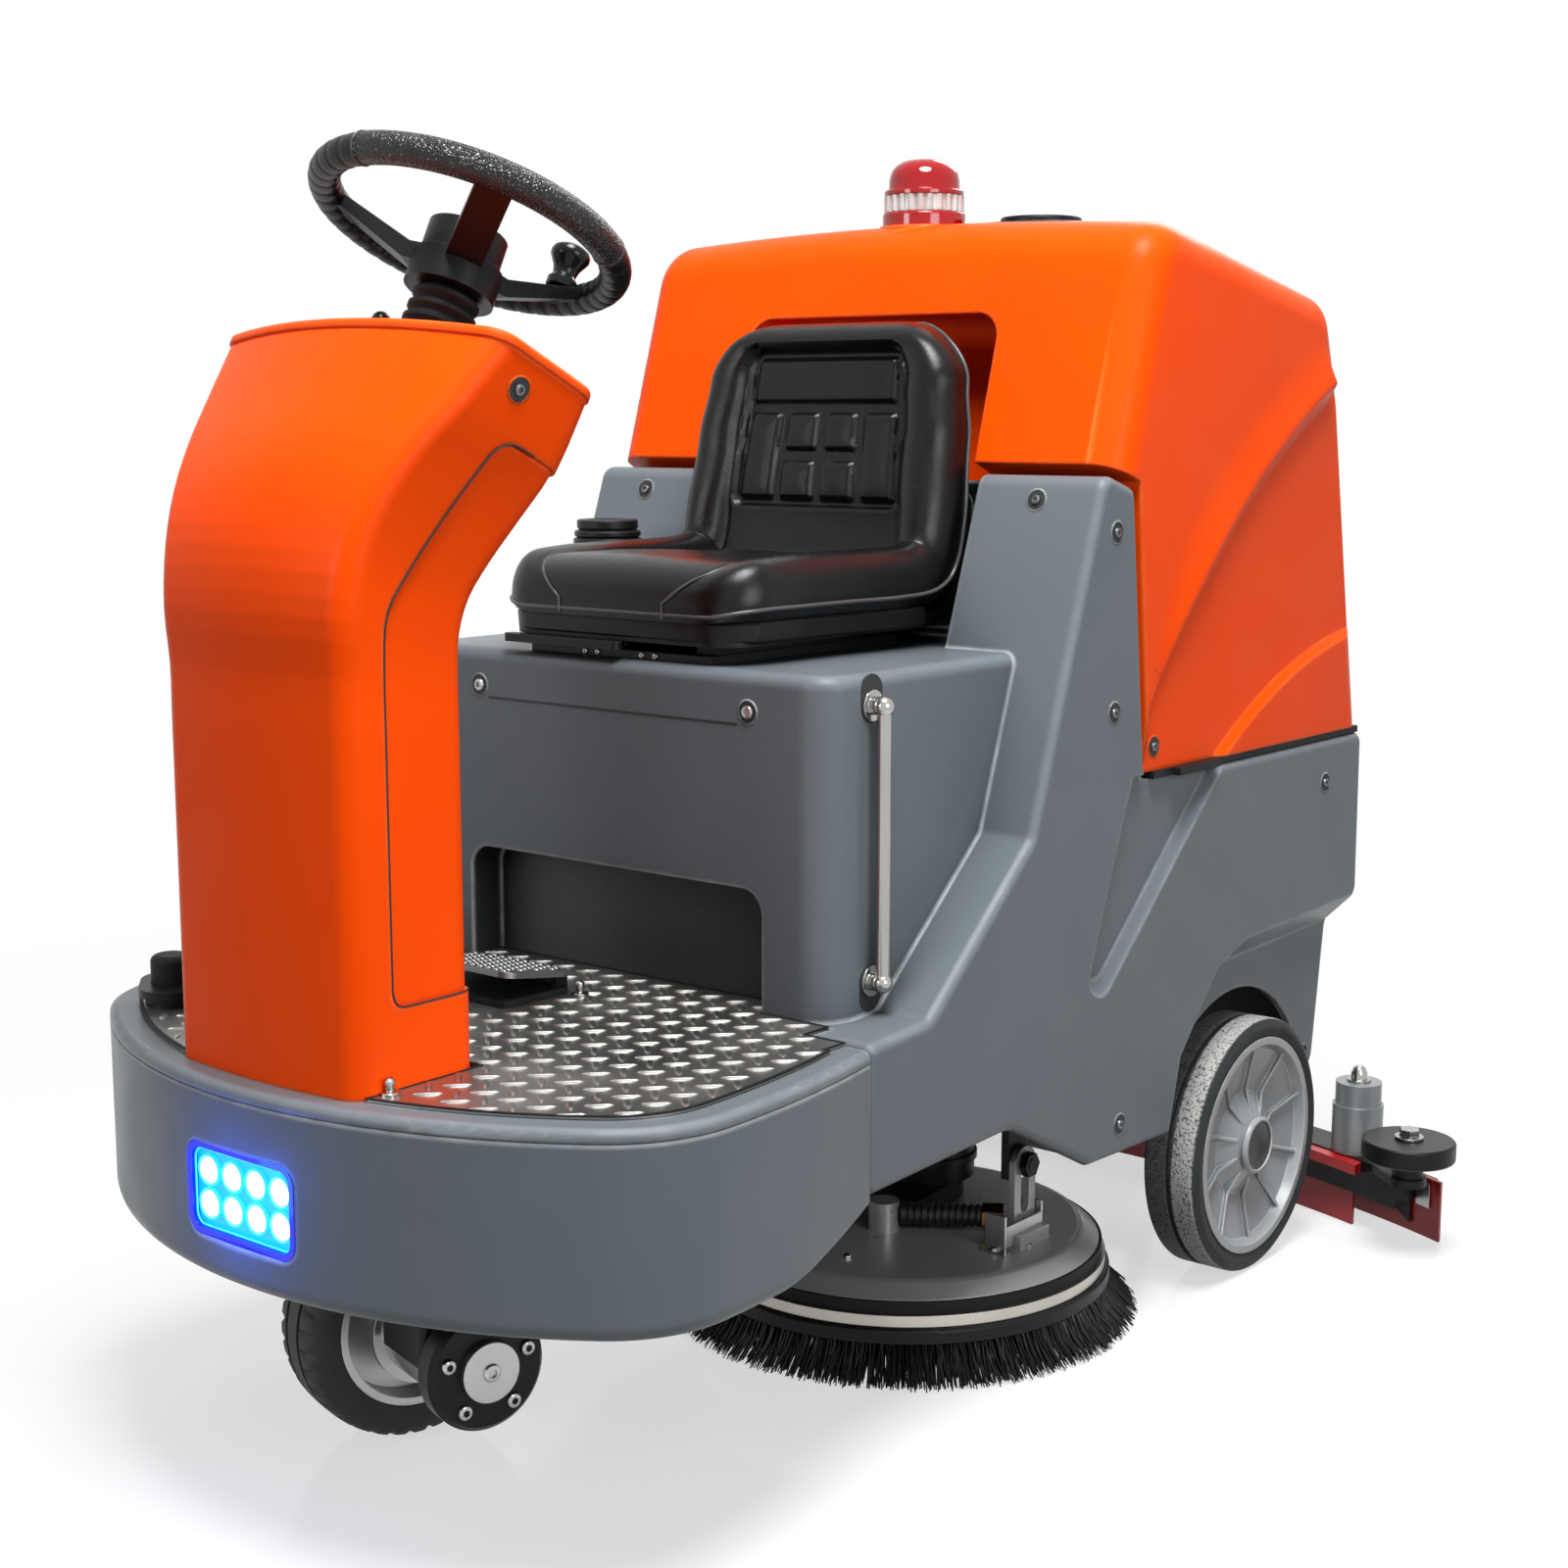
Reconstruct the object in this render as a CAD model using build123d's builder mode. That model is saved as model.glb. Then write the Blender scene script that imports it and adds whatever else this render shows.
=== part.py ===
from build123d import *
import os
from math import atan2, cos, radians, sin, sqrt

# A ride-on floor scrubber in millimetres: the front looks toward -Y, +X is the operator's left, +Z is up.
os.makedirs("parts", exist_ok=True)

# Fits between pieces
seat_gap = 0.3
running_gap = 0.05
swing_gap = 0.6

# Platform and bumper
platform_front = -762
platform_rear = -322
platform_half_width = 384
platform_rear_half_width = 358
platform_top = 424
platform_bottom = 240
nose_radius = 560
corner_radius = 130
bumper_wall = 20
bumper_edge = 15
cap_height = 12
cap_edge = 8
parting_chamfer = 1.5
heel_lift = 46
plate_border = 30
plate_thickness = 3

# Lamp in the bumper
lamp_width = 146
lamp_height = 86
lamp_z = 322
lamp_recess = 4
lamp_depth = 16
lamp_rim = 6
lamp_pocket = 8
led_radius = 11.5
led_pitch_x = 32.5
led_pitch_z = 31
led_height = 5

# Steering column and wheel
steer_tilt = 26
wheel_y = -460
wheel_z = 1165
rim_height = 146
rim_radius = 138
rim_tube = 14
spoke_angles = (-35, 85, 205)
spoke_width = 34
spoke_end_top = 3
hub_radius = 42
hub_top_radius = 37
hub_height = 62
bellows_height = 78
bellows_radius = 35
bellows_top_radius = 31
bellows_fold = 4.5
bellows_folds = 6
bellows_bore = 24
horn_radius = 28
horn_travel = 3
shaft_radius = 12
lower_shaft_radius = 10
yoke_radius = 17
yoke_length = 16
joint_drop = 258
column_half_width = 124
column_rear = -585
column_depth = 141
column_bow = 10
column_corner = 24
column_wall = 8
cover_inset = 3
cover_gap = 0.7
cover_bottom = 497
dash_half_width = 182
dash_half_depth = 62
dash_shift = -16
dash_bow = 28
dash_thickness = 9
dash_edge = 4
knob_stem_x = -80
knob_stem_radius = 5
knob_dome = 10
knob_stem_height = 38
knob_angle = 85
knob_reach = 116
knob_radius = 19
knob_stud_radius = 6.5
knob_stud_height = 10

# Front drive unit
steer_y = -522
rest_steer = -16
front_wheel_radius = 118
front_tyre_width = 78
front_tyre_inner = -54
front_tyre_bore = 84
motor_radius = 46
motor_left = -40
motor_right = 58
motor_cap_radius = 29
motor_cover_radius = 60
motor_cover_width = 28
axle_radius = 15
fork_neck = 44
fork_flange = 75
turntable_z = 338
turntable_thickness = 8
stub_radius = 20
large_sprocket = 52
small_sprocket = 26
sprocket_z = 362
sprocket_thickness = 8
chain_width = 6
chain_depth = 7

# Pedal and foot switch
pedal_left = 0
pedal_right = -130
pedal_front = -434
pedal_rear = -341
pedal_thickness = 6
pedal_tilt = 9
pedal_pin_radius = 4
pedal_base_height = 6
switch_x = -286
switch_y = -612
switch_radius = 20
switch_height = 46
switch_travel = 6

# Chassis
rail_x = 215
rail_width = 40
rail_bottom = 300
rail_height = 50
rail_front = -640
rail_rear = 600
tray_thickness = 4

# Main body
body_half_width = 350
rear_bay_length = 620
wide_bay_top = 318
body_wall = 8
body_rear_top = 612
body_edge = 9
seat_box_half_width = 285
seat_box_front = -287
seat_box_top = 757
seat_box_corner = 40
seat_box_edge = 13
heel_half_width = 200
heel_top = 547
heel_depth = 42
heel_corner = 25
cheek_foot = (17, 758)
cheek_top = (79, 939)
niche_half_width = 197
niche_back = 118
niche_corner = 24
arch_radius = 182
flank_inset = 28
panel_half_width = 160
panel_height = 150
panel_thickness = 5
filler_x = -230
filler_y = -41
filler_radius = 33
filler_bore = 26
filler_top = 851
filler_cap_radius = 39
filler_cap_height = 29
tube_y = -227
tube_bottom = 461
tube_top = 727
tube_radius = 7
tube_standoff = 15
bolt_radius = 9
bolt_height = 4

# Seat
seat_rail_x = 105
seat_rail_width = 34
seat_rail_height = 8
pan_floor = 775
pan_thickness = 14
seat_front = -290
seat_rear = 60
back_foot_y = 76
seat_half_front = 170
seat_half_rear = 184
seat_top = 858
back_top = 1092
back_tilt = 7
back_thickness = 46
back_shell = 6
back_half_wide = 188
back_half_top = 174
channel_width = 7
channel_depth = 6

# Recovery tank
tank_half_width = body_half_width
tank_rear = 689
tank_roof_front = 1203
tank_roof_rear = 1126
tank_shoulder = 1010
tank_brow = 947
tank_chin = 928
tank_hollow_top = 1150
tank_bottom = 620
tank_crown = 13
tank_edge = 38
tank_skin = 20
recess_half_width = 173
recess_top = 1105
recess_back = 205
recess_corner = 30
port_x = 100
port_y = 333
port_radius = 58
collar_radius = 68
collar_top = 1200
lid_radius = 74
lid_height = 10
lid_boss_radius = 46
lid_boss_height = 8
beacon_y = 244
beacon_radius = 47
beacon_seat = 1207
beacon_base_height = 16
beacon_ring_height = 18
beacon_top = 1282
beacon_wall = 3

# Brush deck
brush_x = 95
brush_y = 88
brush_radius = 234
bristle_reach = 270
bristle_foot = 0.5
block_bottom = 40
block_height = 16
band_height = 13
band_radius = 229
skirt_height = 14
skirt_radius = 225
deck_radius = 222
deck_rise = 16
deck_wall = 6
deck_travel = 45
motor_x = 70
motor_y = 172
brush_motor_radius = 54
brush_motor_top = 288
gearbox_radius = 33
gearbox_height = 26
brush_shaft = 12
lug_x = 245
lug_y = 105
lug_span = 300
lug_width = 40
lug_thickness = 8
lug_pin_z = 187
lug_pin_radius = 8
hose_radius = 13
hose_bore = 9
hose_rib = 2
hose_ribs = 12
hose_z = 118
hose_right = (197, 98)
hose_left = (107, 37)

# Rear wheels
rear_wheel_y = 430
rear_wheel_radius = 150
rear_wheel_width = 72
rear_wheel_outer = 362
rear_rim_radius = 128
rear_axle_radius = 12
hub_cap_radius = 31
rim_ribs = 10

# Squeegee
squeegee_radius = 1196
squeegee_rear = 760.4
squeegee_half_span = 495
squeegee_frame_span = 455
squeegee_bottom = 45
squeegee_top = 90
squeegee_depth = 54
front_blade_span = 385
rear_blade_top = 76
strip_depth = 16
strip_height = 13
strip_half_span = 400
strip_drop = 2
blade_thickness = 5
blade_foot = 1
arm_pivot_y = 590
arm_pivot_z = 230
arm_pin_radius = 8
arm_gap = 37
arm_width = 14
roller_x = 477
roller_y = 588
roller_radius = 55
roller_height = 24
roller_bottom = 118
roller_pin_radius = 8
post_x = 375
post_radius = 28
post_height = 88
post_cap = 28
spigot_radius = 24
spigot_bore = 19
spigot_height = 50

# Planes and axes worked out from the sizes above
steer_dir = (0, sin(radians(steer_tilt)), cos(radians(steer_tilt)))
wheel_plane = Plane(origin=(0, wheel_y, wheel_z), x_dir=(1, 0, 0), z_dir=steer_dir)
dash_plane = wheel_plane.offset(-rim_height)
joint_point = dash_plane.offset(-joint_drop).origin
steer_rest = radians(rest_steer)
axle_dir = (cos(steer_rest), sin(steer_rest), 0)
drive_section = Plane(
    origin=(0, steer_y, front_wheel_radius),
    x_dir=axle_dir,
    z_dir=(sin(steer_rest), -cos(steer_rest), 0),
)
drive_axis = Axis((0, steer_y, front_wheel_radius), axle_dir)
axle_plane = Plane(
    origin=(0, steer_y, front_wheel_radius),
    x_dir=(-sin(steer_rest), cos(steer_rest), 0),
    z_dir=axle_dir,
)
wheel_section = Plane(origin=(0, rear_wheel_y, rear_wheel_radius), x_dir=(1, 0, 0), z_dir=(0, -1, 0))
wheel_axis = Axis((0, rear_wheel_y, rear_wheel_radius), (1, 0, 0))
squeegee_centre_y = squeegee_rear - squeegee_radius
deck_edge_z = block_bottom + block_height + band_height + skirt_height
deck_top = deck_edge_z + deck_rise


def rounded_outline(corners):
    """Return a closed outline through corners given as (u, v, radius)."""
    with BuildSketch() as outline:
        with BuildLine():
            Polyline(*[(u, v) for u, v, radius in corners], close=True)
        make_face()
        for u, v, radius in corners:
            if radius > 0:
                fillet(outline.vertices().sort_by_distance((u, v, 0))[0], radius)
    return outline.sketch


def platform_outline(inset):
    """Return the platform's plan: a broad nose arc, two corner arcs and two bowed sides."""
    nose_y = platform_front + nose_radius
    corner_x = platform_half_width - corner_radius
    corner_y = nose_y - sqrt((nose_radius - corner_radius) ** 2 - corner_x**2)
    reach = nose_radius / (nose_radius - corner_radius)
    join_x = corner_x * reach
    join_y = nose_y + (corner_y - nose_y) * reach
    turn = atan2(join_y - corner_y, join_x - corner_x) / 2
    mid_x = corner_x + corner_radius * cos(turn)
    mid_y = corner_y + corner_radius * sin(turn)
    with BuildSketch() as outline:
        with BuildLine():
            ThreePointArc((-join_x, join_y), (0, platform_front), (join_x, join_y))
            ThreePointArc((join_x, join_y), (mid_x, mid_y), (platform_half_width, corner_y))
            TangentArc(
                (platform_half_width, corner_y),
                (platform_rear_half_width, platform_rear),
                tangent=(0, 1),
            )
            Line((platform_rear_half_width, platform_rear), (-platform_rear_half_width, platform_rear))
            TangentArc(
                (-platform_half_width, corner_y),
                (-platform_rear_half_width, platform_rear),
                tangent=(0, 1),
            )
            ThreePointArc((-platform_half_width, corner_y), (-mid_x, mid_y), (-join_x, join_y))
        make_face()
        if inset > 0:
            offset(amount=-inset, kind=Kind.INTERSECTION)
    return outline.sketch


def column_section(half_width, half_depth, bow, corner):
    """Return one column section: flat back and sides with a bowed front."""
    with BuildSketch() as section:
        with BuildLine():
            Polyline(
                (half_width, -half_depth),
                (half_width, half_depth),
                (-half_width, half_depth),
                (-half_width, -half_depth),
            )
            ThreePointArc((-half_width, -half_depth), (0, -half_depth - bow), (half_width, -half_depth))
        make_face()
        fillet(section.vertices(), corner)
    return section.sketch


def smooth_stations(stations, parts):
    """Return stations with in-between ones on a smooth curve through them."""
    ends = (stations[0], *stations, stations[-1])
    dense = []
    for before, first, second, after in zip(ends, ends[1:], ends[2:], ends[3:]):
        for part in range(parts):
            t = part / parts
            row = []
            for a, b, c, d in zip(before, first, second, after):
                bend = (2 * a - 5 * b + 4 * c - d) * t**2 + (3 * b - a - 3 * c + d) * t**3
                row.append((2 * b + (c - a) * t + bend) / 2)
            dense.append(tuple(row))
    dense.append(stations[-1])
    return dense


def column_loft(inset, stretch):
    """Return the column as a loft, drawn in by inset and stretched past both ends."""
    base_y = column_rear - column_depth / 2
    dash_end = (dash_plane.offset(stretch - dash_thickness) * Pos(0, dash_shift, 0)).position
    half_width = column_half_width
    half_depth = column_depth / 2
    bend = (
        (base_y, 740, 0, half_width, half_depth, column_bow),
        (base_y, 780, 2, half_width, half_depth, column_bow),
        (base_y - 1, 820, 9, half_width + 2, half_depth + 2, column_bow + 1),
        (base_y + 7, 862, 18, half_width + 6, half_depth + 5, column_bow + 3),
        (base_y + 25, 900, 23, half_width + 14, half_depth + 8, column_bow + 6),
        (base_y + 51, 938, 25, half_width + 26, half_depth + 8, column_bow + 10),
        (base_y + 81, 978, steer_tilt, half_width + 42, half_depth + 3, column_bow + 14),
        (dash_end.Y, dash_end.Z, steer_tilt, dash_half_width, dash_half_depth, dash_bow),
    )
    foot = (base_y, platform_top - stretch, 0, half_width, half_depth, column_bow)
    with BuildPart() as column:
        for y, z, tilt, half_width, half_depth, bow in (foot, *smooth_stations(bend, 3)):
            lean = radians(tilt)
            with BuildSketch(Plane(origin=(0, y, z), x_dir=(1, 0, 0), z_dir=(0, sin(lean), cos(lean)))):
                add(column_section(half_width - inset, half_depth - inset, bow, column_corner - inset))
        loft(ruled=True)
    return column.part


def squeegee_band(inner, outer, half_span):
    """Return the plan of a curved squeegee strip between two radii, ending at a half span."""
    ends = []
    for radius in (inner, outer):
        end_y = squeegee_centre_y + sqrt(radius**2 - half_span**2)
        ends.append((half_span, end_y, squeegee_centre_y + radius))
    (inner_x, inner_y, inner_mid), (outer_x, outer_y, outer_mid) = ends
    with BuildSketch() as band:
        with BuildLine():
            ThreePointArc((-outer_x, outer_y), (0, outer_mid), (outer_x, outer_y))
            Line((outer_x, outer_y), (inner_x, inner_y))
            ThreePointArc((inner_x, inner_y), (0, inner_mid), (-inner_x, inner_y))
            Line((-inner_x, inner_y), (-outer_x, outer_y))
        make_face()
    return band.sketch


# Chassis: two rails, cross members, turntable plate, axle and deck brackets, squeegee lug
rail_top = rail_bottom + rail_height
rail_outer = rail_x + rail_width / 2
bay_half_width = body_half_width - body_wall
with BuildPart() as chassis_frame:
    with BuildSketch(Plane.XY.offset(rail_bottom)):
        for side in (-1, 1):
            with Locations((side * rail_x, (rail_front + rail_rear) / 2)):
                Rectangle(rail_width, rail_rear - rail_front)
        with Locations((0, joint_point.Y)):
            Rectangle(2 * rail_outer, 50)
        with Locations((0, lug_y - 15)):
            Rectangle(2 * rail_outer, 36)
        with Locations((0, rail_rear - 20)):
            Rectangle(2 * rail_outer, 40)
        with Locations((0, -215)):
            Rectangle(2 * (bay_half_width - seat_gap), 40)
        with Locations((0, 320)):
            Rectangle(2 * (bay_half_width - flank_inset - seat_gap), 40)
    extrude(amount=rail_height)
    with BuildSketch(Plane.XY.offset(turntable_z)):
        with Locations((0, steer_y)):
            Rectangle(2 * rail_outer, 180)
    extrude(amount=turntable_thickness)
    with BuildSketch(Plane.XY.offset(rail_top)):
        with Locations((0, -90)):
            Rectangle(2 * rail_outer, 270)
    extrude(amount=tray_thickness)
    for side in (-1, 1):
        with BuildSketch(Plane.YZ.offset(side * (rail_outer - 5))):
            with Locations((rear_wheel_y, (rail_bottom + rear_wheel_radius) / 2 - 12)):
                Rectangle(50, rail_bottom - rear_wheel_radius + 26)
        extrude(amount=5, both=True)
        with BuildSketch(Plane.YZ.offset(side * rail_outer)):
            with Locations((rear_wheel_y, rear_wheel_radius)):
                Circle(rear_axle_radius)
        extrude(amount=side * (rear_wheel_outer - 14 - rail_outer))
    for plate_x, outward in ((lug_x, 1), (lug_x - lug_span, -1)):
        inner_face = plate_x - outward * (lug_thickness / 2 + swing_gap)
        with BuildSketch(Plane.YZ.offset(inner_face)):
            with Locations((lug_y, (rail_bottom + lug_pin_z) / 2 - 8)):
                Rectangle(lug_width, rail_bottom - lug_pin_z + 16)
        extrude(amount=-10 * outward)
        with BuildSketch(Plane.YZ.offset(inner_face)):
            with Locations((lug_y, lug_pin_z)):
                Circle(lug_pin_radius)
        extrude(amount=outward * (lug_thickness + 2 * swing_gap + 10))
        with BuildSketch(Plane.YZ.offset(plate_x + outward * (lug_thickness / 2 + swing_gap))):
            with Locations((lug_y, lug_pin_z)):
                RegularPolygon(14, 6)
        extrude(amount=outward * 9)
    with BuildSketch(Plane.YZ):
        with BuildLine():
            Polyline(
                (rail_rear - 36, rail_bottom),
                (rail_rear, rail_bottom),
                (arm_pivot_y + 14, arm_pivot_z - 12),
                (arm_pivot_y - 14, arm_pivot_z - 12),
                close=True,
            )
        make_face()
    extrude(amount=arm_gap - 1, both=True)
    with BuildSketch(Plane.YZ):
        with Locations((arm_pivot_y, arm_pivot_z)):
            Circle(arm_pin_radius)
    extrude(amount=arm_gap + arm_width + 4, both=True)
    with BuildSketch(Plane.XY.offset(rail_bottom + 10)):
        for side in (-1, 1):
            with Locations((side * (rail_outer + 60), steer_y + 50)):
                Rectangle(140, 40)
        add(platform_outline(bumper_wall + seat_gap), mode=Mode.INTERSECT)
    extrude(amount=30)
    with Locations((0, steer_y, turntable_z)):
        Cylinder(
            stub_radius + running_gap,
            200,
            mode=Mode.SUBTRACT,
        )
    with Locations((0, joint_point.Y, rail_bottom)):
        Cylinder(
            lower_shaft_radius + running_gap,
            200,
            mode=Mode.SUBTRACT,
        )
chassis_frame.part.label = "chassis_frame"
export_step(chassis_frame.part, "parts/chassis_frame.step")

# Front bumper skirt with the lamp opening
with BuildPart() as front_bumper:
    with BuildSketch(Plane.XY.offset(platform_bottom)):
        add(platform_outline(0))
    extrude(amount=platform_top - cap_height - platform_bottom)
    fillet(front_bumper.faces().sort_by(Axis.Z)[0].edges(), bumper_edge)
    with BuildSketch(Plane.XY.offset(platform_bottom - 1)):
        add(platform_outline(bumper_wall))
        with Locations((0, platform_rear)):
            Rectangle(2 * (platform_rear_half_width - bumper_wall), 4 * bumper_wall)
    extrude(amount=platform_top - platform_bottom, mode=Mode.SUBTRACT)
    with BuildSketch(Plane.YZ):
        with BuildLine():
            Polyline(
                (platform_rear - 170, platform_bottom - 20),
                (platform_rear - 160, platform_bottom),
                (platform_rear + 20, platform_bottom + heel_lift),
                (platform_rear + 20, platform_bottom - 20),
                close=True,
            )
        make_face()
    extrude(amount=2 * platform_half_width, both=True, mode=Mode.SUBTRACT)
    with BuildSketch(Plane.XZ.offset(-platform_front - 2 * bumper_wall)):
        with Locations((0, lamp_z)):
            RectangleRounded(lamp_width + 2 * seat_gap, lamp_height + 2 * seat_gap, 18 + seat_gap)
    extrude(amount=3 * bumper_wall, mode=Mode.SUBTRACT)
front_bumper.part.label = "front_bumper"
export_step(front_bumper.part, "parts/front_bumper.step")

# Platform cap over the bumper, reaching back to the seat box
with BuildPart() as platform_deck:
    with BuildSketch(Plane.XY.offset(platform_top - cap_height)):
        add(platform_outline(0))
    extrude(amount=cap_height)
    fillet(platform_deck.faces().sort_by(Axis.Z)[-1].edges().sort_by(Axis.Y)[:-1], cap_edge)
    chamfer(platform_deck.faces().sort_by(Axis.Z)[0].edges().sort_by(Axis.Y)[:-1], parting_chamfer)
    with BuildSketch(Plane.XY.offset(platform_top - cap_height)):
        with Locations((0, (platform_rear + seat_box_front) / 2 - 20)):
            Rectangle(2 * (seat_box_half_width - 2), seat_box_front - platform_rear + 40 - 2 * seat_gap)
    extrude(amount=cap_height)
    with Locations((0, joint_point.Y, platform_top)):
        Cylinder(lower_shaft_radius + running_gap, 4 * cap_height, mode=Mode.SUBTRACT)
platform_deck.part.label = "platform_deck"
export_step(platform_deck.part, "parts/platform_deck.step")

# Tread plate: follows the platform's outline, goes round the column and into the heel recess
plate_top = platform_top + plate_thickness
with BuildPart() as tread_plate:
    with BuildSketch(Plane.XY.offset(platform_top)):
        add(platform_outline(plate_border))
        with Locations((0, platform_rear - plate_border - seat_gap)):
            Rectangle(2 * (platform_rear_half_width - plate_border), 2 * plate_border)
        with Locations((0, (platform_rear + seat_box_front) / 2 - 20)):
            Rectangle(2 * (seat_box_half_width - 4), seat_box_front - platform_rear + 40 - 2 * seat_gap)
        with Locations((0, seat_box_front)):
            Rectangle(2 * (heel_half_width - seat_gap), 2 * (heel_depth - seat_gap))
        with Locations((0, column_rear - column_depth / 2 - 40)):
            Rectangle(
                2 * (column_half_width + seat_gap),
                column_depth + 80 + 2 * seat_gap,
                mode=Mode.SUBTRACT,
            )
    extrude(amount=plate_thickness)
tread_plate.part.label = "tread_plate"
export_step(tread_plate.part, "parts/tread_plate.step")

# Lamp bezel with its pocket
lamp_face = platform_front + lamp_recess
with BuildPart() as lamp_bezel:
    with BuildSketch(Plane.XZ.offset(-lamp_face - lamp_depth)):
        with Locations((0, lamp_z)):
            RectangleRounded(lamp_width, lamp_height, 18)
    extrude(amount=lamp_depth)
    with BuildSketch(Plane.XZ.offset(-lamp_face - lamp_pocket)):
        with Locations((0, lamp_z)):
            RectangleRounded(lamp_width - 2 * lamp_rim, lamp_height - 2 * lamp_rim, 18 - lamp_rim)
    extrude(amount=lamp_pocket, mode=Mode.SUBTRACT)
lamp_bezel.part.label = "lamp_bezel"
export_step(lamp_bezel.part, "parts/lamp_bezel.step")

# Eight light emitters on the pocket's floor
with BuildPart() as lamp_leds:
    with BuildSketch(Plane.XZ.offset(-lamp_face - lamp_pocket)):
        with Locations((0, lamp_z)):
            with GridLocations(led_pitch_x, led_pitch_z, 4, 2):
                Circle(led_radius)
    extrude(amount=led_height)
    fillet(lamp_leds.faces().group_by(Axis.Y)[0].edges(), led_height - 1)
lamp_leds.part.label = "lamp_leds"
export_step(lamp_leds.part, "parts/lamp_leds.step")

# Column: one loft split into a front shell and a rear cover that lies a little lower
column_outer = column_loft(0, 0)
column_low = column_loft(cover_inset, 0)
column_inner = column_loft(column_wall, 2)
cover_drop = dash_plane.offset(-75).origin
cover_along = (cos(radians(steer_tilt)), -sin(radians(steer_tilt)))
cover_front = column_rear - column_depth + 40


def cover_zone(gap):
    """Return the side outline of the rear cover, drawn in by a gap."""
    top_front = (cover_drop.Y - 30 * cover_along[0], cover_drop.Z - 30 * cover_along[1] - gap)
    top_rear = (cover_drop.Y + 150 * cover_along[0], cover_drop.Z + 150 * cover_along[1] - gap)
    return rounded_outline(
        (
            (cover_front + gap, cover_bottom + gap, 14),
            (cover_front + gap, 835, 60),
            (top_front[0] + gap, top_front[1], 24),
            (top_rear[0], top_rear[1], 0),
            (top_rear[0], cover_bottom + gap, 0),
        )
    )


with BuildPart() as column_shell:
    add(column_outer)
    add(column_inner, mode=Mode.SUBTRACT)
    with BuildSketch(Plane.YZ):
        add(cover_zone(0))
    extrude(amount=2 * dash_half_width, both=True, mode=Mode.SUBTRACT)
column_shell.part.label = "column_shell"
export_step(column_shell.part, "parts/column_shell.step")

with BuildPart() as column_rear_cover:
    add(column_low)
    add(column_inner, mode=Mode.SUBTRACT)
    with BuildSketch(Plane.YZ):
        add(cover_zone(cover_gap))
    extrude(amount=2 * dash_half_width, both=True, mode=Mode.INTERSECT)
column_rear_cover.part.label = "column_rear_cover"
export_step(column_rear_cover.part, "parts/column_rear_cover.step")

# Dash panel: a thin lid on the column with the bearing of the steering shaft
with BuildPart() as dash_panel:
    with BuildSketch(dash_plane.offset(-dash_thickness)):
        with Locations((0, dash_shift)):
            add(column_section(dash_half_width + 2, dash_half_depth + 2, dash_bow, column_corner + 2))
    extrude(amount=dash_thickness)
    fillet(dash_panel.faces().sort_by(Axis(dash_plane.origin, steer_dir))[-1].edges(), dash_edge)
    with BuildSketch(dash_plane.offset(-2 * dash_thickness)):
        Circle(shaft_radius + running_gap)
        with Locations((knob_stem_x, 0)):
            Circle(knob_stem_radius + seat_gap)
    extrude(amount=3 * dash_thickness, mode=Mode.SUBTRACT)
dash_panel.part.label = "dash_panel"
export_step(dash_panel.part, "parts/dash_panel.step")

# Direction knob: a stem through the dash with a domed head that turns
with BuildPart() as direction_knob:
    with BuildSketch(dash_plane.offset(-dash_thickness / 2)):
        with Locations((knob_stem_x, 0)):
            Circle(knob_stem_radius)
    extrude(amount=knob_stem_height + dash_thickness / 2 - knob_dome)
    with Locations(dash_plane.offset(knob_stem_height - knob_dome) * Pos(knob_stem_x, 0, 0)):
        Sphere(knob_dome)
direction_knob.part.label = "direction_knob"
export_step(direction_knob.part, "parts/direction_knob.step")

# Bellows between the dash and the hub
fold_pitch = bellows_height / bellows_folds
bellows_section = Plane(origin=dash_plane.origin, x_dir=(1, 0, 0), z_dir=-dash_plane.y_dir)
with BuildPart() as steering_bellows:
    with BuildSketch(bellows_section):
        with BuildLine():
            folds = [(bellows_bore, 0)]
            for fold in range(bellows_folds):
                share = fold / (bellows_folds - 1)
                crest = bellows_radius + (bellows_top_radius - bellows_radius) * share
                folds.append((crest - bellows_fold, fold * fold_pitch))
                folds.append((crest, (fold + 0.35) * fold_pitch))
                folds.append((crest, (fold + 0.65) * fold_pitch))
            folds.append((bellows_top_radius - bellows_fold, bellows_height))
            folds.append((bellows_bore, bellows_height))
            Polyline(*folds, close=True)
        make_face()
    revolve(axis=Axis(dash_plane.origin, steer_dir))
steering_bellows.part.label = "steering_bellows"
export_step(steering_bellows.part, "parts/steering_bellows.step")

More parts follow.
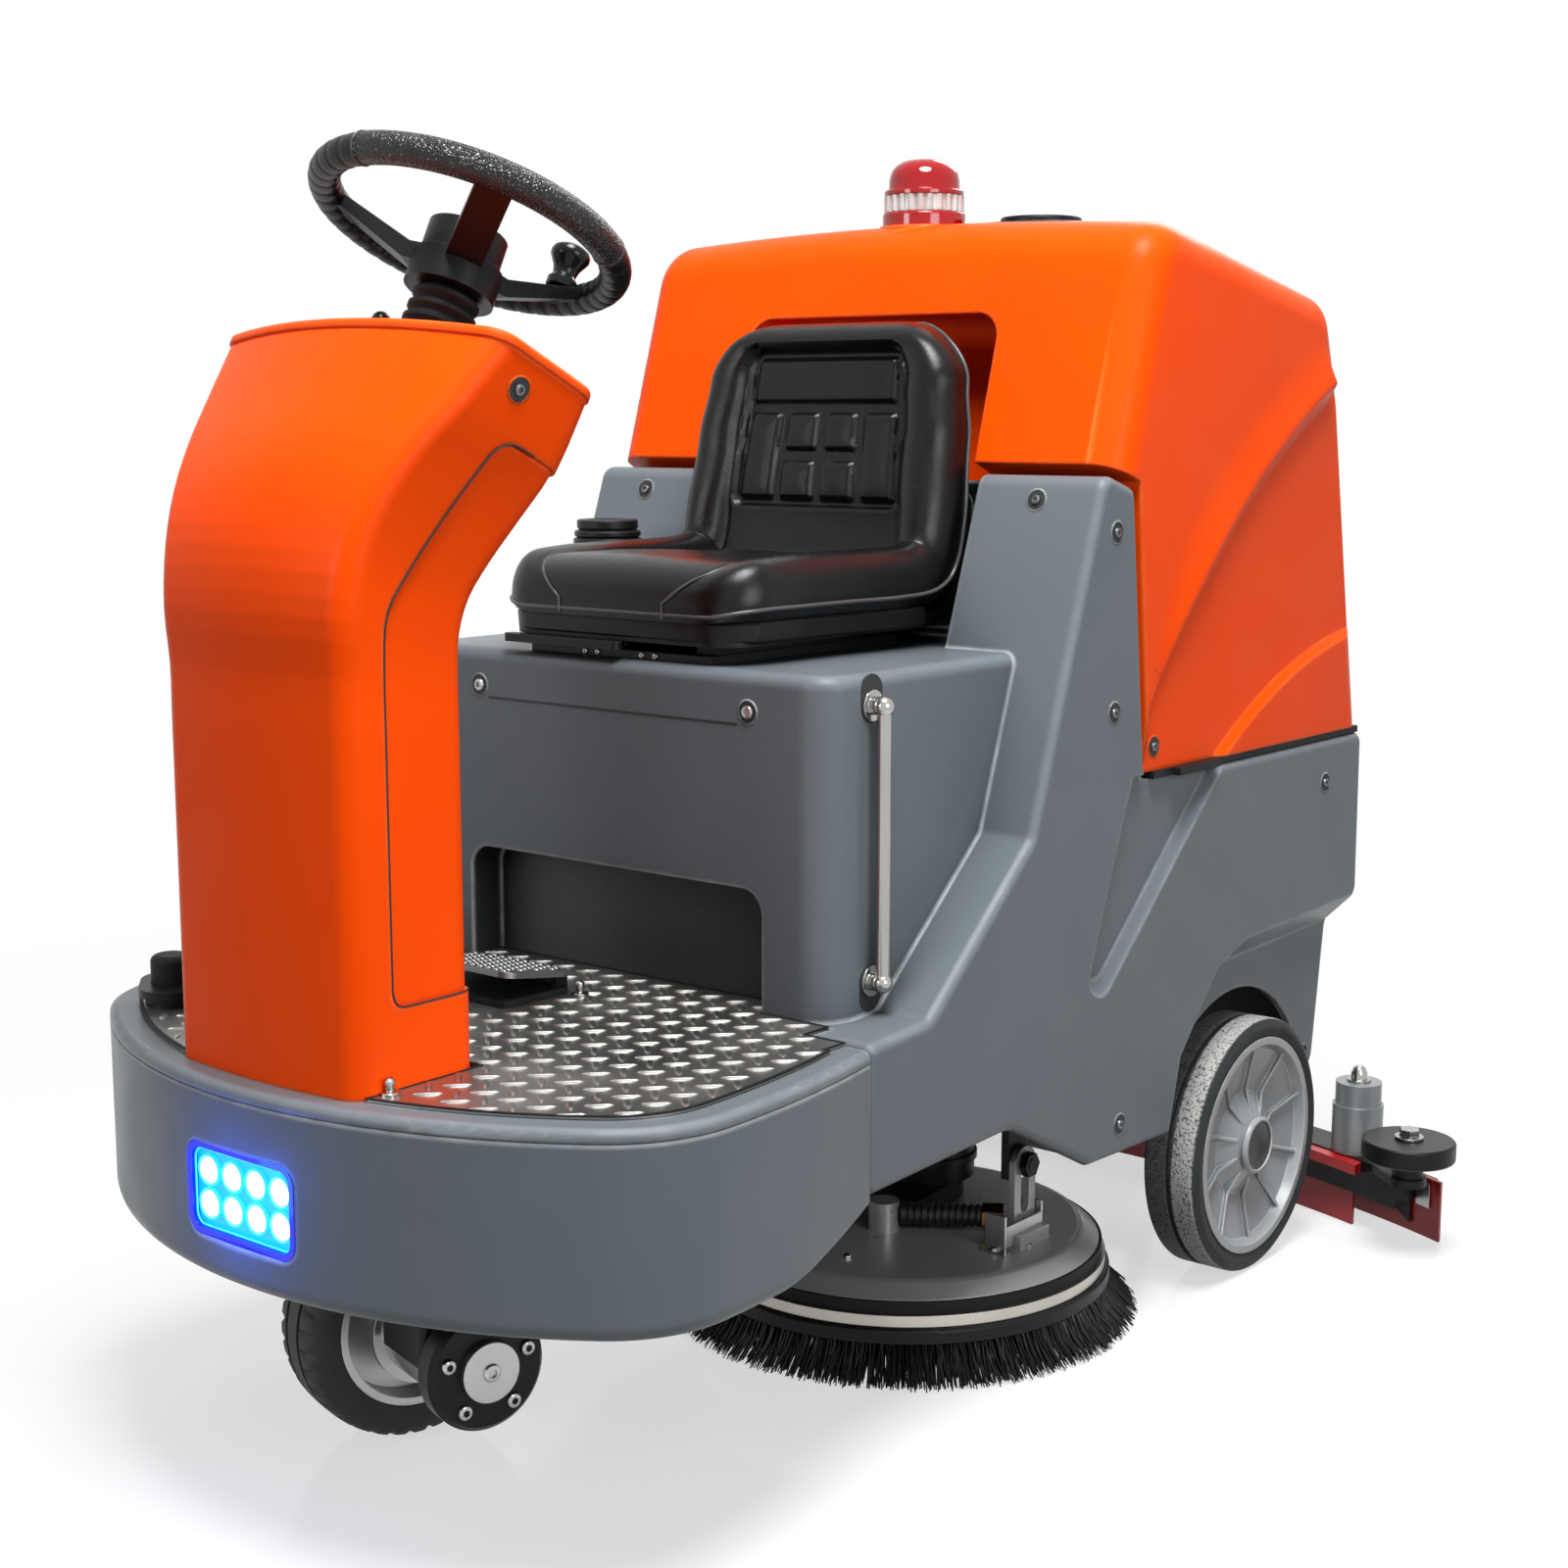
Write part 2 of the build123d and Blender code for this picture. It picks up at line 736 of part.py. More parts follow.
# Steering wheel: rim, three dished spokes and the hub with the button's pocket
hub_bottom = bellows_height + swing_gap
hub_top = hub_bottom + hub_height
with BuildPart() as steering_wheel:
    with Locations(wheel_plane):
        Torus(rim_radius, rim_tube)
    with BuildSketch(dash_plane.offset(hub_bottom)):
        Circle(hub_radius)
    extrude(amount=hub_height / 2)
    with BuildSketch(dash_plane.offset(hub_bottom + hub_height / 2)):
        Circle(hub_top_radius)
    extrude(amount=hub_height / 2)
    for angle in spoke_angles:
        turned = Plane(wheel_plane.location * Location((0, 0, 0), (0, 0, angle)))
        with BuildSketch(Plane(origin=turned.origin, x_dir=turned.x_dir, z_dir=-turned.y_dir)):
            with BuildLine():
                Polyline(
                    (hub_top_radius - 14, hub_bottom - rim_height + 20),
                    (hub_top_radius + 12, hub_bottom - rim_height + 22),
                    (rim_radius - 16, -9),
                    (rim_radius, -9),
                    (rim_radius, spoke_end_top),
                    (rim_radius - 16, spoke_end_top),
                    (hub_top_radius + 8, hub_bottom - rim_height + 38),
                    (hub_top_radius - 14, hub_bottom - rim_height + 38),
                    close=True,
                )
            make_face()
        extrude(amount=spoke_width / 2, both=True)
    with BuildSketch(dash_plane.offset(hub_bottom - 1)):
        Circle(shaft_radius + running_gap)
    extrude(amount=hub_height - 18, mode=Mode.SUBTRACT)
    with BuildSketch(dash_plane.offset(hub_top - 8)):
        Circle(horn_radius + seat_gap)
    extrude(amount=20, mode=Mode.SUBTRACT)
steering_wheel.part.label = "steering_wheel"
export_step(steering_wheel.part, "parts/steering_wheel.step")

# Horn button in the hub
with BuildPart() as horn_button:
    with BuildSketch(dash_plane.offset(hub_top - 8 + horn_travel + 1)):
        Circle(horn_radius)
    extrude(amount=9)
    fillet(horn_button.faces().sort_by(Axis(dash_plane.origin, steer_dir))[-1].edges(), 3)
horn_button.part.label = "horn_button"
export_step(horn_button.part, "parts/horn_button.step")

# Spinner knob on a stud over the rim end of one spoke
knob_plane = Plane(wheel_plane.location * Location((0, 0, 0), (0, 0, knob_angle)))
knob_seat = knob_plane.offset(spoke_end_top + seat_gap) * Pos(knob_reach, 0, 0)
with BuildPart() as spinner_knob:
    with BuildSketch(Plane(knob_seat)):
        Circle(knob_stud_radius)
    extrude(amount=knob_stud_height)
    with Locations(Plane(knob_seat).offset(knob_stud_height + knob_radius - 3)):
        Sphere(knob_radius)
spinner_knob.part.label = "spinner_knob"
export_step(spinner_knob.part, "parts/spinner_knob.step")

# Upper steering shaft with its yoke
with BuildPart() as upper_shaft:
    with BuildSketch(dash_plane.offset(yoke_length - joint_drop)):
        Circle(yoke_radius)
    extrude(amount=yoke_length)
    with BuildSketch(dash_plane.offset(2 * yoke_length - joint_drop)):
        Circle(shaft_radius)
    extrude(amount=joint_drop - 2 * yoke_length + hub_top - 22)
upper_shaft.part.label = "upper_shaft"
export_step(upper_shaft.part, "parts/upper_shaft.step")

# Lower steering shaft with its yoke, joint cross and small sprocket
with BuildPart() as lower_shaft:
    with BuildSketch(Plane.XY.offset(rail_bottom + 4)):
        with Locations((0, joint_point.Y)):
            Circle(lower_shaft_radius)
    extrude(amount=joint_point.Z - rail_bottom - 4)
    with BuildSketch(Plane.XY.offset(joint_point.Z - 2 * yoke_length)):
        with Locations((0, joint_point.Y)):
            Circle(yoke_radius)
    extrude(amount=yoke_length)
    with BuildSketch(Plane.XY.offset(sprocket_z)):
        with Locations((0, joint_point.Y)):
            Circle(small_sprocket)
    extrude(amount=sprocket_thickness)
lower_shaft.part.label = "lower_shaft"
export_step(lower_shaft.part, "parts/lower_shaft.step")

# Steering chain round the two sprockets
with BuildPart() as steering_chain:
    with BuildSketch(Plane.XY.offset(sprocket_z + (sprocket_thickness - chain_width) / 2)):
        for reach, mode in ((seat_gap + chain_depth, Mode.ADD), (seat_gap, Mode.SUBTRACT)):
            with BuildSketch(mode=Mode.PRIVATE) as loop:
                with Locations((0, joint_point.Y)):
                    Circle(small_sprocket + reach)
                with Locations((0, steer_y)):
                    Circle(large_sprocket + reach)
                make_hull()
            add(loop.sketch, mode=mode)
    extrude(amount=chain_width)
steering_chain.part.label = "steering_chain"
export_step(steering_chain.part, "parts/steering_chain.step")

# Drive fork: turntable flange, stub with the large sprocket, neck and saddle over the motor
fork_frame = Plane(origin=(0, steer_y, 0), x_dir=axle_dir, z_dir=(0, 0, 1))
with BuildPart() as drive_fork:
    with BuildSketch(fork_frame.offset(turntable_z - swing_gap - 14)):
        Circle(fork_flange)
    extrude(amount=14)
    with BuildSketch(fork_frame.offset(turntable_z - swing_gap - 1)):
        Circle(stub_radius)
    extrude(amount=sprocket_z + sprocket_thickness + 6 - turntable_z)
    with BuildSketch(fork_frame.offset(sprocket_z)):
        Circle(large_sprocket)
    extrude(amount=sprocket_thickness)
    with BuildSketch(fork_frame.offset(front_wheel_radius + motor_radius + 20)):
        Circle(fork_neck)
    with BuildSketch(fork_frame.offset(turntable_z - swing_gap - 13)):
        Circle(fork_neck + 14)
    loft()
    with BuildSketch(fork_frame.offset(front_wheel_radius)):
        with Locations(((motor_left + motor_right) / 2, 0)):
            RectangleRounded(motor_right - motor_left - 8, 2 * motor_radius + 12, 10)
    extrude(amount=motor_radius + 24)
    with BuildSketch(axle_plane):
        Circle(motor_radius + seat_gap)
    extrude(amount=200, both=True, mode=Mode.SUBTRACT)
drive_fork.part.label = "drive_fork"
export_step(drive_fork.part, "parts/drive_fork.step")

# Drive motor: body, gear flange, output axle and the cap that shows through the cover
axle_end = front_tyre_inner - front_tyre_width + 6
with BuildPart() as drive_motor:
    with BuildSketch(drive_section):
        with BuildLine():
            Polyline(
                (axle_end, 0),
                (axle_end, axle_radius),
                (motor_left - 10, axle_radius),
                (motor_left - 10, motor_radius + 10),
                (motor_left - 2, motor_radius + 10),
                (motor_left - 2, motor_radius),
                (motor_right, motor_radius),
                (motor_right, motor_cap_radius),
                (motor_right + motor_cover_width + 8, motor_cap_radius),
                (motor_right + motor_cover_width + 8, 0),
                close=True,
            )
        make_face()
    revolve(axis=drive_axis)
drive_motor.part.label = "drive_motor"
export_step(drive_motor.part, "parts/drive_motor.step")

# Black end cover of the motor with five bolt heads
with BuildPart() as motor_cover:
    with BuildSketch(drive_section):
        with BuildLine():
            Polyline(
                (motor_right, motor_cap_radius + seat_gap),
                (motor_right, motor_cover_radius - 4),
                (motor_right + 4, motor_cover_radius),
                (motor_right + motor_cover_width - 5, motor_cover_radius),
                (motor_right + motor_cover_width, motor_cover_radius - 5),
                (motor_right + motor_cover_width, motor_cap_radius + seat_gap),
                close=True,
            )
        make_face()
    revolve(axis=drive_axis)
    with BuildSketch(axle_plane.offset(motor_right + motor_cover_width)):
        with PolarLocations(0.72 * motor_cover_radius, 5, start_angle=18):
            RegularPolygon(6, 6)
    extrude(amount=4)
motor_cover.part.label = "motor_cover"
export_step(motor_cover.part, "parts/motor_cover.step")

# Front rim and tyre
tyre_outer = front_tyre_inner - front_tyre_width
with BuildPart() as front_rim:
    with BuildSketch(drive_section):
        with BuildLine():
            Polyline(
                (tyre_outer + 2, axle_radius + running_gap),
                (tyre_outer + 2, 28),
                (tyre_outer + 26, 28),
                (tyre_outer + 32, front_tyre_bore - 8),
                (tyre_outer + 2, front_tyre_bore - 8),
                (tyre_outer + 2, front_tyre_bore),
                (front_tyre_inner - 2, front_tyre_bore),
                (front_tyre_inner - 2, front_tyre_bore - 8),
                (tyre_outer + 44, front_tyre_bore - 8),
                (tyre_outer + 38, 28),
                (front_tyre_inner - 4, 28),
                (front_tyre_inner - 4, axle_radius + running_gap),
                close=True,
            )
        make_face()
    revolve(axis=drive_axis)
front_rim.part.label = "front_rim"
export_step(front_rim.part, "parts/front_rim.step")

with BuildPart() as front_tyre:
    with BuildSketch(drive_section):
        add(
            rounded_outline(
                (
                    (tyre_outer, front_tyre_bore + seat_gap, 4),
                    (tyre_outer, front_wheel_radius, 14),
                    (front_tyre_inner, front_wheel_radius, 14),
                    (front_tyre_inner, front_tyre_bore + seat_gap, 4),
                )
            )
        )
    revolve(axis=drive_axis)
front_tyre.part.label = "front_tyre"
export_step(front_tyre.part, "parts/front_tyre.step")

# Drive pedal on its base, hinged at the rear edge
pedal_mid = (pedal_left + pedal_right) / 2
pedal_width = pedal_left - pedal_right
pin_y = pedal_rear - 8
pin_z = plate_top + pedal_base_height + pedal_pin_radius + 5
with BuildPart() as pedal_base:
    with BuildSketch(Plane.XY.offset(plate_top)):
        with Locations((pedal_mid, (pedal_front + pedal_rear) / 2)):
            RectangleRounded(pedal_width, pedal_rear - pedal_front, 14)
    extrude(amount=pedal_base_height)
    for side in (-1, 1):
        with BuildSketch(Plane.YZ.offset(pedal_mid + side * (pedal_width / 2 - 12))):
            with Locations((pin_y, (plate_top + pin_z) / 2)):
                Rectangle(16, pin_z - plate_top)
            with Locations((pin_y, pin_z)):
                Circle(8)
        extrude(amount=4, both=True)
    with BuildSketch(Plane.YZ.offset(pedal_mid)):
        with Locations((pin_y, pin_z)):
            Circle(pedal_pin_radius)
    extrude(amount=pedal_width / 2 - 12, both=True)
pedal_base.part.label = "pedal_base"
export_step(pedal_base.part, "parts/pedal_base.step")

pedal_lean = radians(pedal_tilt)
pedal_plane = Plane(
    origin=(pedal_mid, pin_y, pin_z), x_dir=(1, 0, 0), z_dir=(0, sin(pedal_lean), cos(pedal_lean))
)
pedal_reach = pin_y - pedal_front
with BuildPart() as pedal:
    with BuildSketch(pedal_plane.offset(pedal_pin_radius + 4 - pedal_thickness)):
        with Locations((0, 4 - pedal_reach / 2)):
            RectangleRounded(pedal_width, pedal_reach + 8, 14)
        with Locations((0, 6)):
            with GridLocations(pedal_width - 24, 1, 2, 1):
                Rectangle(11, 30, mode=Mode.SUBTRACT)
    extrude(amount=pedal_thickness)
    with BuildSketch(Plane.YZ.offset(pedal_mid)):
        with Locations((pin_y, pin_z)):
            Circle(pedal_pin_radius + 4)
    extrude(amount=pedal_width / 2 - 18, both=True)
    with BuildSketch(Plane.YZ.offset(pedal_mid)):
        with Locations((pin_y, pin_z)):
            Circle(pedal_pin_radius + running_gap)
    extrude(amount=pedal_width, both=True, mode=Mode.SUBTRACT)
pedal.part.label = "pedal"
export_step(pedal.part, "parts/pedal.step")

# Foot switch: an oval flange with a well and a cap that travels in it
with BuildPart() as foot_switch_base:
    with BuildSketch(Plane.XY.offset(plate_top)):
        with Locations((switch_x, switch_y)):
            SlotOverall(76, 50, rotation=-40)
    extrude(amount=10)
    with BuildSketch(Plane.XY.offset(plate_top + 10)):
        with Locations((switch_x, switch_y)):
            SlotOverall(96, 62, rotation=-40)
    extrude(amount=8)
    with BuildSketch(Plane.XY.offset(plate_top + 4)):
        with Locations((switch_x, switch_y)):
            Circle(switch_radius + seat_gap)
    extrude(amount=30, mode=Mode.SUBTRACT)
foot_switch_base.part.label = "foot_switch_base"
export_step(foot_switch_base.part, "parts/foot_switch_base.step")

with BuildPart() as foot_switch_cap:
    with BuildSketch(Plane.XY.offset(plate_top + 4 + switch_travel + 1)):
        with Locations((switch_x, switch_y)):
            Circle(switch_radius)
    extrude(amount=switch_height - 11)
    fillet(foot_switch_cap.faces().sort_by(Axis.Z)[-1].edges(), 7)
foot_switch_cap.part.label = "foot_switch_cap"
export_step(foot_switch_cap.part, "parts/foot_switch_cap.step")

# Main body: the side profile drawn across the width, with the seat box in front of it
body_outline = rounded_outline(
    (
        (-316, 280, 12),
        (-309, platform_top, 10),
        (-217, platform_top + 6, 12),
        (-45, 580, 14),
        (cheek_top[0], cheek_top[1], 18),
        (138, 921, 12),
        (171, body_rear_top, 20),
        (688, body_rear_top, 14),
        (690, 416, 16),
        (659, 372, 14),
        (634, 194, 22),
        (74, 212, 20),
        (-75, 288, 60),
    )
)
niche_plane = Plane(origin=(0, niche_back, seat_box_top), x_dir=(1, 0, 0), z_dir=(0, -1, 0))
flank_upper = ((720, 413), (408, 402), (340, 379), (259, 292), (231, 190), (231, 150), (720, 150))
flank_lower = ((720, 379), (398, 371), (346, 352), (289, 282), (262, 190), (262, 150), (720, 150))
flank_top = flank_upper[0][1]
flank_rim = rounded_outline([(y, z, 0) for y, z in flank_upper])
flank_floor = rounded_outline([(y, z, 0) for y, z in flank_lower])
scoop_depth = 11
scoop_rim = rounded_outline(((144, 620, 0), (31, 331, 24), (352, 620, 0)))
scoop_floor = rounded_outline(((146, 620, 0), (48, 364, 18), (332, 620, 0)))

with BuildPart() as seat_box:
    with BuildSketch(Plane.XY.offset(platform_top)):
        add(
            rounded_outline(
                (
                    (-seat_box_half_width, seat_box_front, seat_box_corner),
                    (seat_box_half_width, seat_box_front, seat_box_corner),
                    (seat_box_half_width, cheek_foot[0] + 60, 0),
                    (-seat_box_half_width, cheek_foot[0] + 60, 0),
                )
            )
        )
    extrude(amount=seat_box_top - platform_top)
    fillet(seat_box.faces().sort_by(Axis.Z)[-1].edges().sort_by(Axis.Y)[:-1], seat_box_edge)


def side_cut(half_width, depth, rim, floor):
    """Return a tool that sinks a panel into a side, from its rim down to a floor at depth."""
    with BuildPart() as cut:
        for station, outline in ((half_width + 1, rim), (half_width - depth, floor)):
            with BuildSketch(Plane.YZ.offset(station)):
                add(outline)
        loft(ruled=True)
    return cut.part


flank_cut = side_cut(body_half_width, flank_inset, flank_rim, flank_floor)
scoop_cut = side_cut(body_half_width, scoop_depth, scoop_rim, scoop_floor)

with BuildPart() as main_body:
    with BuildSketch(Plane.YZ):
        add(body_outline)
    extrude(amount=body_half_width, both=True)
    for end in (0, -1):
        fillet(main_body.faces().sort_by(Axis.X)[end].edges(), body_edge)
    add(seat_box.part)
    with BuildSketch(Plane.XY.offset(200)):
        with Locations((0, seat_box_front - 100)):
            Rectangle(2 * seat_box_half_width + 1, 200)
    extrude(amount=platform_top - 200 + 8, mode=Mode.SUBTRACT)
    with BuildSketch(Plane.XZ.offset(-seat_box_front - heel_depth)):
        add(
            rounded_outline(
                (
                    (-heel_half_width, platform_top, 0),
                    (heel_half_width, platform_top, 0),
                    (heel_half_width, heel_top, heel_corner),
                    (-heel_half_width, heel_top, heel_corner),
                )
            )
        )
    extrude(amount=heel_depth + 20, mode=Mode.SUBTRACT)
    for cut in (flank_cut, scoop_cut):
        add(cut, mode=Mode.SUBTRACT)
        add(mirror(cut, about=Plane.YZ, mode=Mode.PRIVATE), mode=Mode.SUBTRACT)
    with BuildSketch(Plane.XY.offset(150)):
        with Locations((0, (seat_box_front + heel_depth + body_wall + cheek_foot[0]) / 2)):
            Rectangle(
                2 * (seat_box_half_width - body_wall),
                cheek_foot[0] - seat_box_front - heel_depth - body_wall,
            )
    extrude(amount=seat_box_top - body_wall - 150, mode=Mode.SUBTRACT)
    with BuildSketch(Plane.XY.offset(150)):
        with Locations((0, rear_bay_length / 2)):
            Rectangle(2 * (body_half_width - flank_inset - body_wall), rear_bay_length)
    extrude(amount=flank_top + body_wall - 150, mode=Mode.SUBTRACT)
    with BuildSketch(Plane.XY.offset(150)):
        with Locations((0, 110)):
            Rectangle(2 * bay_half_width, 180)
    extrude(amount=wide_bay_top - 150, mode=Mode.SUBTRACT)
    with BuildSketch(Plane.XY.offset(flank_top + body_wall)):
        with Locations((0, rear_bay_length / 2 + 5)):
            Rectangle(2 * (bay_half_width - 12), rear_bay_length - 20)
    extrude(amount=body_rear_top - 2 * body_wall - flank_top, mode=Mode.SUBTRACT)
    with BuildSketch(Plane.XY.offset(150)):
        with Locations((0, -145)):
            Rectangle(2 * bay_half_width, 300)
    extrude(amount=platform_top - 24 - 150, mode=Mode.SUBTRACT)
    with BuildSketch(Plane.YZ):
        with Locations((rear_wheel_y, rear_wheel_radius)):
            Circle(arch_radius)
    extrude(amount=2 * body_half_width, both=True, mode=Mode.SUBTRACT)
    with BuildSketch(Plane.XY.offset(150)):
        with Locations((0, 650)):
            Rectangle(2 * (arm_gap + arm_width + 20), 120)
    extrude(amount=arm_pivot_z + 62 - 150, mode=Mode.SUBTRACT)
    with BuildSketch(Plane.XY.offset(seat_box_top)):
        add(
            rounded_outline(
                (
                    (-niche_half_width, seat_box_front, 0),
                    (niche_half_width, seat_box_front, 0),
                    (niche_half_width, niche_back, niche_corner),
                    (-niche_half_width, niche_back, niche_corner),
                )
            )
        )
    extrude(amount=300, mode=Mode.SUBTRACT)
    with BuildSketch(niche_plane):
        with Locations((0, 12 + panel_height / 2)):
            RectangleRounded(2 * (panel_half_width + 1), panel_height + 2, 19)
    extrude(amount=-panel_thickness, mode=Mode.SUBTRACT)
    with BuildSketch(Plane.XY.offset(seat_box_top - body_wall)):
        with Locations((filler_x, filler_y)):
            Circle(filler_radius)
    extrude(amount=filler_top - seat_box_top + body_wall)
    with BuildSketch(Plane.XY.offset(filler_top)):
        with Locations((filler_x, filler_y)):
            Circle(filler_bore)
    extrude(amount=-(filler_top - seat_box_top - 4), mode=Mode.SUBTRACT)
main_body.part.label = "main_body"
export_step(main_body.part, "parts/main_body.step")

# Centre panel behind the seat, lying in its pocket
with BuildPart() as back_panel:
    with BuildSketch(niche_plane.offset(-panel_thickness)):
        with Locations((0, 12 + panel_height / 2)):
            RectangleRounded(2 * panel_half_width, panel_height, 18)
    extrude(amount=panel_thickness - 1)
back_panel.part.label = "back_panel"
export_step(back_panel.part, "parts/back_panel.step")

# Filler cap: two stacked discs with a plug
with BuildPart() as filler_cap:
    with BuildSketch(Plane.XY.offset(filler_top + seat_gap)):
        with Locations((filler_x, filler_y)):
            Circle(filler_cap_radius)
    extrude(amount=filler_cap_height * 0.6)
    with BuildSketch(Plane.XY.offset(filler_top + seat_gap + filler_cap_height * 0.6)):
        with Locations((filler_x, filler_y)):
            Circle(filler_cap_radius - 6)
    extrude(amount=filler_cap_height * 0.4)
    with BuildSketch(Plane.XY.offset(filler_top + seat_gap)):
        with Locations((filler_x, filler_y)):
            Circle(filler_bore - seat_gap)
    extrude(amount=-12)
filler_cap.part.label = "filler_cap"
export_step(filler_cap.part, "parts/filler_cap.step")

# Level tube on the seat box side, with an elbow at each end
tube_x = seat_box_half_width + tube_standoff
with BuildPart() as level_tube:
    with BuildSketch(Plane.XY.offset(tube_bottom)):
        with Locations((tube_x, tube_y)):
            Circle(tube_radius)
    extrude(amount=tube_top - tube_bottom)
    for end_z in (tube_bottom, tube_top):
        with Locations((tube_x, tube_y, end_z)):
            Sphere(tube_radius + 3)
        with BuildSketch(Plane.YZ.offset(seat_box_half_width)):
            with Locations((tube_y, end_z)):
                Circle(tube_radius + 2)
        extrude(amount=tube_standoff)
        with BuildSketch(Plane.YZ.offset(seat_box_half_width)):
            with Locations((tube_y, end_z)):
                Circle(tube_radius + 8)
        extrude(amount=3)
level_tube.part.label = "level_tube"
export_step(level_tube.part, "parts/level_tube.step")

# Button-head bolts on the body sides, the tank sides and the seat box front
side_bolts = ((132, 245), (591, 560), (101, 878), (103, 692))
with BuildPart() as shell_bolts:
    for side in (-1, 1):
        with BuildSketch(Plane.YZ.offset(side * body_half_width)):
            with Locations(*side_bolts):
                Circle(bolt_radius)
        extrude(amount=side * bolt_height)
    with BuildSketch(Plane.XZ.offset(-seat_box_front)):
        with Locations((-183, 718), (183, 718)):
            Circle(bolt_radius)
    extrude(amount=bolt_height)
shell_bolts.part.label = "shell_bolts"
export_step(shell_bolts.part, "parts/shell_bolts.step")

# Recovery tank: side profiles lofted across the width so that the roof is crowned
def tank_outline(roof):
    """Return the tank's side profile with its roof raised by roof."""
    return rounded_outline(
        (
            (177, tank_bottom, 0),
            (146, tank_chin, 0),
            (100, tank_brow, 0),
            (178, tank_roof_front + roof, 60),
            (tank_rear - 115, tank_roof_rear + roof, 50),
            (tank_rear - 75, tank_shoulder, 90),
            (tank_rear, tank_bottom, 0),
        )
    )


swoosh_depth = 8
swoosh_bevel = 8


def swoosh_outline(inset):
    """Return the tank's side panel, drawn in by inset along its two curved edges."""
    with BuildSketch() as outline:
        with BuildLine():
            Line((172, 580), (172 + inset, 690 - inset))
            ThreePointArc(
                (172 + inset, 690 - inset), (336 + inset, 882 - inset), (586 + inset, 1040 - inset)
            )
            Line((586 + inset, 1040 - inset), (700 + inset, 1066 - inset))
            Line((700 + inset, 1066 - inset), (740 - inset, 739 + inset))
            ThreePointArc(
                (740 - inset, 739 + inset), (488 - inset, 692 + inset), (300 - inset, 588 + inset)
            )
            Line((300 - inset, 588 + inset), (172, 580))
        make_face()
    return outline.sketch


tank_swoosh = side_cut(tank_half_width, swoosh_depth, swoosh_outline(0), swoosh_outline(swoosh_bevel))

with BuildPart() as recovery_tank:
    for station, roof in ((-tank_half_width, 0), (0, tank_crown), (tank_half_width, 0)):
        with BuildSketch(Plane.YZ.offset(station)):
            add(tank_outline(roof))
    loft()
    for end in (0, -1):
        rim = recovery_tank.faces().sort_by(Axis.X)[end].edges()
        fillet(rim.filter_by(lambda edge: edge.center().Z > 945 or edge.center().Y > 560), tank_edge)
    add(tank_swoosh, mode=Mode.SUBTRACT)
    add(mirror(tank_swoosh, about=Plane.YZ, mode=Mode.PRIVATE), mode=Mode.SUBTRACT)
    with BuildSketch(Plane.XZ.offset(-recess_back)):
        with Locations((0, (recess_top + 860) / 2)):
            RectangleRounded(2 * recess_half_width, recess_top - 860, recess_corner)
    extrude(amount=recess_back, mode=Mode.SUBTRACT)
    with BuildSketch(Plane.XY.offset(tank_hollow_top - 30)):
        with Locations((port_x, port_y)):
            Circle(collar_radius)
    extrude(amount=collar_top + 30 - tank_hollow_top)
    with BuildSketch(Plane.XY.offset(tank_hollow_top)):
        with Locations((0, beacon_y)):
            Circle(beacon_radius + 3)
    extrude(amount=beacon_seat - tank_hollow_top)
    with BuildSketch(Plane.YZ):
        with BuildLine():
            Polyline(
                (recess_back + tank_skin, tank_bottom + tank_skin),
                (recess_back + tank_skin, tank_hollow_top),
                (tank_rear - 179, tank_roof_rear - 30),
                (tank_rear - 119, tank_shoulder - 10),
                (tank_rear - 39, tank_bottom + tank_skin),
                close=True,
            )
        make_face()
    extrude(amount=tank_half_width - 2 * tank_skin, both=True, mode=Mode.SUBTRACT)
    with BuildSketch(Plane.XY.offset(tank_shoulder)):
        with Locations((port_x, port_y)):
            Circle(port_radius)
    extrude(amount=collar_top - tank_shoulder + 1, mode=Mode.SUBTRACT)
recovery_tank.part.label = "recovery_tank"
export_step(recovery_tank.part, "parts/recovery_tank.step")

# Seal between the body and the tank, with a latch pad on each side
with BuildPart() as tank_seal:
    with BuildSketch(Plane.XY.offset(body_rear_top)):
        with Locations((0, 436)):
            Rectangle(2 * (tank_half_width - 3), 488)
        with Locations((0, 436)):
            Rectangle(2 * (tank_half_width - 33), 428, mode=Mode.SUBTRACT)
        for side in (-1, 1):
            with Locations((side * tank_half_width, 276)):
                Rectangle(14, 90)
    extrude(amount=tank_bottom - body_rear_top)
tank_seal.part.label = "tank_seal"
export_step(tank_seal.part, "parts/tank_seal.step")

# Tank lid: a disc with a plug in the port
with BuildPart() as tank_lid:
    with BuildSketch(Plane.XY.offset(collar_top + seat_gap)):
        with Locations((port_x, port_y)):
            Circle(lid_radius)
    extrude(amount=lid_height)
    fillet(tank_lid.faces().sort_by(Axis.Z)[-1].edges(), 5)
    with BuildSketch(Plane.XY.offset(collar_top + seat_gap + lid_height)):
        with Locations((port_x, port_y)):
            Circle(lid_boss_radius)
    extrude(amount=lid_boss_height)
    fillet(tank_lid.faces().sort_by(Axis.Z)[-1].edges(), 3)
    with BuildSketch(Plane.XY.offset(collar_top + seat_gap)):
        with Locations((port_x, port_y)):
            Circle(port_radius - seat_gap)
            Circle(port_radius - seat_gap - 6, mode=Mode.SUBTRACT)
    extrude(amount=-14)
tank_lid.part.label = "tank_lid"
export_step(tank_lid.part, "parts/tank_lid.step")

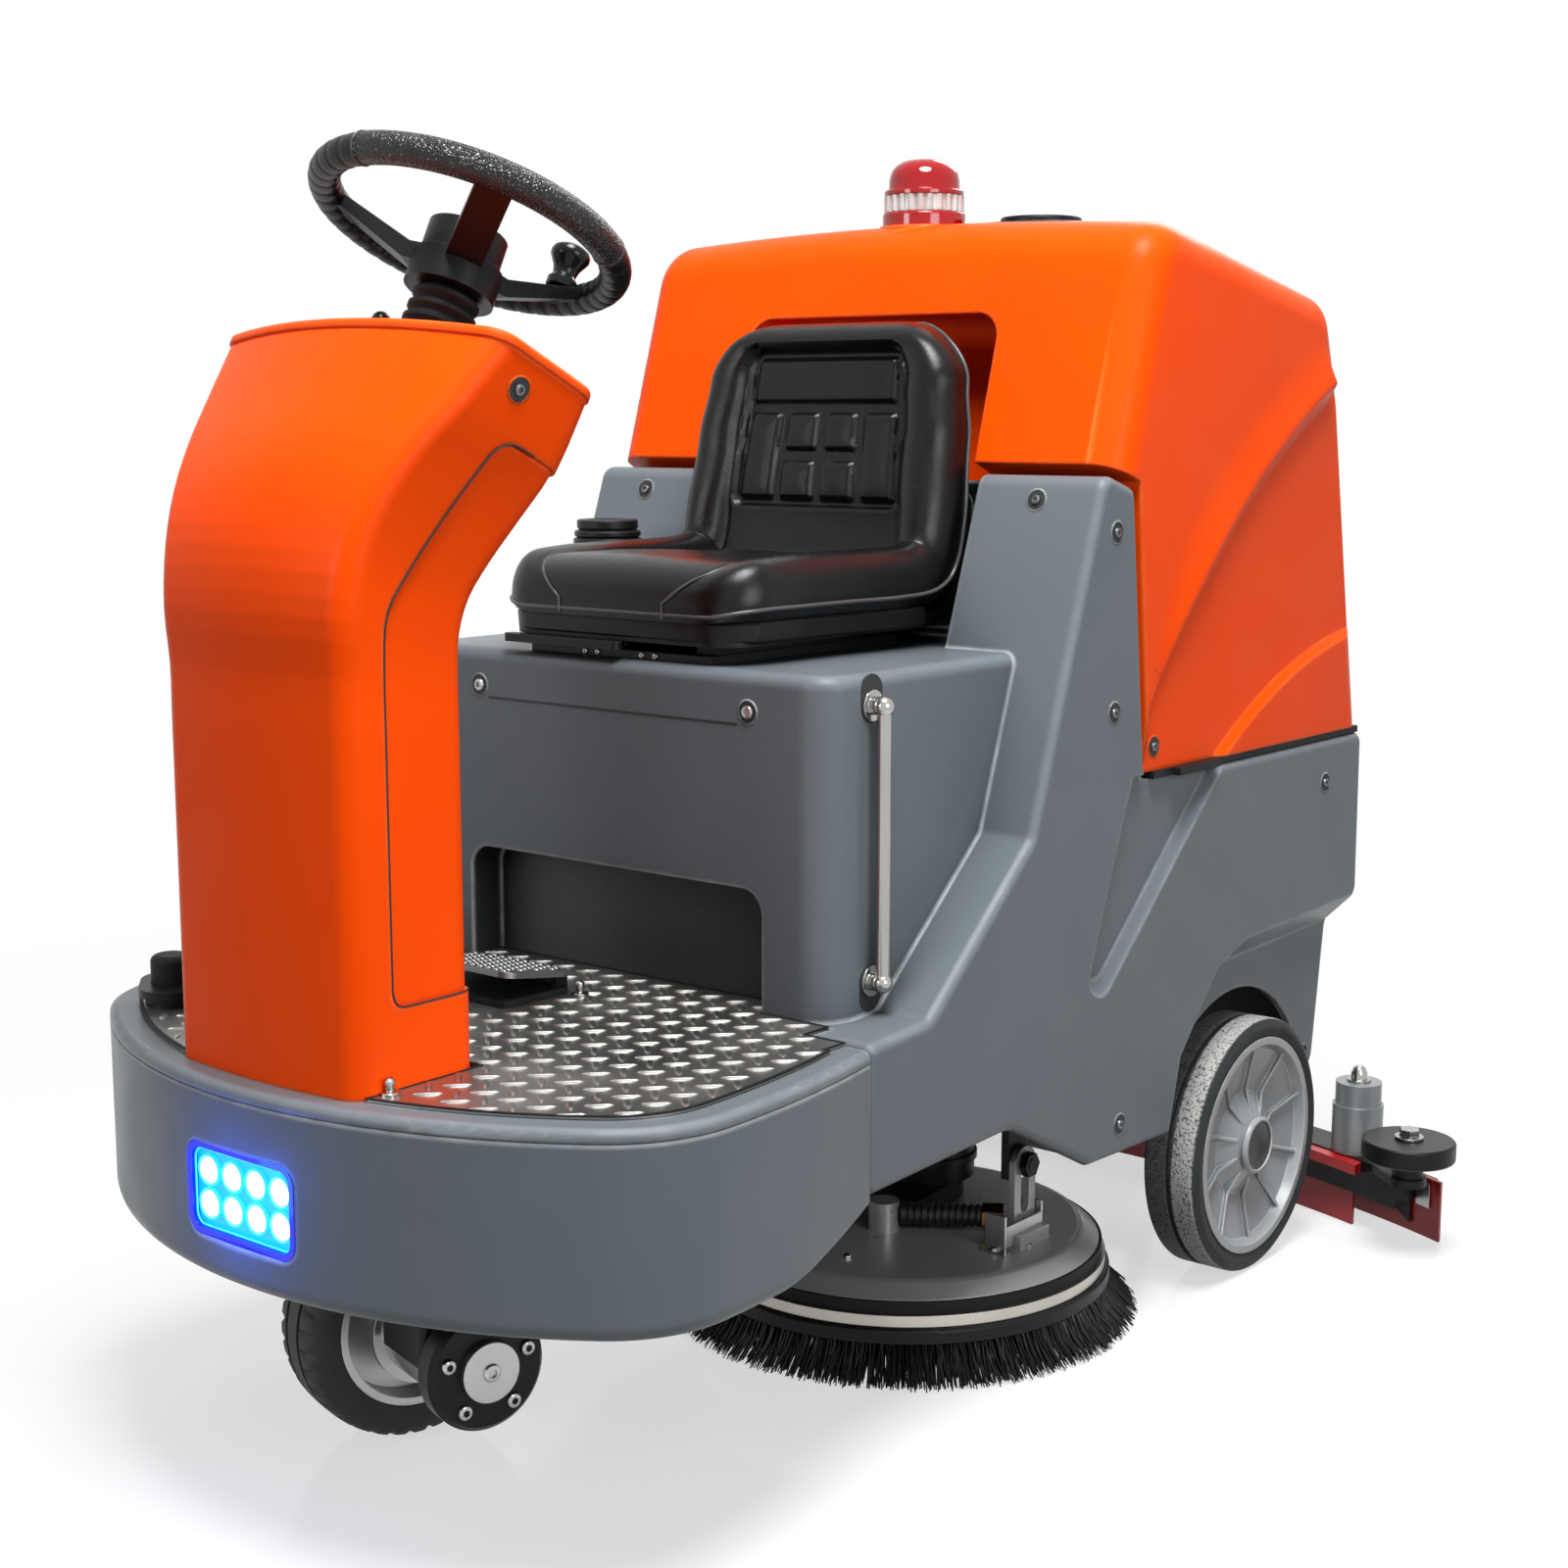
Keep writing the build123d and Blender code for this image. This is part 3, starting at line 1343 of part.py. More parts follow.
# Beacon: base, clear ribbed ring and domed lens
ring_z = beacon_seat + beacon_base_height
dome_z = ring_z + beacon_ring_height
with BuildPart() as beacon_base:
    with BuildSketch(Plane.XY.offset(beacon_seat)):
        with Locations((0, beacon_y)):
            Circle(beacon_radius)
    extrude(amount=beacon_base_height)
    fillet(beacon_base.faces().sort_by(Axis.Z)[-1].edges(), 4)
beacon_base.part.label = "beacon_base"
export_step(beacon_base.part, "parts/beacon_base.step")

with BuildPart() as beacon_ring:
    with BuildSketch(Plane.XY.offset(ring_z)):
        with Locations((0, beacon_y)):
            Circle(beacon_radius - 5)
            with PolarLocations(beacon_radius - 5, 24):
                Circle(3.5)
            Circle(beacon_radius - 5 - beacon_wall, mode=Mode.SUBTRACT)
    extrude(amount=beacon_ring_height)
beacon_ring.part.label = "beacon_ring"
export_step(beacon_ring.part, "parts/beacon_ring.step")

dome_height = beacon_top - dome_z
with BuildPart() as beacon_dome:
    with BuildSketch(Plane.XY.offset(dome_z)):
        with Locations((0, beacon_y)):
            Circle(beacon_radius - 2)
    extrude(amount=dome_height)
    fillet(beacon_dome.faces().sort_by(Axis.Z)[-1].edges(), dome_height - 8)
beacon_dome.part.label = "beacon_dome"
export_step(beacon_dome.part, "parts/beacon_dome.step")

# Seat base with two lower rails
rail_length = 300
with BuildPart() as seat_base:
    with BuildSketch(Plane.XY.offset(seat_box_top)):
        for side in (-1, 1):
            with Locations((side * seat_rail_x, -120)):
                Rectangle(seat_rail_width, rail_length)
        with Locations((0, -255)):
            Rectangle(2 * seat_rail_x, 30)
        with Locations((0, 10)):
            Rectangle(2 * seat_rail_x, 30)
    extrude(amount=seat_rail_height)
seat_base.part.label = "seat_base"
export_step(seat_base.part, "parts/seat_base.step")

# Seat pan: upper rails, floor and back shell
slide_z = seat_box_top + seat_rail_height + seat_gap
back_lean = radians(back_tilt)
back_foot = (back_foot_y, pan_floor + pan_thickness)
back_plane = Plane(
    origin=(0, back_foot[0], back_foot[1]),
    x_dir=(1, 0, 0),
    z_dir=(0, -cos(back_lean), sin(back_lean)),
)
with BuildPart() as seat_pan:
    with BuildSketch(Plane.XY.offset(slide_z)):
        for side in (-1, 1):
            with Locations((side * seat_rail_x, -120)):
                Rectangle(seat_rail_width - 6, rail_length - 30)
    extrude(amount=pan_floor - slide_z)
    with BuildSketch(Plane.XY.offset(pan_floor)):
        add(
            rounded_outline(
                (
                    (-seat_half_front + 14, seat_front + 12, 40),
                    (seat_half_front - 14, seat_front + 12, 40),
                    (seat_half_rear - 30, back_foot[0], 20),
                    (-seat_half_rear + 30, back_foot[0], 20),
                )
            )
        )
    extrude(amount=pan_thickness)
    with BuildSketch(back_plane.offset(-back_shell)):
        with Locations((0, 110)):
            RectangleRounded(2 * (back_half_top - 22), 250, 50)
    extrude(amount=back_shell)
seat_pan.part.label = "seat_pan"
export_step(seat_pan.part, "parts/seat_pan.step")


def cushion_plan(inset):
    """Return the plan of the seat cushion, drawn in by inset."""
    return rounded_outline(
        (
            (-seat_half_front + inset, seat_front + inset, 46),
            (seat_half_front - inset, seat_front + inset, 46),
            (seat_half_rear - inset, seat_rear - inset, 40),
            (-seat_half_rear + inset, seat_rear - inset, 40),
        )
    )


def back_face(inset):
    """Return the outline of the backrest in its own plane, drawn in by inset."""
    height = (back_top - back_foot[1]) / cos(back_lean)
    return rounded_outline(
        (
            (-back_half_wide + 14 + inset, 8 + inset, 40),
            (back_half_wide - 14 - inset, 8 + inset, 40),
            (back_half_wide - inset, 150, 60),
            (back_half_top - inset, height - inset, 62),
            (-back_half_top + inset, height - inset, 62),
            (-back_half_wide + inset, 150, 60),
        )
    )


# Seat cushion: a crowned base and a bolstered back with sewn channels
cushion_floor = pan_floor + pan_thickness + seat_gap
back_gap = back_plane.offset(seat_gap)
back_height = (back_top - back_foot[1]) / cos(back_lean)
with BuildPart() as seat_cushion:
    for height, inset in ((0, 10), (20, 0), (48, 3), (60, 16), (seat_top - cushion_floor, 40)):
        with BuildSketch(Plane.XY.offset(cushion_floor + height)):
            add(cushion_plan(inset))
    loft(ruled=True)
    for depth, inset in ((0, 10), (14, 0), (back_thickness - 14, 4), (back_thickness, 22)):
        with BuildSketch(back_gap.offset(depth)):
            add(back_face(inset))
    loft(ruled=True)
    with BuildSketch(back_gap.offset(back_thickness - channel_depth)):
        with Locations((0, 0.62 * back_height)):
            Rectangle(2 * back_half_top - 60, channel_width)
        with Locations((0, 0.80 * back_height)):
            Rectangle(2 * back_half_top - 60, channel_width)
        with Locations((0, 0.62 * back_height)):
            Rectangle(channel_width, 0.36 * back_height)
        for side in (-1, 1):
            with Locations((side * (back_half_top - 40), 0.62 * back_height)):
                Rectangle(channel_width, 0.56 * back_height)
    extrude(amount=40, mode=Mode.SUBTRACT)
    with BuildSketch(Plane.XY.offset(seat_top - channel_depth)):
        for channel_y in (-190, -110):
            with Locations((0, channel_y)):
                Rectangle(2 * seat_half_front - 130, channel_width)
        for side in (-1, 1):
            with Locations((side * (seat_half_front - 62), -140)):
                Rectangle(channel_width, 200)
    extrude(amount=40, mode=Mode.SUBTRACT)
seat_cushion.part.label = "seat_cushion"
export_step(seat_cushion.part, "parts/seat_cushion.step")

# Seat lever: a flat bar under the front of the pan
with BuildPart() as seat_lever:
    with BuildSketch(Plane.XY.offset(slide_z + 1)):
        with Locations((-66, seat_front + 8)):
            RectangleRounded(160, 14, 6)
        with Locations((-20, seat_front + 26)):
            Rectangle(12, 42)
        with Locations((-20, seat_front + 50)):
            Circle(9)
    extrude(amount=pan_floor - seat_gap - slide_z - 1)
seat_lever.part.label = "seat_lever"
export_step(seat_lever.part, "parts/seat_lever.step")

# Battery pack in the seat box and vacuum motor under the rear roof
with BuildPart() as battery_pack:
    with BuildSketch(Plane.XY.offset(rail_top + tray_thickness)):
        with Locations((0, -110)):
            with GridLocations(108, 122, 4, 2):
                Rectangle(106, 120)
    extrude(amount=260)
battery_pack.part.label = "battery_pack"
export_step(battery_pack.part, "parts/battery_pack.step")

with BuildPart() as vacuum_motor:
    with BuildSketch(Plane.XY.offset(body_rear_top - body_wall)):
        with Locations((0, 300)):
            Circle(85)
    extrude(amount=-14)
    with BuildSketch(Plane.XY.offset(body_rear_top - body_wall - 14)):
        with Locations((0, 300)):
            Circle(70)
    extrude(amount=-110)
vacuum_motor.part.label = "vacuum_motor"
export_step(vacuum_motor.part, "parts/vacuum_motor.step")

# Brush deck: a shallow dome with two slotted upright plates and a water inlet
deck_axis = Axis((brush_x, brush_y, 0), (0, 0, 1))
deck_section = Plane(origin=(brush_x, brush_y, 0), x_dir=(1, 0, 0), z_dir=(0, -1, 0))
slot_width = 2 * (lug_pin_radius + running_gap)
with BuildPart() as brush_deck:
    with BuildSketch(deck_section):
        add(
            rounded_outline(
                (
                    (brush_shaft + 6, deck_top - deck_wall, 0),
                    (deck_radius - 26, deck_top - deck_wall, 6),
                    (deck_radius - deck_wall, deck_edge_z, 0),
                    (deck_radius, deck_edge_z, 0),
                    (deck_radius - 20, deck_top, 14),
                    (brush_shaft + 6, deck_top, 0),
                )
            )
        )
    revolve(axis=deck_axis)
    for plate_x in (lug_x, lug_x - lug_span):
        with BuildSketch(Plane.YZ.offset(plate_x)):
            with Locations((lug_y, (deck_top - 3 + lug_pin_z) / 2)):
                Rectangle(lug_width, lug_pin_z - deck_top + 3)
            with Locations((lug_y, lug_pin_z)):
                Circle(lug_width / 2)
            with Locations((lug_y, lug_pin_z - deck_travel / 2 - 1)):
                SlotOverall(deck_travel + 2 + slot_width, slot_width, rotation=90, mode=Mode.SUBTRACT)
        extrude(amount=lug_thickness / 2, both=True)
        with BuildSketch(Plane.XY.offset(deck_top - 3)):
            with Locations((plate_x, lug_y)):
                Rectangle(36, lug_width + 16)
        extrude(amount=18)
    with BuildSketch(Plane.XY.offset(deck_top - 2)):
        with Locations(hose_left):
            Circle(hose_radius + 4)
    extrude(amount=hose_z + hose_radius + 4 - deck_top)
brush_deck.part.label = "brush_deck"
export_step(brush_deck.part, "parts/brush_deck.step")

# Rubber skirt and steel band under the dome's edge
with BuildPart() as deck_skirt:
    with BuildSketch(Plane.XY.offset(deck_edge_z - skirt_height)):
        with Locations((brush_x, brush_y)):
            Circle(skirt_radius)
            Circle(deck_radius - deck_wall, mode=Mode.SUBTRACT)
    extrude(amount=skirt_height)
deck_skirt.part.label = "deck_skirt"
export_step(deck_skirt.part, "parts/deck_skirt.step")

with BuildPart() as deck_band:
    with BuildSketch(Plane.XY.offset(deck_edge_z - skirt_height - band_height + swing_gap)):
        with Locations((brush_x, brush_y)):
            Circle(band_radius)
            Circle(deck_radius - deck_wall - 2, mode=Mode.SUBTRACT)
    extrude(amount=band_height - swing_gap)
deck_band.part.label = "deck_band"
export_step(deck_band.part, "parts/deck_band.step")

# Gear motor on the deck with its output shaft
with BuildPart() as brush_motor:
    with BuildSketch(Plane.XY.offset(deck_top)):
        with Locations((brush_x, brush_y)):
            Circle(gearbox_radius)
        with Locations((motor_x, motor_y)):
            Circle(brush_motor_radius - 12)
        make_hull()
    extrude(amount=gearbox_height)
    with BuildSketch(Plane.XY.offset(deck_top + gearbox_height)):
        with Locations((motor_x, motor_y)):
            Circle(brush_motor_radius)
    extrude(amount=brush_motor_top - deck_top - gearbox_height)
    for ring_base in (deck_top + gearbox_height + 20, brush_motor_top - 40):
        with BuildSketch(Plane.XY.offset(ring_base)):
            with Locations((motor_x, motor_y)):
                Circle(brush_motor_radius + 3)
        extrude(amount=8)
    with BuildSketch(Plane.XY.offset(block_bottom + 4)):
        with Locations((brush_x, brush_y)):
            Circle(brush_shaft)
    extrude(amount=deck_top - block_bottom)
brush_motor.part.label = "brush_motor"
export_step(brush_motor.part, "parts/brush_motor.step")

# Ribbed water hose, straight from the fitting to the inlet
hose_run = Vector(hose_left[0] - hose_right[0], hose_left[1] - hose_right[1], 0)
hose_start = Plane(
    origin=(hose_right[0], hose_right[1], hose_z), x_dir=(0, 0, 1), z_dir=hose_run.normalized()
)
hose_length = hose_run.length - hose_radius - 4 - seat_gap
rib_pitch = hose_length / hose_ribs
with BuildPart() as deck_hose:
    for rib in range(hose_ribs):
        for share, radius in (
            (0.0, hose_radius - hose_rib),
            (0.3, hose_radius),
            (0.6, hose_radius),
            (0.9, hose_radius - hose_rib),
        ):
            with BuildSketch(hose_start.offset((rib + share) * rib_pitch)):
                Circle(radius)
    loft(ruled=True)
    with BuildSketch(hose_start.offset(-1)):
        Circle(hose_bore)
    extrude(amount=hose_length + 2, mode=Mode.SUBTRACT)
deck_hose.part.label = "deck_hose"
export_step(deck_hose.part, "parts/deck_hose.step")

# Brass fitting at the hose's right end: a barb, a hexagon and a foot on the deck
fitting_foot = hose_start.offset(-12).origin
with BuildPart() as hose_fitting:
    with BuildSketch(hose_start.offset(-24)):
        Circle(hose_bore - seat_gap)
    extrude(amount=36)
    with BuildSketch(hose_start.offset(-24)):
        RegularPolygon(hose_radius + 2, 6)
    extrude(amount=24 - seat_gap)
    with BuildSketch(Plane.XY.offset(deck_top)):
        with Locations((fitting_foot.X, fitting_foot.Y)):
            Circle(9)
    extrude(amount=hose_z - deck_top)
hose_fitting.part.label = "hose_fitting"
export_step(hose_fitting.part, "parts/hose_fitting.step")

# Brush block: a disc with a hub on the motor's shaft
with BuildPart() as brush_block:
    with BuildSketch(Plane.XY.offset(block_bottom)):
        with Locations((brush_x, brush_y)):
            Circle(brush_radius)
    extrude(amount=block_height)
    fillet(brush_block.faces().sort_by(Axis.Z)[-1].edges(), 4)
    with BuildSketch(Plane.XY.offset(block_bottom + block_height - 1)):
        with Locations((brush_x, brush_y)):
            Circle(brush_shaft + 14)
    extrude(amount=14)
    with BuildSketch(Plane.XY.offset(block_bottom + 3)):
        with Locations((brush_x, brush_y)):
            Circle(brush_shaft + running_gap)
    extrude(amount=60, mode=Mode.SUBTRACT)
brush_block.part.label = "brush_block"
export_step(brush_block.part, "parts/brush_block.step")

# Bristles: four rings of three-sided strands that flare outward, fused to a slice of backing
strand_radius = 2.6
strand_slice = 3
strand_rings = ((226, bristle_reach, 130), (206, 242, 110), (186, 214, 90), (166, 186, 70))


def strand(angle, base_radius, tip_radius):
    """Return one three-sided bristle from the backing to its flared tip."""
    turn = radians(angle)
    reach = tip_radius - base_radius
    foot = Plane(
        origin=(brush_x + base_radius * cos(turn), brush_y + base_radius * sin(turn), block_bottom - 1),
        x_dir=(cos(turn), sin(turn), 0),
        z_dir=(0, 0, 1),
    )
    with BuildSketch(foot) as triangle:
        RegularPolygon(strand_radius, 3)
    fall = bristle_foot - block_bottom + 1
    return Solid.extrude(triangle.sketch.face(), Vector(reach * cos(turn), reach * sin(turn), fall))


strands = []
for base_radius, tip_radius, count in strand_rings:
    for index in range(count):
        strands.append(strand(360 * index / count, base_radius, tip_radius))
with BuildPart() as brush_bristles:
    with BuildSketch(Plane.XY.offset(block_bottom - strand_slice)):
        with Locations((brush_x, brush_y)):
            Circle(brush_radius - 2)
            Circle(strand_rings[-1][0] - 8, mode=Mode.SUBTRACT)
    extrude(amount=strand_slice)
    add(strands)
brush_bristles.part.label = "brush_bristles"
export_step(brush_bristles.part, "parts/brush_bristles.step")

# Rear wheels: tyres with a centre groove and dished, ribbed rims
for side, name in ((1, "left"), (-1, "right")):
    outer = side * rear_wheel_outer
    inner = side * (rear_wheel_outer - rear_wheel_width)
    groove = (outer + inner) / 2
    with BuildPart() as tyre:
        with BuildSketch(wheel_section):
            add(
                rounded_outline(
                    (
                        (outer - side * 4, rear_rim_radius + seat_gap, 0),
                        (outer, rear_wheel_radius - 10, 6),
                        (outer - side * 6, rear_wheel_radius, 5),
                        (groove + side * 3, rear_wheel_radius, 1.5),
                        (groove + side * 3, rear_wheel_radius - 6, 0),
                        (groove - side * 3, rear_wheel_radius - 6, 0),
                        (groove - side * 3, rear_wheel_radius, 1.5),
                        (inner + side * 6, rear_wheel_radius, 5),
                        (inner, rear_wheel_radius - 10, 6),
                        (inner + side * 4, rear_rim_radius + seat_gap, 0),
                    )
                )
            )
        revolve(axis=wheel_axis)
    tyre.part.label = name + "_tyre"
    export_step(tyre.part, "parts/" + name + "_tyre.step")

    with BuildPart() as rim:
        with BuildSketch(wheel_section):
            with BuildLine():
                Polyline(
                    (outer - side * 2, rear_rim_radius),
                    (outer - side * 2, rear_rim_radius - 9),
                    (outer - side * 14, rear_rim_radius - 14),
                    (outer - side * 24, hub_cap_radius + 30),
                    (outer - side * 12, hub_cap_radius + 7),
                    (outer - side * 8, hub_cap_radius),
                    (outer - side * 2, hub_cap_radius - 4),
                    (outer - side * 2, 0),
                    (outer - side * 12, 0),
                    (outer - side * 12, rear_axle_radius + running_gap),
                    (inner + side * 2, rear_axle_radius + running_gap),
                    (inner + side * 2, 30),
                    (outer - side * 34, 36),
                    (outer - side * 34, rear_rim_radius - 24),
                    (inner + side * 4, rear_rim_radius - 8),
                    (inner + side * 4, rear_rim_radius),
                    close=True,
                )
            make_face()
        revolve(axis=wheel_axis)
        for index in range(rim_ribs):
            turned = wheel_section.rotated((360 * index / rim_ribs, 0, 0))
            with BuildSketch(turned):
                with BuildLine():
                    Polyline(
                        (outer - side * 26, hub_cap_radius + 4),
                        (outer - side * 10, hub_cap_radius + 4),
                        (outer - side * 18, hub_cap_radius + 34),
                        (outer - side * 8, rear_rim_radius - 12),
                        (outer - side * 26, rear_rim_radius - 12),
                        close=True,
                    )
                make_face()
            extrude(amount=2, both=True)
    rim.part.label = name + "_rim"
    export_step(rim.part, "parts/" + name + "_rim.step")

# Squeegee frame: curved beam, two lift arms, suction spigot and roller brackets with pins
beam_outer = squeegee_radius - 8
beam_inner = beam_outer - squeegee_depth
beam_mid_y = squeegee_centre_y + (beam_inner + beam_outer) / 2
end_y = squeegee_centre_y + sqrt(beam_inner**2 - squeegee_frame_span**2)
with BuildPart() as squeegee_frame:
    with BuildSketch(Plane.XY.offset(squeegee_bottom)):
        add(squeegee_band(beam_inner, beam_outer, squeegee_frame_span))
    extrude(amount=squeegee_top - squeegee_bottom)
    for side in (-1, 1):
        arm_x = side * (arm_gap + arm_width / 2)
        with BuildSketch(Plane.YZ.offset(arm_x)):
            with BuildLine():
                Polyline(
                    (arm_pivot_y, arm_pivot_z + 18),
                    (beam_mid_y - 40, arm_pivot_z + 8),
                    (beam_mid_y + 16, squeegee_top - 4),
                    (beam_mid_y - 20, squeegee_top - 4),
                    (beam_mid_y - 64, arm_pivot_z - 30),
                    (arm_pivot_y, arm_pivot_z - 18),
                    close=True,
                )
            make_face()
            with Locations((arm_pivot_y, arm_pivot_z)):
                Circle(18)
                Circle(arm_pin_radius + running_gap, mode=Mode.SUBTRACT)
        extrude(amount=arm_width / 2, both=True)
        with BuildSketch(Plane.XY.offset(squeegee_top - 4)):
            with Locations((side * (squeegee_frame_span - 14), end_y + 14)):
                Circle(22)
            with Locations((side * roller_x, roller_y)):
                Circle(22)
            make_hull()
        extrude(amount=10)
        with BuildSketch(Plane.XY.offset(squeegee_top)):
            with Locations((side * roller_x, roller_y)):
                Circle(18)
        extrude(amount=roller_bottom - swing_gap - squeegee_top)
        with BuildSketch(Plane.XY.offset(squeegee_top)):
            with Locations((side * roller_x, roller_y)):
                Circle(roller_pin_radius)
        extrude(amount=roller_bottom + roller_height + 6 - squeegee_top)
        with BuildSketch(Plane.XY.offset(roller_bottom + roller_height + swing_gap)):
            with Locations((side * roller_x, roller_y)):
                Circle(16)
        extrude(amount=3)
        with BuildSketch(Plane.XY.offset(roller_bottom + roller_height + swing_gap + 3)):
            with Locations((side * roller_x, roller_y)):
                RegularPolygon(11, 6)
        extrude(amount=9)
    with BuildSketch(Plane.XY.offset(squeegee_top - 4)):
        with Locations((0, beam_mid_y)):
            Circle(spigot_radius)
    extrude(amount=spigot_height)
    with BuildSketch(Plane.XY.offset(squeegee_bottom)):
        with Locations((0, beam_mid_y)):
            Circle(spigot_bore)
    extrude(amount=spigot_height + 60, mode=Mode.SUBTRACT)
squeegee_frame.part.label = "squeegee_frame"
export_step(squeegee_frame.part, "parts/squeegee_frame.step")

# Front blade under the beam, rear blade with its clamp, and the strip along the beam's front edge
front_face = beam_inner - seat_gap
rear_face = beam_outer + seat_gap
with BuildPart() as squeegee_blades:
    with BuildSketch(Plane.XY.offset(blade_foot)):
        add(squeegee_band(beam_inner + 6, beam_inner + 6 + blade_thickness, front_blade_span))
    extrude(amount=squeegee_bottom - seat_gap - blade_foot)
    with BuildSketch(Plane.XY.offset(blade_foot)):
        add(squeegee_band(rear_face, rear_face + blade_thickness, squeegee_half_span))
    extrude(amount=rear_blade_top - blade_foot)
    clamp_inner = rear_face + blade_thickness + seat_gap
    with BuildSketch(Plane.XY.offset(squeegee_bottom)):
        add(squeegee_band(clamp_inner, clamp_inner + 4, squeegee_half_span - 10))
    extrude(amount=rear_blade_top - squeegee_bottom)
    with BuildSketch(Plane.XY.offset(squeegee_top - strip_drop - strip_height)):
        add(squeegee_band(front_face - strip_depth, front_face, strip_half_span))
    extrude(amount=strip_height)
squeegee_blades.part.label = "squeegee_blades"
export_step(squeegee_blades.part, "parts/squeegee_blades.step")

# Posts on the beam with a collar, a washer and an acorn nut
post_y = squeegee_centre_y + sqrt((beam_outer - squeegee_depth / 2) ** 2 - post_x**2)
with BuildPart() as squeegee_posts:
    for side in (-1, 1):
        for base, height, radius in (
            (0, post_height - post_cap, post_radius + 3),
            (post_height - post_cap, post_cap, post_radius),
            (post_height, 3, 14),
            (post_height + 3, 8, 9),
        ):
            with BuildSketch(Plane.XY.offset(squeegee_top + base)):
                with Locations((side * post_x, post_y)):
                    Circle(radius)
            extrude(amount=height)
        with Locations((side * post_x, post_y, squeegee_top + post_height + 11)):
            Sphere(8)
squeegee_posts.part.label = "squeegee_posts"
export_step(squeegee_posts.part, "parts/squeegee_posts.step")

# Wall rollers at both ends of the squeegee
for side, name in ((1, "left"), (-1, "right")):
    with BuildPart() as roller:
        with BuildSketch(Plane.XY.offset(roller_bottom)):
            with Locations((side * roller_x, roller_y)):
                Circle(roller_radius)
        extrude(amount=roller_height)
        fillet(roller.edges(), 4)
        with BuildSketch(Plane.XY.offset(roller_bottom - 1)):
            with Locations((side * roller_x, roller_y)):
                Circle(roller_pin_radius + running_gap)
        extrude(amount=roller_height + 2, mode=Mode.SUBTRACT)
    roller.part.label = name + "_roller"
    export_step(roller.part, "parts/" + name + "_roller.step")
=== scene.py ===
"""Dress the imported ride-on floor scrubber with finishes, soft parts and fine detail.

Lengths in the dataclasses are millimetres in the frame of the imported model, and metres in Studio. The
machine looks toward -Y, +X is the operator's left and +Z is up. Meshes are made in metres.
"""

from __future__ import annotations

import logging
import math
import random
from dataclasses import dataclass, field
from enum import Enum
from typing import Sequence, Union

import bpy
from mathutils import Matrix, Vector
from mathutils.bvhtree import BVHTree

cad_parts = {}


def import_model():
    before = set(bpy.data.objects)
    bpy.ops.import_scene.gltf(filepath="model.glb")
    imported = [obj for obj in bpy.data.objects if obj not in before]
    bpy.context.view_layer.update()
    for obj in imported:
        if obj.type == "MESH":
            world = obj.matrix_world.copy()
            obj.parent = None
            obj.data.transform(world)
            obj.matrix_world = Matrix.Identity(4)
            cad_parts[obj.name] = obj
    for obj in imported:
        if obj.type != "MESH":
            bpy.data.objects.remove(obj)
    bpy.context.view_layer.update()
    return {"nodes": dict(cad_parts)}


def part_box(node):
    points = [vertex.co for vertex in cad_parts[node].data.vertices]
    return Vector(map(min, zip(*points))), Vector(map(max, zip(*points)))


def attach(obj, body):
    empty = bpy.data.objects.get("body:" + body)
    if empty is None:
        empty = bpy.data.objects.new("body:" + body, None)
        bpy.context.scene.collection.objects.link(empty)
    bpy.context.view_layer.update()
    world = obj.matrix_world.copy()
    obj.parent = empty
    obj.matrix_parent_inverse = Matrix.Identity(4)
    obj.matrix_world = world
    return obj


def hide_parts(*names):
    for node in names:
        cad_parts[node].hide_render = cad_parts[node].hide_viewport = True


LOG = logging.getLogger("scrubber")
MM = 0.001

# Lines that look for a side of the machine start this far from its middle plane
OUTSIDE = 500.0
COAT_ROUGHNESS = 0.12
# The part of a noise pattern's range that is in use
DRIFT_SPAN = (0.3, 0.7)
# Cosine of the bend where an edge's paler colour, wear and painted highlight, starts and where it is full
EDGE_BEND = (0.995, 0.92)
# Strength of the edges' paler colour, wear and painted highlight, before patches break it up
EDGE_WEAR_AND_HIGHLIGHT = 1.1
WEAR_AND_HIGHLIGHT_PATCH_MM = 24.0
# Share of open sky where the shade painted into a hollow is darkest and where it ends, and the darkest level
PAINTED_SHADE_SPAN = (0.2, 0.6)
PAINTED_SHADE_LEVEL = 0.08
# Brushing draws the grain out along X
STREAK = (0.03, 1.0, 1.0)
# Distance from the edge of a hide cell, as a share of it, where the relief is full
VALLEY = 0.35

Setting = Union[float, int, tuple, bpy.types.NodeSocket]
Outline = Sequence[tuple[float, float]]
Nodes = dict[str, bpy.types.Object]


def linear(code: str) -> tuple[float, float, float, float]:
    """Turn an sRGB hex colour into linear RGBA.

    Args:
        code: a colour such as "#F0541A".

    Returns:
        Linear red, green and blue with an alpha of 1.
    """
    levels = [int(code[place : place + 2], 16) / 255 for place in (1, 3, 5)]
    red, green, blue = (
        level / 12.92 if level <= 0.04045 else ((level + 0.055) / 1.055) ** 2.4 for level in levels
    )
    return red, green, blue, 1.0


def add_node(
    tree: bpy.types.NodeTree, kind: str, inputs: dict[Union[str, int], Setting], **settings: object
) -> bpy.types.Node:
    """Add one node with its settings and links.

    Args:
        tree: the node tree that takes the node.
        kind: the node's type name.
        inputs: socket name or number, with a value or the socket that feeds it.
        **settings: attributes of the node itself.

    Returns:
        The new node.
    """
    node = tree.nodes.new(kind)
    for key, value in settings.items():
        setattr(node, key, value)
    for key, value in inputs.items():
        socket = node.inputs[key]
        if isinstance(value, bpy.types.NodeSocket):
            tree.links.new(value, socket)
        else:
            socket.default_value = value
    return node


def per_mm(size: float) -> float:
    """Return the texture scale, per metre, that gives features of size millimetres."""
    return 1.0 / (size * MM)


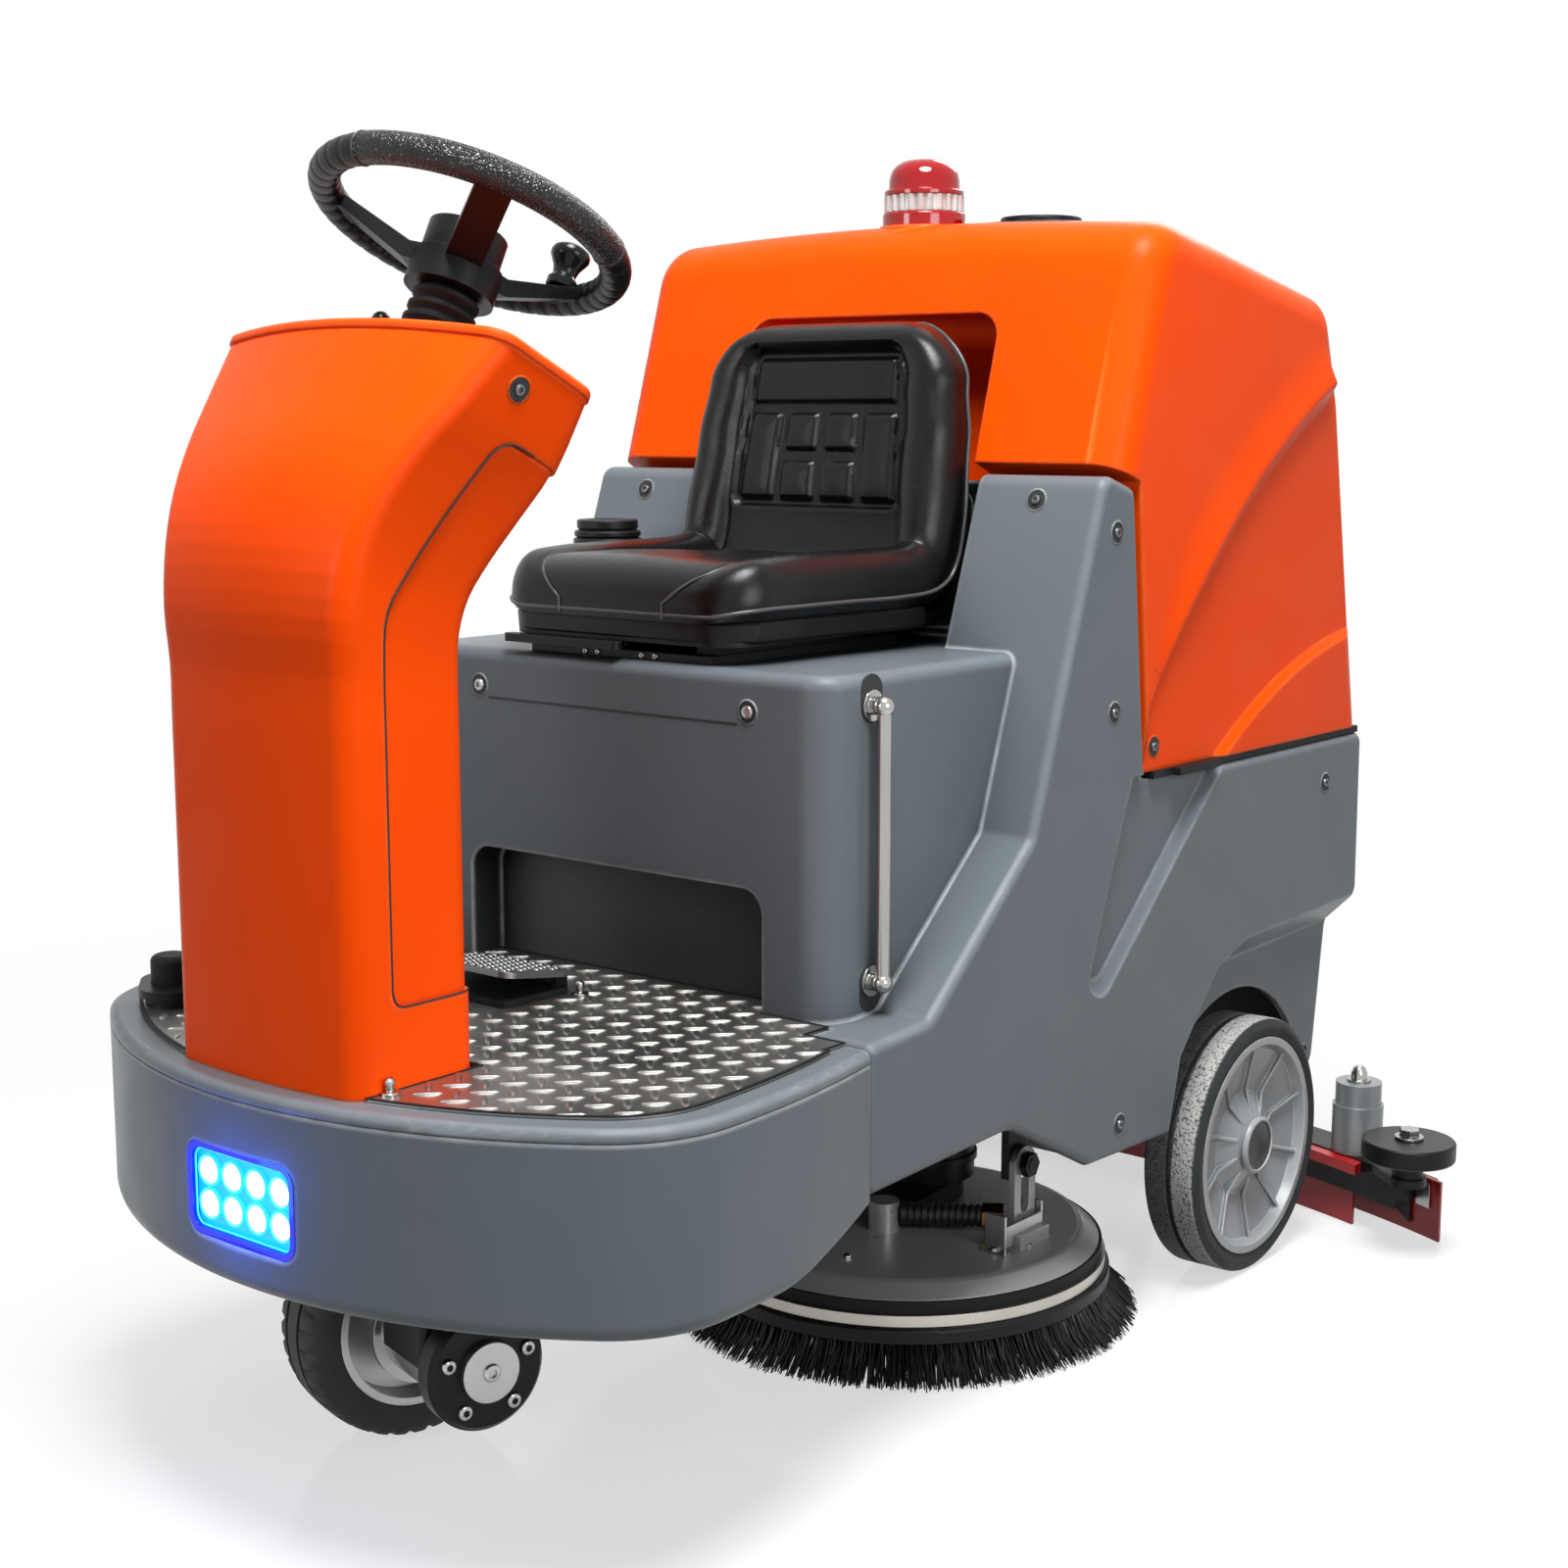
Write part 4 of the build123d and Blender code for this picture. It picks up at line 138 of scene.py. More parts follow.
class Grain(Enum):
    """How a surface was made, which sets the relief that the eye sees."""

    PEEL = "moulded in a blasted tool"
    CAST = "cast or sprayed"
    BRUSHED = "drawn over a belt"
    VINYL = "embossed hide"
    SMOOTH = "polished"


@dataclass(frozen=True)
class Finish:
    """One surface finish: colours, gloss and the relief of its making.

    Attributes:
        name: the material's common name and how it was made.
        colour: main sRGB colour.
        shade: sRGB colour that the main one drifts to.
        roughness: middle roughness.
        grain: kind of relief.
        grain_mm: width of one grain.
        relief_mm: height of the relief.
        spread: how far the roughness drifts either way.
        drift_mm: width of the patches of colour and roughness.
        metallic: 1 for bare metal.
        ior: index of refraction.
        coat: strength of a clear gloss over the colour.
        see_through: share of light that passes.
        edge: sRGB colour along the edges, worn and with a painted highlight, or nothing.
        edge_mm: width of the rounding and of the paler line, worn and with a painted highlight, along an
            edge.
        glow: strength of the light that the surface gives.
        mirror: specular level, 0.5 for a clean skin and less for one dulled by its grain.
        painted_shade_mm: reach of the shade painted into hollows, or 0 for none.
    """

    name: str
    colour: str
    shade: str
    roughness: float
    grain: Grain
    grain_mm: float
    relief_mm: float
    spread: float = 0.05
    drift_mm: float = 90.0
    metallic: float = 0.0
    ior: float = 1.5
    coat: float = 0.0
    see_through: float = 0.0
    edge: str = ""
    edge_mm: float = 1.2
    glow: float = 0.0
    mirror: float = 0.5
    painted_shade_mm: float = 0.0

    def material(self) -> bpy.types.Material:
        """Make the material, or find it where it is made already.

        Returns:
            The finish's material.
        """
        known = bpy.data.materials.get(self.name)
        if known:
            return known
        made = bpy.data.materials.new(self.name)
        made.use_nodes = True
        tree = made.node_tree
        tree.nodes.clear()
        place = add_node(tree, "ShaderNodeTexCoord", {}).outputs["Object"]
        bevel = add_node(tree, "ShaderNodeBevel", {"Radius": self.edge_mm * MM}, samples=4)
        height = self.relief(tree, place)
        bump = add_node(
            tree,
            "ShaderNodeBump",
            {"Strength": 1.0, "Distance": self.relief_mm * MM, "Height": height, "Normal": bevel.outputs[0]},
        )
        drift = add_node(
            tree, "ShaderNodeTexNoise", {"Vector": place, "Scale": per_mm(self.drift_mm), "Detail": 4.0}
        ).outputs["Fac"]
        gloss = add_node(
            tree,
            "ShaderNodeMapRange",
            {
                "Value": drift,
                "From Min": DRIFT_SPAN[0],
                "From Max": DRIFT_SPAN[1],
                "To Min": max(self.roughness - self.spread, 0.02),
                "To Max": min(self.roughness + self.spread, 1.0),
            },
        )
        shader = add_node(
            tree,
            "ShaderNodeBsdfPrincipled",
            {
                "Base Color": self.tint(tree, place, drift, bevel.outputs[0]),
                "Roughness": gloss.outputs["Result"],
                "Normal": bump.outputs["Normal"],
                "Metallic": self.metallic,
                "Coat Weight": self.coat,
                "Coat Roughness": COAT_ROUGHNESS,
                "Transmission Weight": self.see_through,
                "Specular IOR Level": self.mirror,
            },
        )
        if self.metallic == 0:
            shader.inputs["IOR"].default_value = self.ior
        if self.glow:
            shader.inputs["Emission Color"].default_value = linear(self.colour)
            shader.inputs["Emission Strength"].default_value = self.glow
        add_node(tree, "ShaderNodeOutputMaterial", {"Surface": shader.outputs["BSDF"]})
        return made

    def relief(self, tree: bpy.types.NodeTree, place: bpy.types.NodeSocket) -> bpy.types.NodeSocket:
        """Add the nodes of the relief.

        Args:
            tree: the material's node tree.
            place: the point on the object, in metres.

        Returns:
            The socket of the height, from 0 to 1.
        """
        scale = per_mm(self.grain_mm)
        if self.grain is Grain.BRUSHED:
            streak = add_node(
                tree, "ShaderNodeVectorMath", {0: place, 1: STREAK}, operation="MULTIPLY"
            )
            place = streak.outputs[0]
        if self.grain is Grain.VINYL:
            cell = add_node(
                tree,
                "ShaderNodeTexVoronoi",
                {"Vector": place, "Scale": scale},
                feature="DISTANCE_TO_EDGE",
            )
            return add_node(
                tree, "ShaderNodeMapRange", {"Value": cell.outputs["Distance"], "From Max": VALLEY}
            ).outputs["Result"]
        detail = 6.0 if self.grain is Grain.CAST else 2.0
        return add_node(
            tree, "ShaderNodeTexNoise", {"Vector": place, "Scale": scale, "Detail": detail}
        ).outputs["Fac"]

    def tint(
        self,
        tree: bpy.types.NodeTree,
        place: bpy.types.NodeSocket,
        drift: bpy.types.NodeSocket,
        rounded: bpy.types.NodeSocket,
    ) -> Setting:
        """Add the nodes of the colour: two drifting tones, painted shade in hollows and paler edges, worn
        and painted as highlights.

        Args:
            tree: the material's node tree.
            place: the point on the object, in metres.
            drift: noise that spreads the two tones.
            rounded: the normal of the rounded edge.

        Returns:
            The socket of the colour, or the colour itself where it is the same all over.
        """
        tone: Setting = linear(self.colour)
        if self.shade != self.colour:
            tone = add_node(
                tree, "ShaderNodeMix", {0: drift, 6: tone, 7: linear(self.shade)}, data_type="RGBA"
            ).outputs[2]
        # Painted shade: hollows darken through ambient occlusion
        if self.painted_shade_mm:
            tone = self.shaded(tree, tone)
        if not self.edge:
            return tone
        # Paler edges and creases: partly wear, partly a painted highlight
        flat = add_node(tree, "ShaderNodeNewGeometry", {}).outputs["Normal"]
        bend = add_node(tree, "ShaderNodeVectorMath", {0: flat, 1: rounded}, operation="DOT_PRODUCT")
        wear_and_highlight = add_node(
            tree,
            "ShaderNodeMapRange",
            {
                "Value": bend.outputs["Value"],
                "From Min": EDGE_BEND[0],
                "From Max": EDGE_BEND[1],
                "To Max": EDGE_WEAR_AND_HIGHLIGHT,
            },
        ).outputs["Result"]
        patch = add_node(
            tree, "ShaderNodeTexNoise", {"Vector": place, "Scale": per_mm(WEAR_AND_HIGHLIGHT_PATCH_MM), "Detail": 5.0}
        ).outputs["Fac"]
        share = add_node(tree, "ShaderNodeMath", {0: wear_and_highlight, 1: patch}, operation="MULTIPLY").outputs[0]
        return add_node(
            tree, "ShaderNodeMix", {0: share, 6: tone, 7: linear(self.edge)}, data_type="RGBA"
        ).outputs[2]

    def shaded(self, tree: bpy.types.NodeTree, tone: Setting) -> bpy.types.NodeSocket:
        """Add the nodes that paint shade into hollows: the colour deepens where little open sky is found.

        Args:
            tree: the material's node tree.
            tone: the colour of the open surface.

        Returns:
            The socket of the colour with its painted shade.
        """
        # Ambient occlusion paints shade into the colour of hollows and corners
        open_share = add_node(
            tree, "ShaderNodeAmbientOcclusion", {"Distance": self.painted_shade_mm * MM}, samples=8
        ).outputs["AO"]
        depth = add_node(
            tree,
            "ShaderNodeMapRange",
            {
                "Value": open_share,
                "From Min": PAINTED_SHADE_SPAN[0],
                "From Max": PAINTED_SHADE_SPAN[1],
                "To Min": PAINTED_SHADE_LEVEL,
            },
        ).outputs["Result"]
        return add_node(
            tree, "ShaderNodeMix", {0: depth, 6: (0.0, 0.0, 0.0, 1.0), 7: tone}, data_type="RGBA"
        ).outputs[2]


@dataclass(frozen=True)
class TyreFinish(Finish):
    """Moulded rubber whose outer tread half is scuffed pale, with a dark smooth side wall.

    Attributes:
        scuff: sRGB colour of the scuffed tread.
        split_mm: distance of the tread's groove from the machine's middle plane.
        split_blend_mm: half the width over which the two halves blend.
        inner_share: how scuffed the inner half is against the outer one.
        wall_span: sideways part of the normal where the scuffs end and where they are full.
        pale_span: level of the specks where they start and where they are full.
    """

    scuff: str = "#B2B3B0"
    split_mm: float = 326.0
    split_blend_mm: float = 1.0
    inner_share: float = 0.25
    wall_span: tuple[float, float] = (0.75, 0.45)
    pale_span: tuple[float, float] = (0.32, 0.52)

    def tint(
        self,
        tree: bpy.types.NodeTree,
        place: bpy.types.NodeSocket,
        drift: bpy.types.NodeSocket,
        rounded: bpy.types.NodeSocket,
    ) -> bpy.types.NodeSocket:
        """Add the nodes of the rubber's colour.

        Args:
            tree: the material's node tree.
            place: the point on the object, in metres.
            drift: noise that spreads the two tones.
            rounded: the normal of the rounded edge.

        Returns:
            The socket of the colour.
        """
        base = Finish.tint(self, tree, place, drift, rounded)
        across = add_node(tree, "ShaderNodeSeparateXYZ", {0: place}).outputs["X"]
        reach = add_node(tree, "ShaderNodeMath", {0: across}, operation="ABSOLUTE").outputs[0]
        outer = add_node(
            tree,
            "ShaderNodeMapRange",
            {
                "Value": reach,
                "From Min": (self.split_mm - self.split_blend_mm) * MM,
                "From Max": (self.split_mm + self.split_blend_mm) * MM,
                "To Min": self.inner_share,
            },
        ).outputs["Result"]
        facing = add_node(tree, "ShaderNodeTexCoord", {}).outputs["Normal"]
        sideways = add_node(tree, "ShaderNodeSeparateXYZ", {0: facing}).outputs["X"]
        wall = add_node(tree, "ShaderNodeMath", {0: sideways}, operation="ABSOLUTE").outputs[0]
        low, high = self.wall_span
        tread = add_node(
            tree, "ShaderNodeMapRange", {"Value": wall, "From Min": low, "From Max": high}
        ).outputs["Result"]
        speck = add_node(
            tree, "ShaderNodeTexNoise", {"Vector": place, "Scale": per_mm(self.grain_mm), "Detail": 3.0}
        ).outputs["Fac"]
        low, high = self.pale_span
        pale = add_node(
            tree, "ShaderNodeMapRange", {"Value": speck, "From Min": low, "From Max": high}
        ).outputs["Result"]
        share = add_node(tree, "ShaderNodeMath", {0: outer, 1: tread}, operation="MULTIPLY").outputs[0]
        share = add_node(tree, "ShaderNodeMath", {0: share, 1: pale}, operation="MULTIPLY").outputs[0]
        return add_node(
            tree, "ShaderNodeMix", {0: share, 6: base, 7: linear(self.scuff)}, data_type="RGBA"
        ).outputs[2]


# Rotomoulded polyethylene: an even satin skin with a faint orange peel, paler along its edges with a painted
# highlight
ORANGE_SHELL = Finish(
    "orange_rotomoulded_polyethylene", "#FF5004", "#FB4B02", 0.36, Grain.PEEL, 2.2, 0.05,
    edge="#FF8A4C", edge_mm=6.0, mirror=0.08,
)
# The same moulding in grey: a painted highlight along its edges and painted shade in its hollows
GREY_SHELL = Finish(
    "grey_rotomoulded_polyethylene", "#666E74", "#60686E", 0.36, Grain.PEEL, 2.2, 0.05,
    edge="#C6CCD0", edge_mm=7.0, mirror=0.22, painted_shade_mm=600.0,
)
# Stainless sheet: belt-drawn streaks across the plate
TREAD_STEEL = Finish(
    "stainless_tread_plate", "#ABAAA7", "#969592", 0.36, Grain.BRUSHED, 0.9, 0.03, 0.08, metallic=1.0
)
# Stainless bar, turned and polished: tight, bright highlights
BRIGHT_STEEL = Finish(
    "turned_stainless_steel", "#BAB9B6", "#A3A29F", 0.18, Grain.BRUSHED, 0.6, 0.01, metallic=1.0
)
# Zinc plating: a pale, slightly milky metal
ZINC_STEEL = Finish("zinc_plated_steel", "#B9BAB8", "#9C9D9B", 0.32, Grain.CAST, 1.5, 0.02, metallic=1.0)
# Phosphated steel: a dull dark metal
DULL_STEEL = Finish("phosphated_steel", "#77797B", "#5E6062", 0.34, Grain.CAST, 1.2, 0.02, metallic=1.0)
# Die-cast aluminium: a soft sheen over a fine cast grain
CAST_ALLOY = Finish("die_cast_aluminium", "#BDBEBD", "#A7A8A8", 0.34, Grain.CAST, 1.2, 0.03, metallic=1.0)
# Worn cast aluminium: grey, with no sharp highlights
PEDAL_ALLOY = Finish("dull_pedal_alloy", "#8E8F90", "#7A7B7C", 0.42, Grain.CAST, 1.4, 0.03, metallic=0.9)
# Turned brass: warm and bright
BRASS_TURNED = Finish("turned_brass", "#C69A4B", "#A97C33", 0.25, Grain.BRUSHED, 0.6, 0.01, metallic=1.0)
# Powder coat on steel: a fine pebble that shows as broken highlights
BLACK_COAT = Finish(
    "black_powder_coat", "#121315", "#0D0E10", 0.42, Grain.CAST, 1.4, 0.06,
    edge="#4A4B4D", edge_mm=0.8, mirror=0.22,
)
# Moulded ABS: satin black, greyer along its edges
BLACK_ABS = Finish(
    "black_moulded_abs", "#101113", "#0B0C0E", 0.4, Grain.PEEL, 1.2, 0.04,
    edge="#3C3D40", edge_mm=0.8, mirror=0.22,
)
# Polished ABS: black with clear reflections
GLOSS_ABS = Finish("black_gloss_abs", "#0F1012", "#0B0C0D", 0.2, Grain.PEEL, 3.0, 0.01, mirror=0.25)
# Skinned polyurethane: a shiny hide grain, drawn coarser than the real one so that it shows
GRIP_FOAM = Finish(
    "black_grip_polyurethane", "#0A0B0C", "#070708", 0.24, Grain.VINYL, 2.6, 0.5, mirror=0.4
)
# Vinyl over foam: a fine hide grain that breaks up the wide highlights
SEAT_VINYL = Finish(
    "black_embossed_vinyl", "#0A0A0B", "#070708", 0.26, Grain.VINYL, 1.6, 0.07, 0.06,
    drift_mm=60, mirror=0.26,
)
# Vinyl bead: a smooth line along the seams, its grey partly a painted highlight
PIPING_VINYL = Finish(
    "grey_piping_vinyl", "#48484A", "#3A3A3C", 0.26, Grain.SMOOTH, 2.0, 0.01, mirror=0.4
)
# Moulded rubber: matt black
RUBBER = Finish("black_moulded_rubber", "#121314", "#0D0E0F", 0.62, Grain.CAST, 1.1, 0.05, mirror=0.2)
# Hose rubber: black with a slight sheen
RIBBED_HOSE = Finish("black_hose_rubber", "#1A1B1C", "#111213", 0.5, Grain.CAST, 0.9, 0.04)
# Worn tyre rubber: pale specks on the tread, drawn coarser than the real ones so that they show
REAR_TREAD = TyreFinish(
    "scuffed_tyre_rubber", "#2B2E30", "#232628", 0.72, Grain.CAST, 2.8, 1.0,
    edge_mm=1.0, drift_mm=30, mirror=0.3,
)
# Tyre rubber that is nearly new: matt black
FRONT_TREAD = Finish("drive_tyre_rubber", "#131415", "#1C1D1E", 0.66, Grain.CAST, 1.6, 0.1)
# Moulded nylon: a silver grey skin with painted highlights on its edges and painted shade between its ribs
RIM_NYLON = Finish(
    "silver_grey_moulded_nylon", "#A2A5A8", "#94979A", 0.3, Grain.PEEL, 1.5, 0.02,
    edge="#F2F3F4", edge_mm=2.6, painted_shade_mm=45.0,
)
# Moulded ABS in charcoal: a plain satin disc
HUB_ABS = Finish("charcoal_hub_cap", "#33373A", "#2C3033", 0.42, Grain.PEEL, 1.2, 0.03)
# Hammered paint on steel: silver under a soft gloss
DECK_PAINT = Finish(
    "silver_hammered_paint", "#A9ABAD", "#999B9D", 0.34, Grain.CAST, 3.0, 0.05, 0.08,
    metallic=0.35, edge="#DADBDB",
)
# Rolled steel: a warm grey metal with fine streaks
BAND_STEEL = Finish("rolled_steel_band", "#C3BFB6", "#ADA9A1", 0.3, Grain.BRUSHED, 0.8, 0.02, metallic=1.0)
# Nylon strands: black, each with a thin sheen
BRISTLE_NYLON = Finish(
    "black_nylon_bristle", "#0D0D0E", "#1E1E1F", 0.4, Grain.CAST, 3.0, 0.01, drift_mm=9, mirror=0.25
)
# Squeegee rubber: red under a faint gloss
RED_RUBBER = Finish("red_squeegee_rubber", "#B3171B", "#A01216", 0.4, Grain.CAST, 1.6, 0.03, coat=0.15)
# Sprayed metallic paint: grey with a soft sheen
POST_PAINT = Finish("grey_post_paint", "#85898B", "#777B7D", 0.36, Grain.CAST, 1.4, 0.04, metallic=0.3)
# Tinted acrylic: deep colour with sharp highlights, light passes through
BEACON_RED = Finish(
    "red_tinted_acrylic", "#A80008", "#8E0005", 0.06, Grain.SMOOTH, 6.0, 0.01, 0.02,
    ior=1.49, see_through=0.25,
)
# Clear acrylic: pale, with sharp highlights on its ribs
BEACON_CLEAR = Finish(
    "clear_ribbed_acrylic", "#F4F1EE", "#E9E6E3", 0.06, Grain.SMOOTH, 6.0, 0.01, 0.02,
    ior=1.49, see_through=0.7,
)
# Reflector: a painted sky-blue glow that stands in for the emitters' light
LAMP_GLOW = Finish("lamp_reflector_painted_glow", "#18B2FF", "#0A78FF", 0.3, Grain.SMOOTH, 5.0, 0.01, glow=0.85)
# Cups: a painted cyan glow round each emitter and along the lens's edge
CUP_GLOW = Finish("emitter_cup_painted_glow", "#33C8FF", "#33C8FF", 0.3, Grain.SMOOTH, 5.0, 0.01, glow=0.95)
# Lit emitters: white spots
LED_GLOW = Finish("lit_led_lens", "#F4FDFF", "#F4FDFF", 0.1, Grain.SMOOTH, 5.0, 0.01, glow=4.0)
# The lamp's frame: a painted deep-blue glow that stands in for the emitters' light
FRAME_GLOW = Finish("lamp_frame_painted_glow", "#0A22E0", "#0818B8", 0.2, Grain.PEEL, 3.0, 0.01, glow=0.45)
# Matt and nearly black: the dark of a joint, and painted shade standing in for the inside of a bore or
# keyhole
DARK_GROOVE = Finish("dark_joint_and_painted_shade", "#1B1D1F", "#151719", 0.7, Grain.CAST, 1.5, 0.02)
# Black oxide on steel: a dark metal
BLACK_OXIDE = Finish("black_oxide_steel", "#222326", "#17181A", 0.3, Grain.CAST, 0.8, 0.02, metallic=0.8)

NODES_BY_FINISH: dict[Finish, Sequence[str]] = {
    GREY_SHELL: ("front_bumper", "platform_deck", "main_body", "back_panel"),
    ORANGE_SHELL: ("column_shell", "column_rear_cover", "dash_panel", "recovery_tank"),
    TREAD_STEEL: ("tread_plate",),
    PEDAL_ALLOY: ("pedal",),
    RUBBER: ("pedal_base", "foot_switch_cap", "steering_bellows", "tank_seal", "deck_skirt"),
    BLACK_ABS: (
        "foot_switch_base", "steering_wheel", "horn_button", "motor_cover", "filler_cap", "tank_lid",
        "battery_pack", "brush_block", "left_roller", "right_roller",
    ),
    BLACK_COAT: (
        "chassis_frame", "drive_fork", "seat_base", "seat_pan", "seat_lever", "brush_motor",
        "squeegee_frame",
    ),
    FRAME_GLOW: ("lamp_bezel",),
    LED_GLOW: ("lamp_leds",),
    GLOSS_ABS: ("spinner_knob", "direction_knob"),
    ZINC_STEEL: ("upper_shaft", "lower_shaft", "steering_chain"),
    CAST_ALLOY: ("drive_motor", "front_rim", "vacuum_motor"),
    FRONT_TREAD: ("front_tyre",),
    REAR_TREAD: ("left_tyre", "right_tyre"),
    RIM_NYLON: ("left_rim", "right_rim"),
    BRIGHT_STEEL: ("level_tube",),
    BLACK_OXIDE: ("shell_bolts",),
    BEACON_RED: ("beacon_base", "beacon_dome"),
    BEACON_CLEAR: ("beacon_ring",),
    SEAT_VINYL: ("seat_cushion",),
    DECK_PAINT: ("brush_deck",),
    BAND_STEEL: ("deck_band",),
    RIBBED_HOSE: ("deck_hose",),
    BRASS_TURNED: ("hose_fitting",),
    BRISTLE_NYLON: ("brush_bristles",),
    RED_RUBBER: ("squeegee_blades",),
    POST_PAINT: ("squeegee_posts",),
}
NODE_FINISHES = {name: finish for finish, names in NODES_BY_FINISH.items() for name in names}


@dataclass
class Shape:
    """A mesh in the making: points in millimetres and the faces between them."""

    points: list[Vector] = field(default_factory=list)
    faces: list[tuple[int, ...]] = field(default_factory=list)

    def join(self, other: "Shape") -> "Shape":
        """Take up another shape's points and faces.

        Args:
            other: the shape to take up.

        Returns:
            This shape.
        """
        base = len(self.points)
        self.points.extend(other.points)
        self.faces.extend(tuple(base + index for index in face) for face in other.faces)
        return self

    def moved(self, place: Matrix) -> "Shape":
        """Return a copy carried by a matrix."""
        return Shape([place @ point for point in self.points], list(self.faces))

    def piece(self, name: str, finish: Finish, body: str, sharp: float = 35.0) -> bpy.types.Object:
        """Make the shape an object that rides on a body.

        Args:
            name: the piece's name.
            finish: its surface finish.
            body: the CAD body that carries it.
            sharp: angle in degrees above which an edge stays crisp.

        Returns:
            The new object.
        """
        mesh = bpy.data.meshes.new(name)
        mesh.from_pydata([tuple(point * MM) for point in self.points], [], self.faces)
        mesh.validate()
        mesh.update()
        mesh.materials.append(finish.material())
        mesh.polygons.foreach_set("use_smooth", [True] * len(mesh.polygons))
        mesh.set_sharp_from_angle(angle=math.radians(sharp))
        made = bpy.data.objects.new(name, mesh)
        bpy.context.scene.collection.objects.link(made)
        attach(made, body)
        LOG.info("%s rides on %s with %d faces", name, body, len(self.faces))
        return made


def facing(origin: Sequence[float], toward: Sequence[float]) -> Matrix:
    """Return the matrix that sets local Z along a direction, at a point.

    Args:
        origin: the point, in millimetres.
        toward: the direction of local Z.

    Returns:
        The 4 by 4 matrix.
    """
    turn = Vector(toward).to_track_quat("Z", "Y").to_matrix().to_4x4()
    return Matrix.Translation(Vector(origin)) @ turn


def loft(rings: Sequence[Sequence[Vector]], closed: bool = False, capped: bool = True) -> Shape:
    """Join rings of points, all with the same count, in their order.

    Args:
        rings: the rings, counter-clockwise as seen from the last one.
        closed: whether the last ring runs on to the first.
        capped: whether the two end rings of an open row are filled.

    Returns:
        The joined shape.
    """
    count = len(rings[0])
    shape = Shape([point for ring in rings for point in ring])
    for row in range(len(rings) if closed else len(rings) - 1):
        low, high = row * count, (row + 1) % len(rings) * count
        for index in range(count):
            after = (index + 1) % count
            shape.faces.append((low + index, low + after, high + after, high + index))
    if capped and not closed:
        shape.faces.append(tuple(reversed(range(count))))
        shape.faces.append(tuple(range(len(shape.points) - count, len(shape.points))))
    return shape


def circle(radius: float, height: float, steps: int) -> list[Vector]:
    """Return a ring of points about Z at a height."""
    turns = [2 * math.pi * step / steps for step in range(steps)]
    return [Vector((radius * math.cos(turn), radius * math.sin(turn), height)) for turn in turns]


def lathe(profile: Outline, steps: int = 48) -> Shape:
    """Turn a profile about Z.

    Args:
        profile: points (radius, height); a radius of 0 is a pole.
        steps: divisions of the turn.

    Returns:
        The turned shape.
    """
    shape = Shape()
    rings: list[range] = []
    for radius, height in profile:
        ring = circle(radius, height, steps if radius > 0 else 1)
        rings.append(range(len(shape.points), len(shape.points) + len(ring)))
        shape.points.extend(ring)
    for low, high in zip(rings, rings[1:]):
        for step in range(steps):
            after = (step + 1) % steps
            corners = ((low, step), (low, after), (high, after), (high, step))
            face = tuple(dict.fromkeys(places[at % len(places)] for places, at in corners))
            if len(face) > 2:
                shape.faces.append(face)
    return shape


def slab(low: Sequence[float], high: Sequence[float], edge: float) -> Shape:
    """Make a block with chamfered upright and top edges.

    Args:
        low: lowest corner.
        high: highest corner.
        edge: chamfer width.

    Returns:
        The closed block.
    """
    rings = []
    for height, inset in ((low[2], 0.0), (high[2] - edge, 0.0), (high[2], edge)):
        x0, x1 = low[0] + inset, high[0] - inset
        y0, y1 = low[1] + inset, high[1] - inset
        corners = (
            (x0 + edge, y0), (x1 - edge, y0), (x1, y0 + edge), (x1, y1 - edge),
            (x1 - edge, y1), (x0 + edge, y1), (x0, y1 - edge), (x0, y0 + edge),
        )
        rings.append([Vector((x, y, height)) for x, y in corners])
    return loft(rings)


def tube(path: Sequence[Vector], radius: float, sides: int = 8, closed: bool = False) -> Shape:
    """Sweep a circle along a path.

    Args:
        path: points of the middle line.
        radius: radius of the tube.
        sides: sides of the section.
        closed: whether the path runs back to its start.

    Returns:
        The closed tube.
    """
    rings = []
    count = len(path)
    side = Vector((0.3, 0.2, 0.9))
    for index, point in enumerate(path):
        before = path[index - 1] if closed or index else point
        after = path[(index + 1) % count] if closed or index + 1 < count else point
        along = (after - before).normalized()
        side = (side - along * side.dot(along)).normalized()
        other = along.cross(side)
        rings.append([point + side * spot.x + other * spot.y for spot in circle(radius, 0, sides)])
    return loft(rings, closed)


def curve_value(table: Outline, at: float) -> float:
    """Read a table of (position, value) with smooth steps between its rows.

    Args:
        table: rows in rising order of position.
        at: the position to read.

    Returns:
        The value there.
    """
    if at <= table[0][0]:
        return table[0][1]
    for (start, low), (end, high) in zip(table, table[1:]):
        if at <= end:
            share = (at - start) / (end - start)
            return low + (high - low) * share * share * (3 - 2 * share)
    return table[-1][1]


def rounding(distance: float, radius: float) -> float:
    """Return how far a quarter round draws in.

    Args:
        distance: distance from the end of the rounded piece.
        radius: radius of the round.

    Returns:
        The draw, zero past the round.
    """
    if distance >= radius:
        return 0.0
    return radius * (1 - math.sqrt(max(0.0, 1 - (1 - distance / radius) ** 2)))


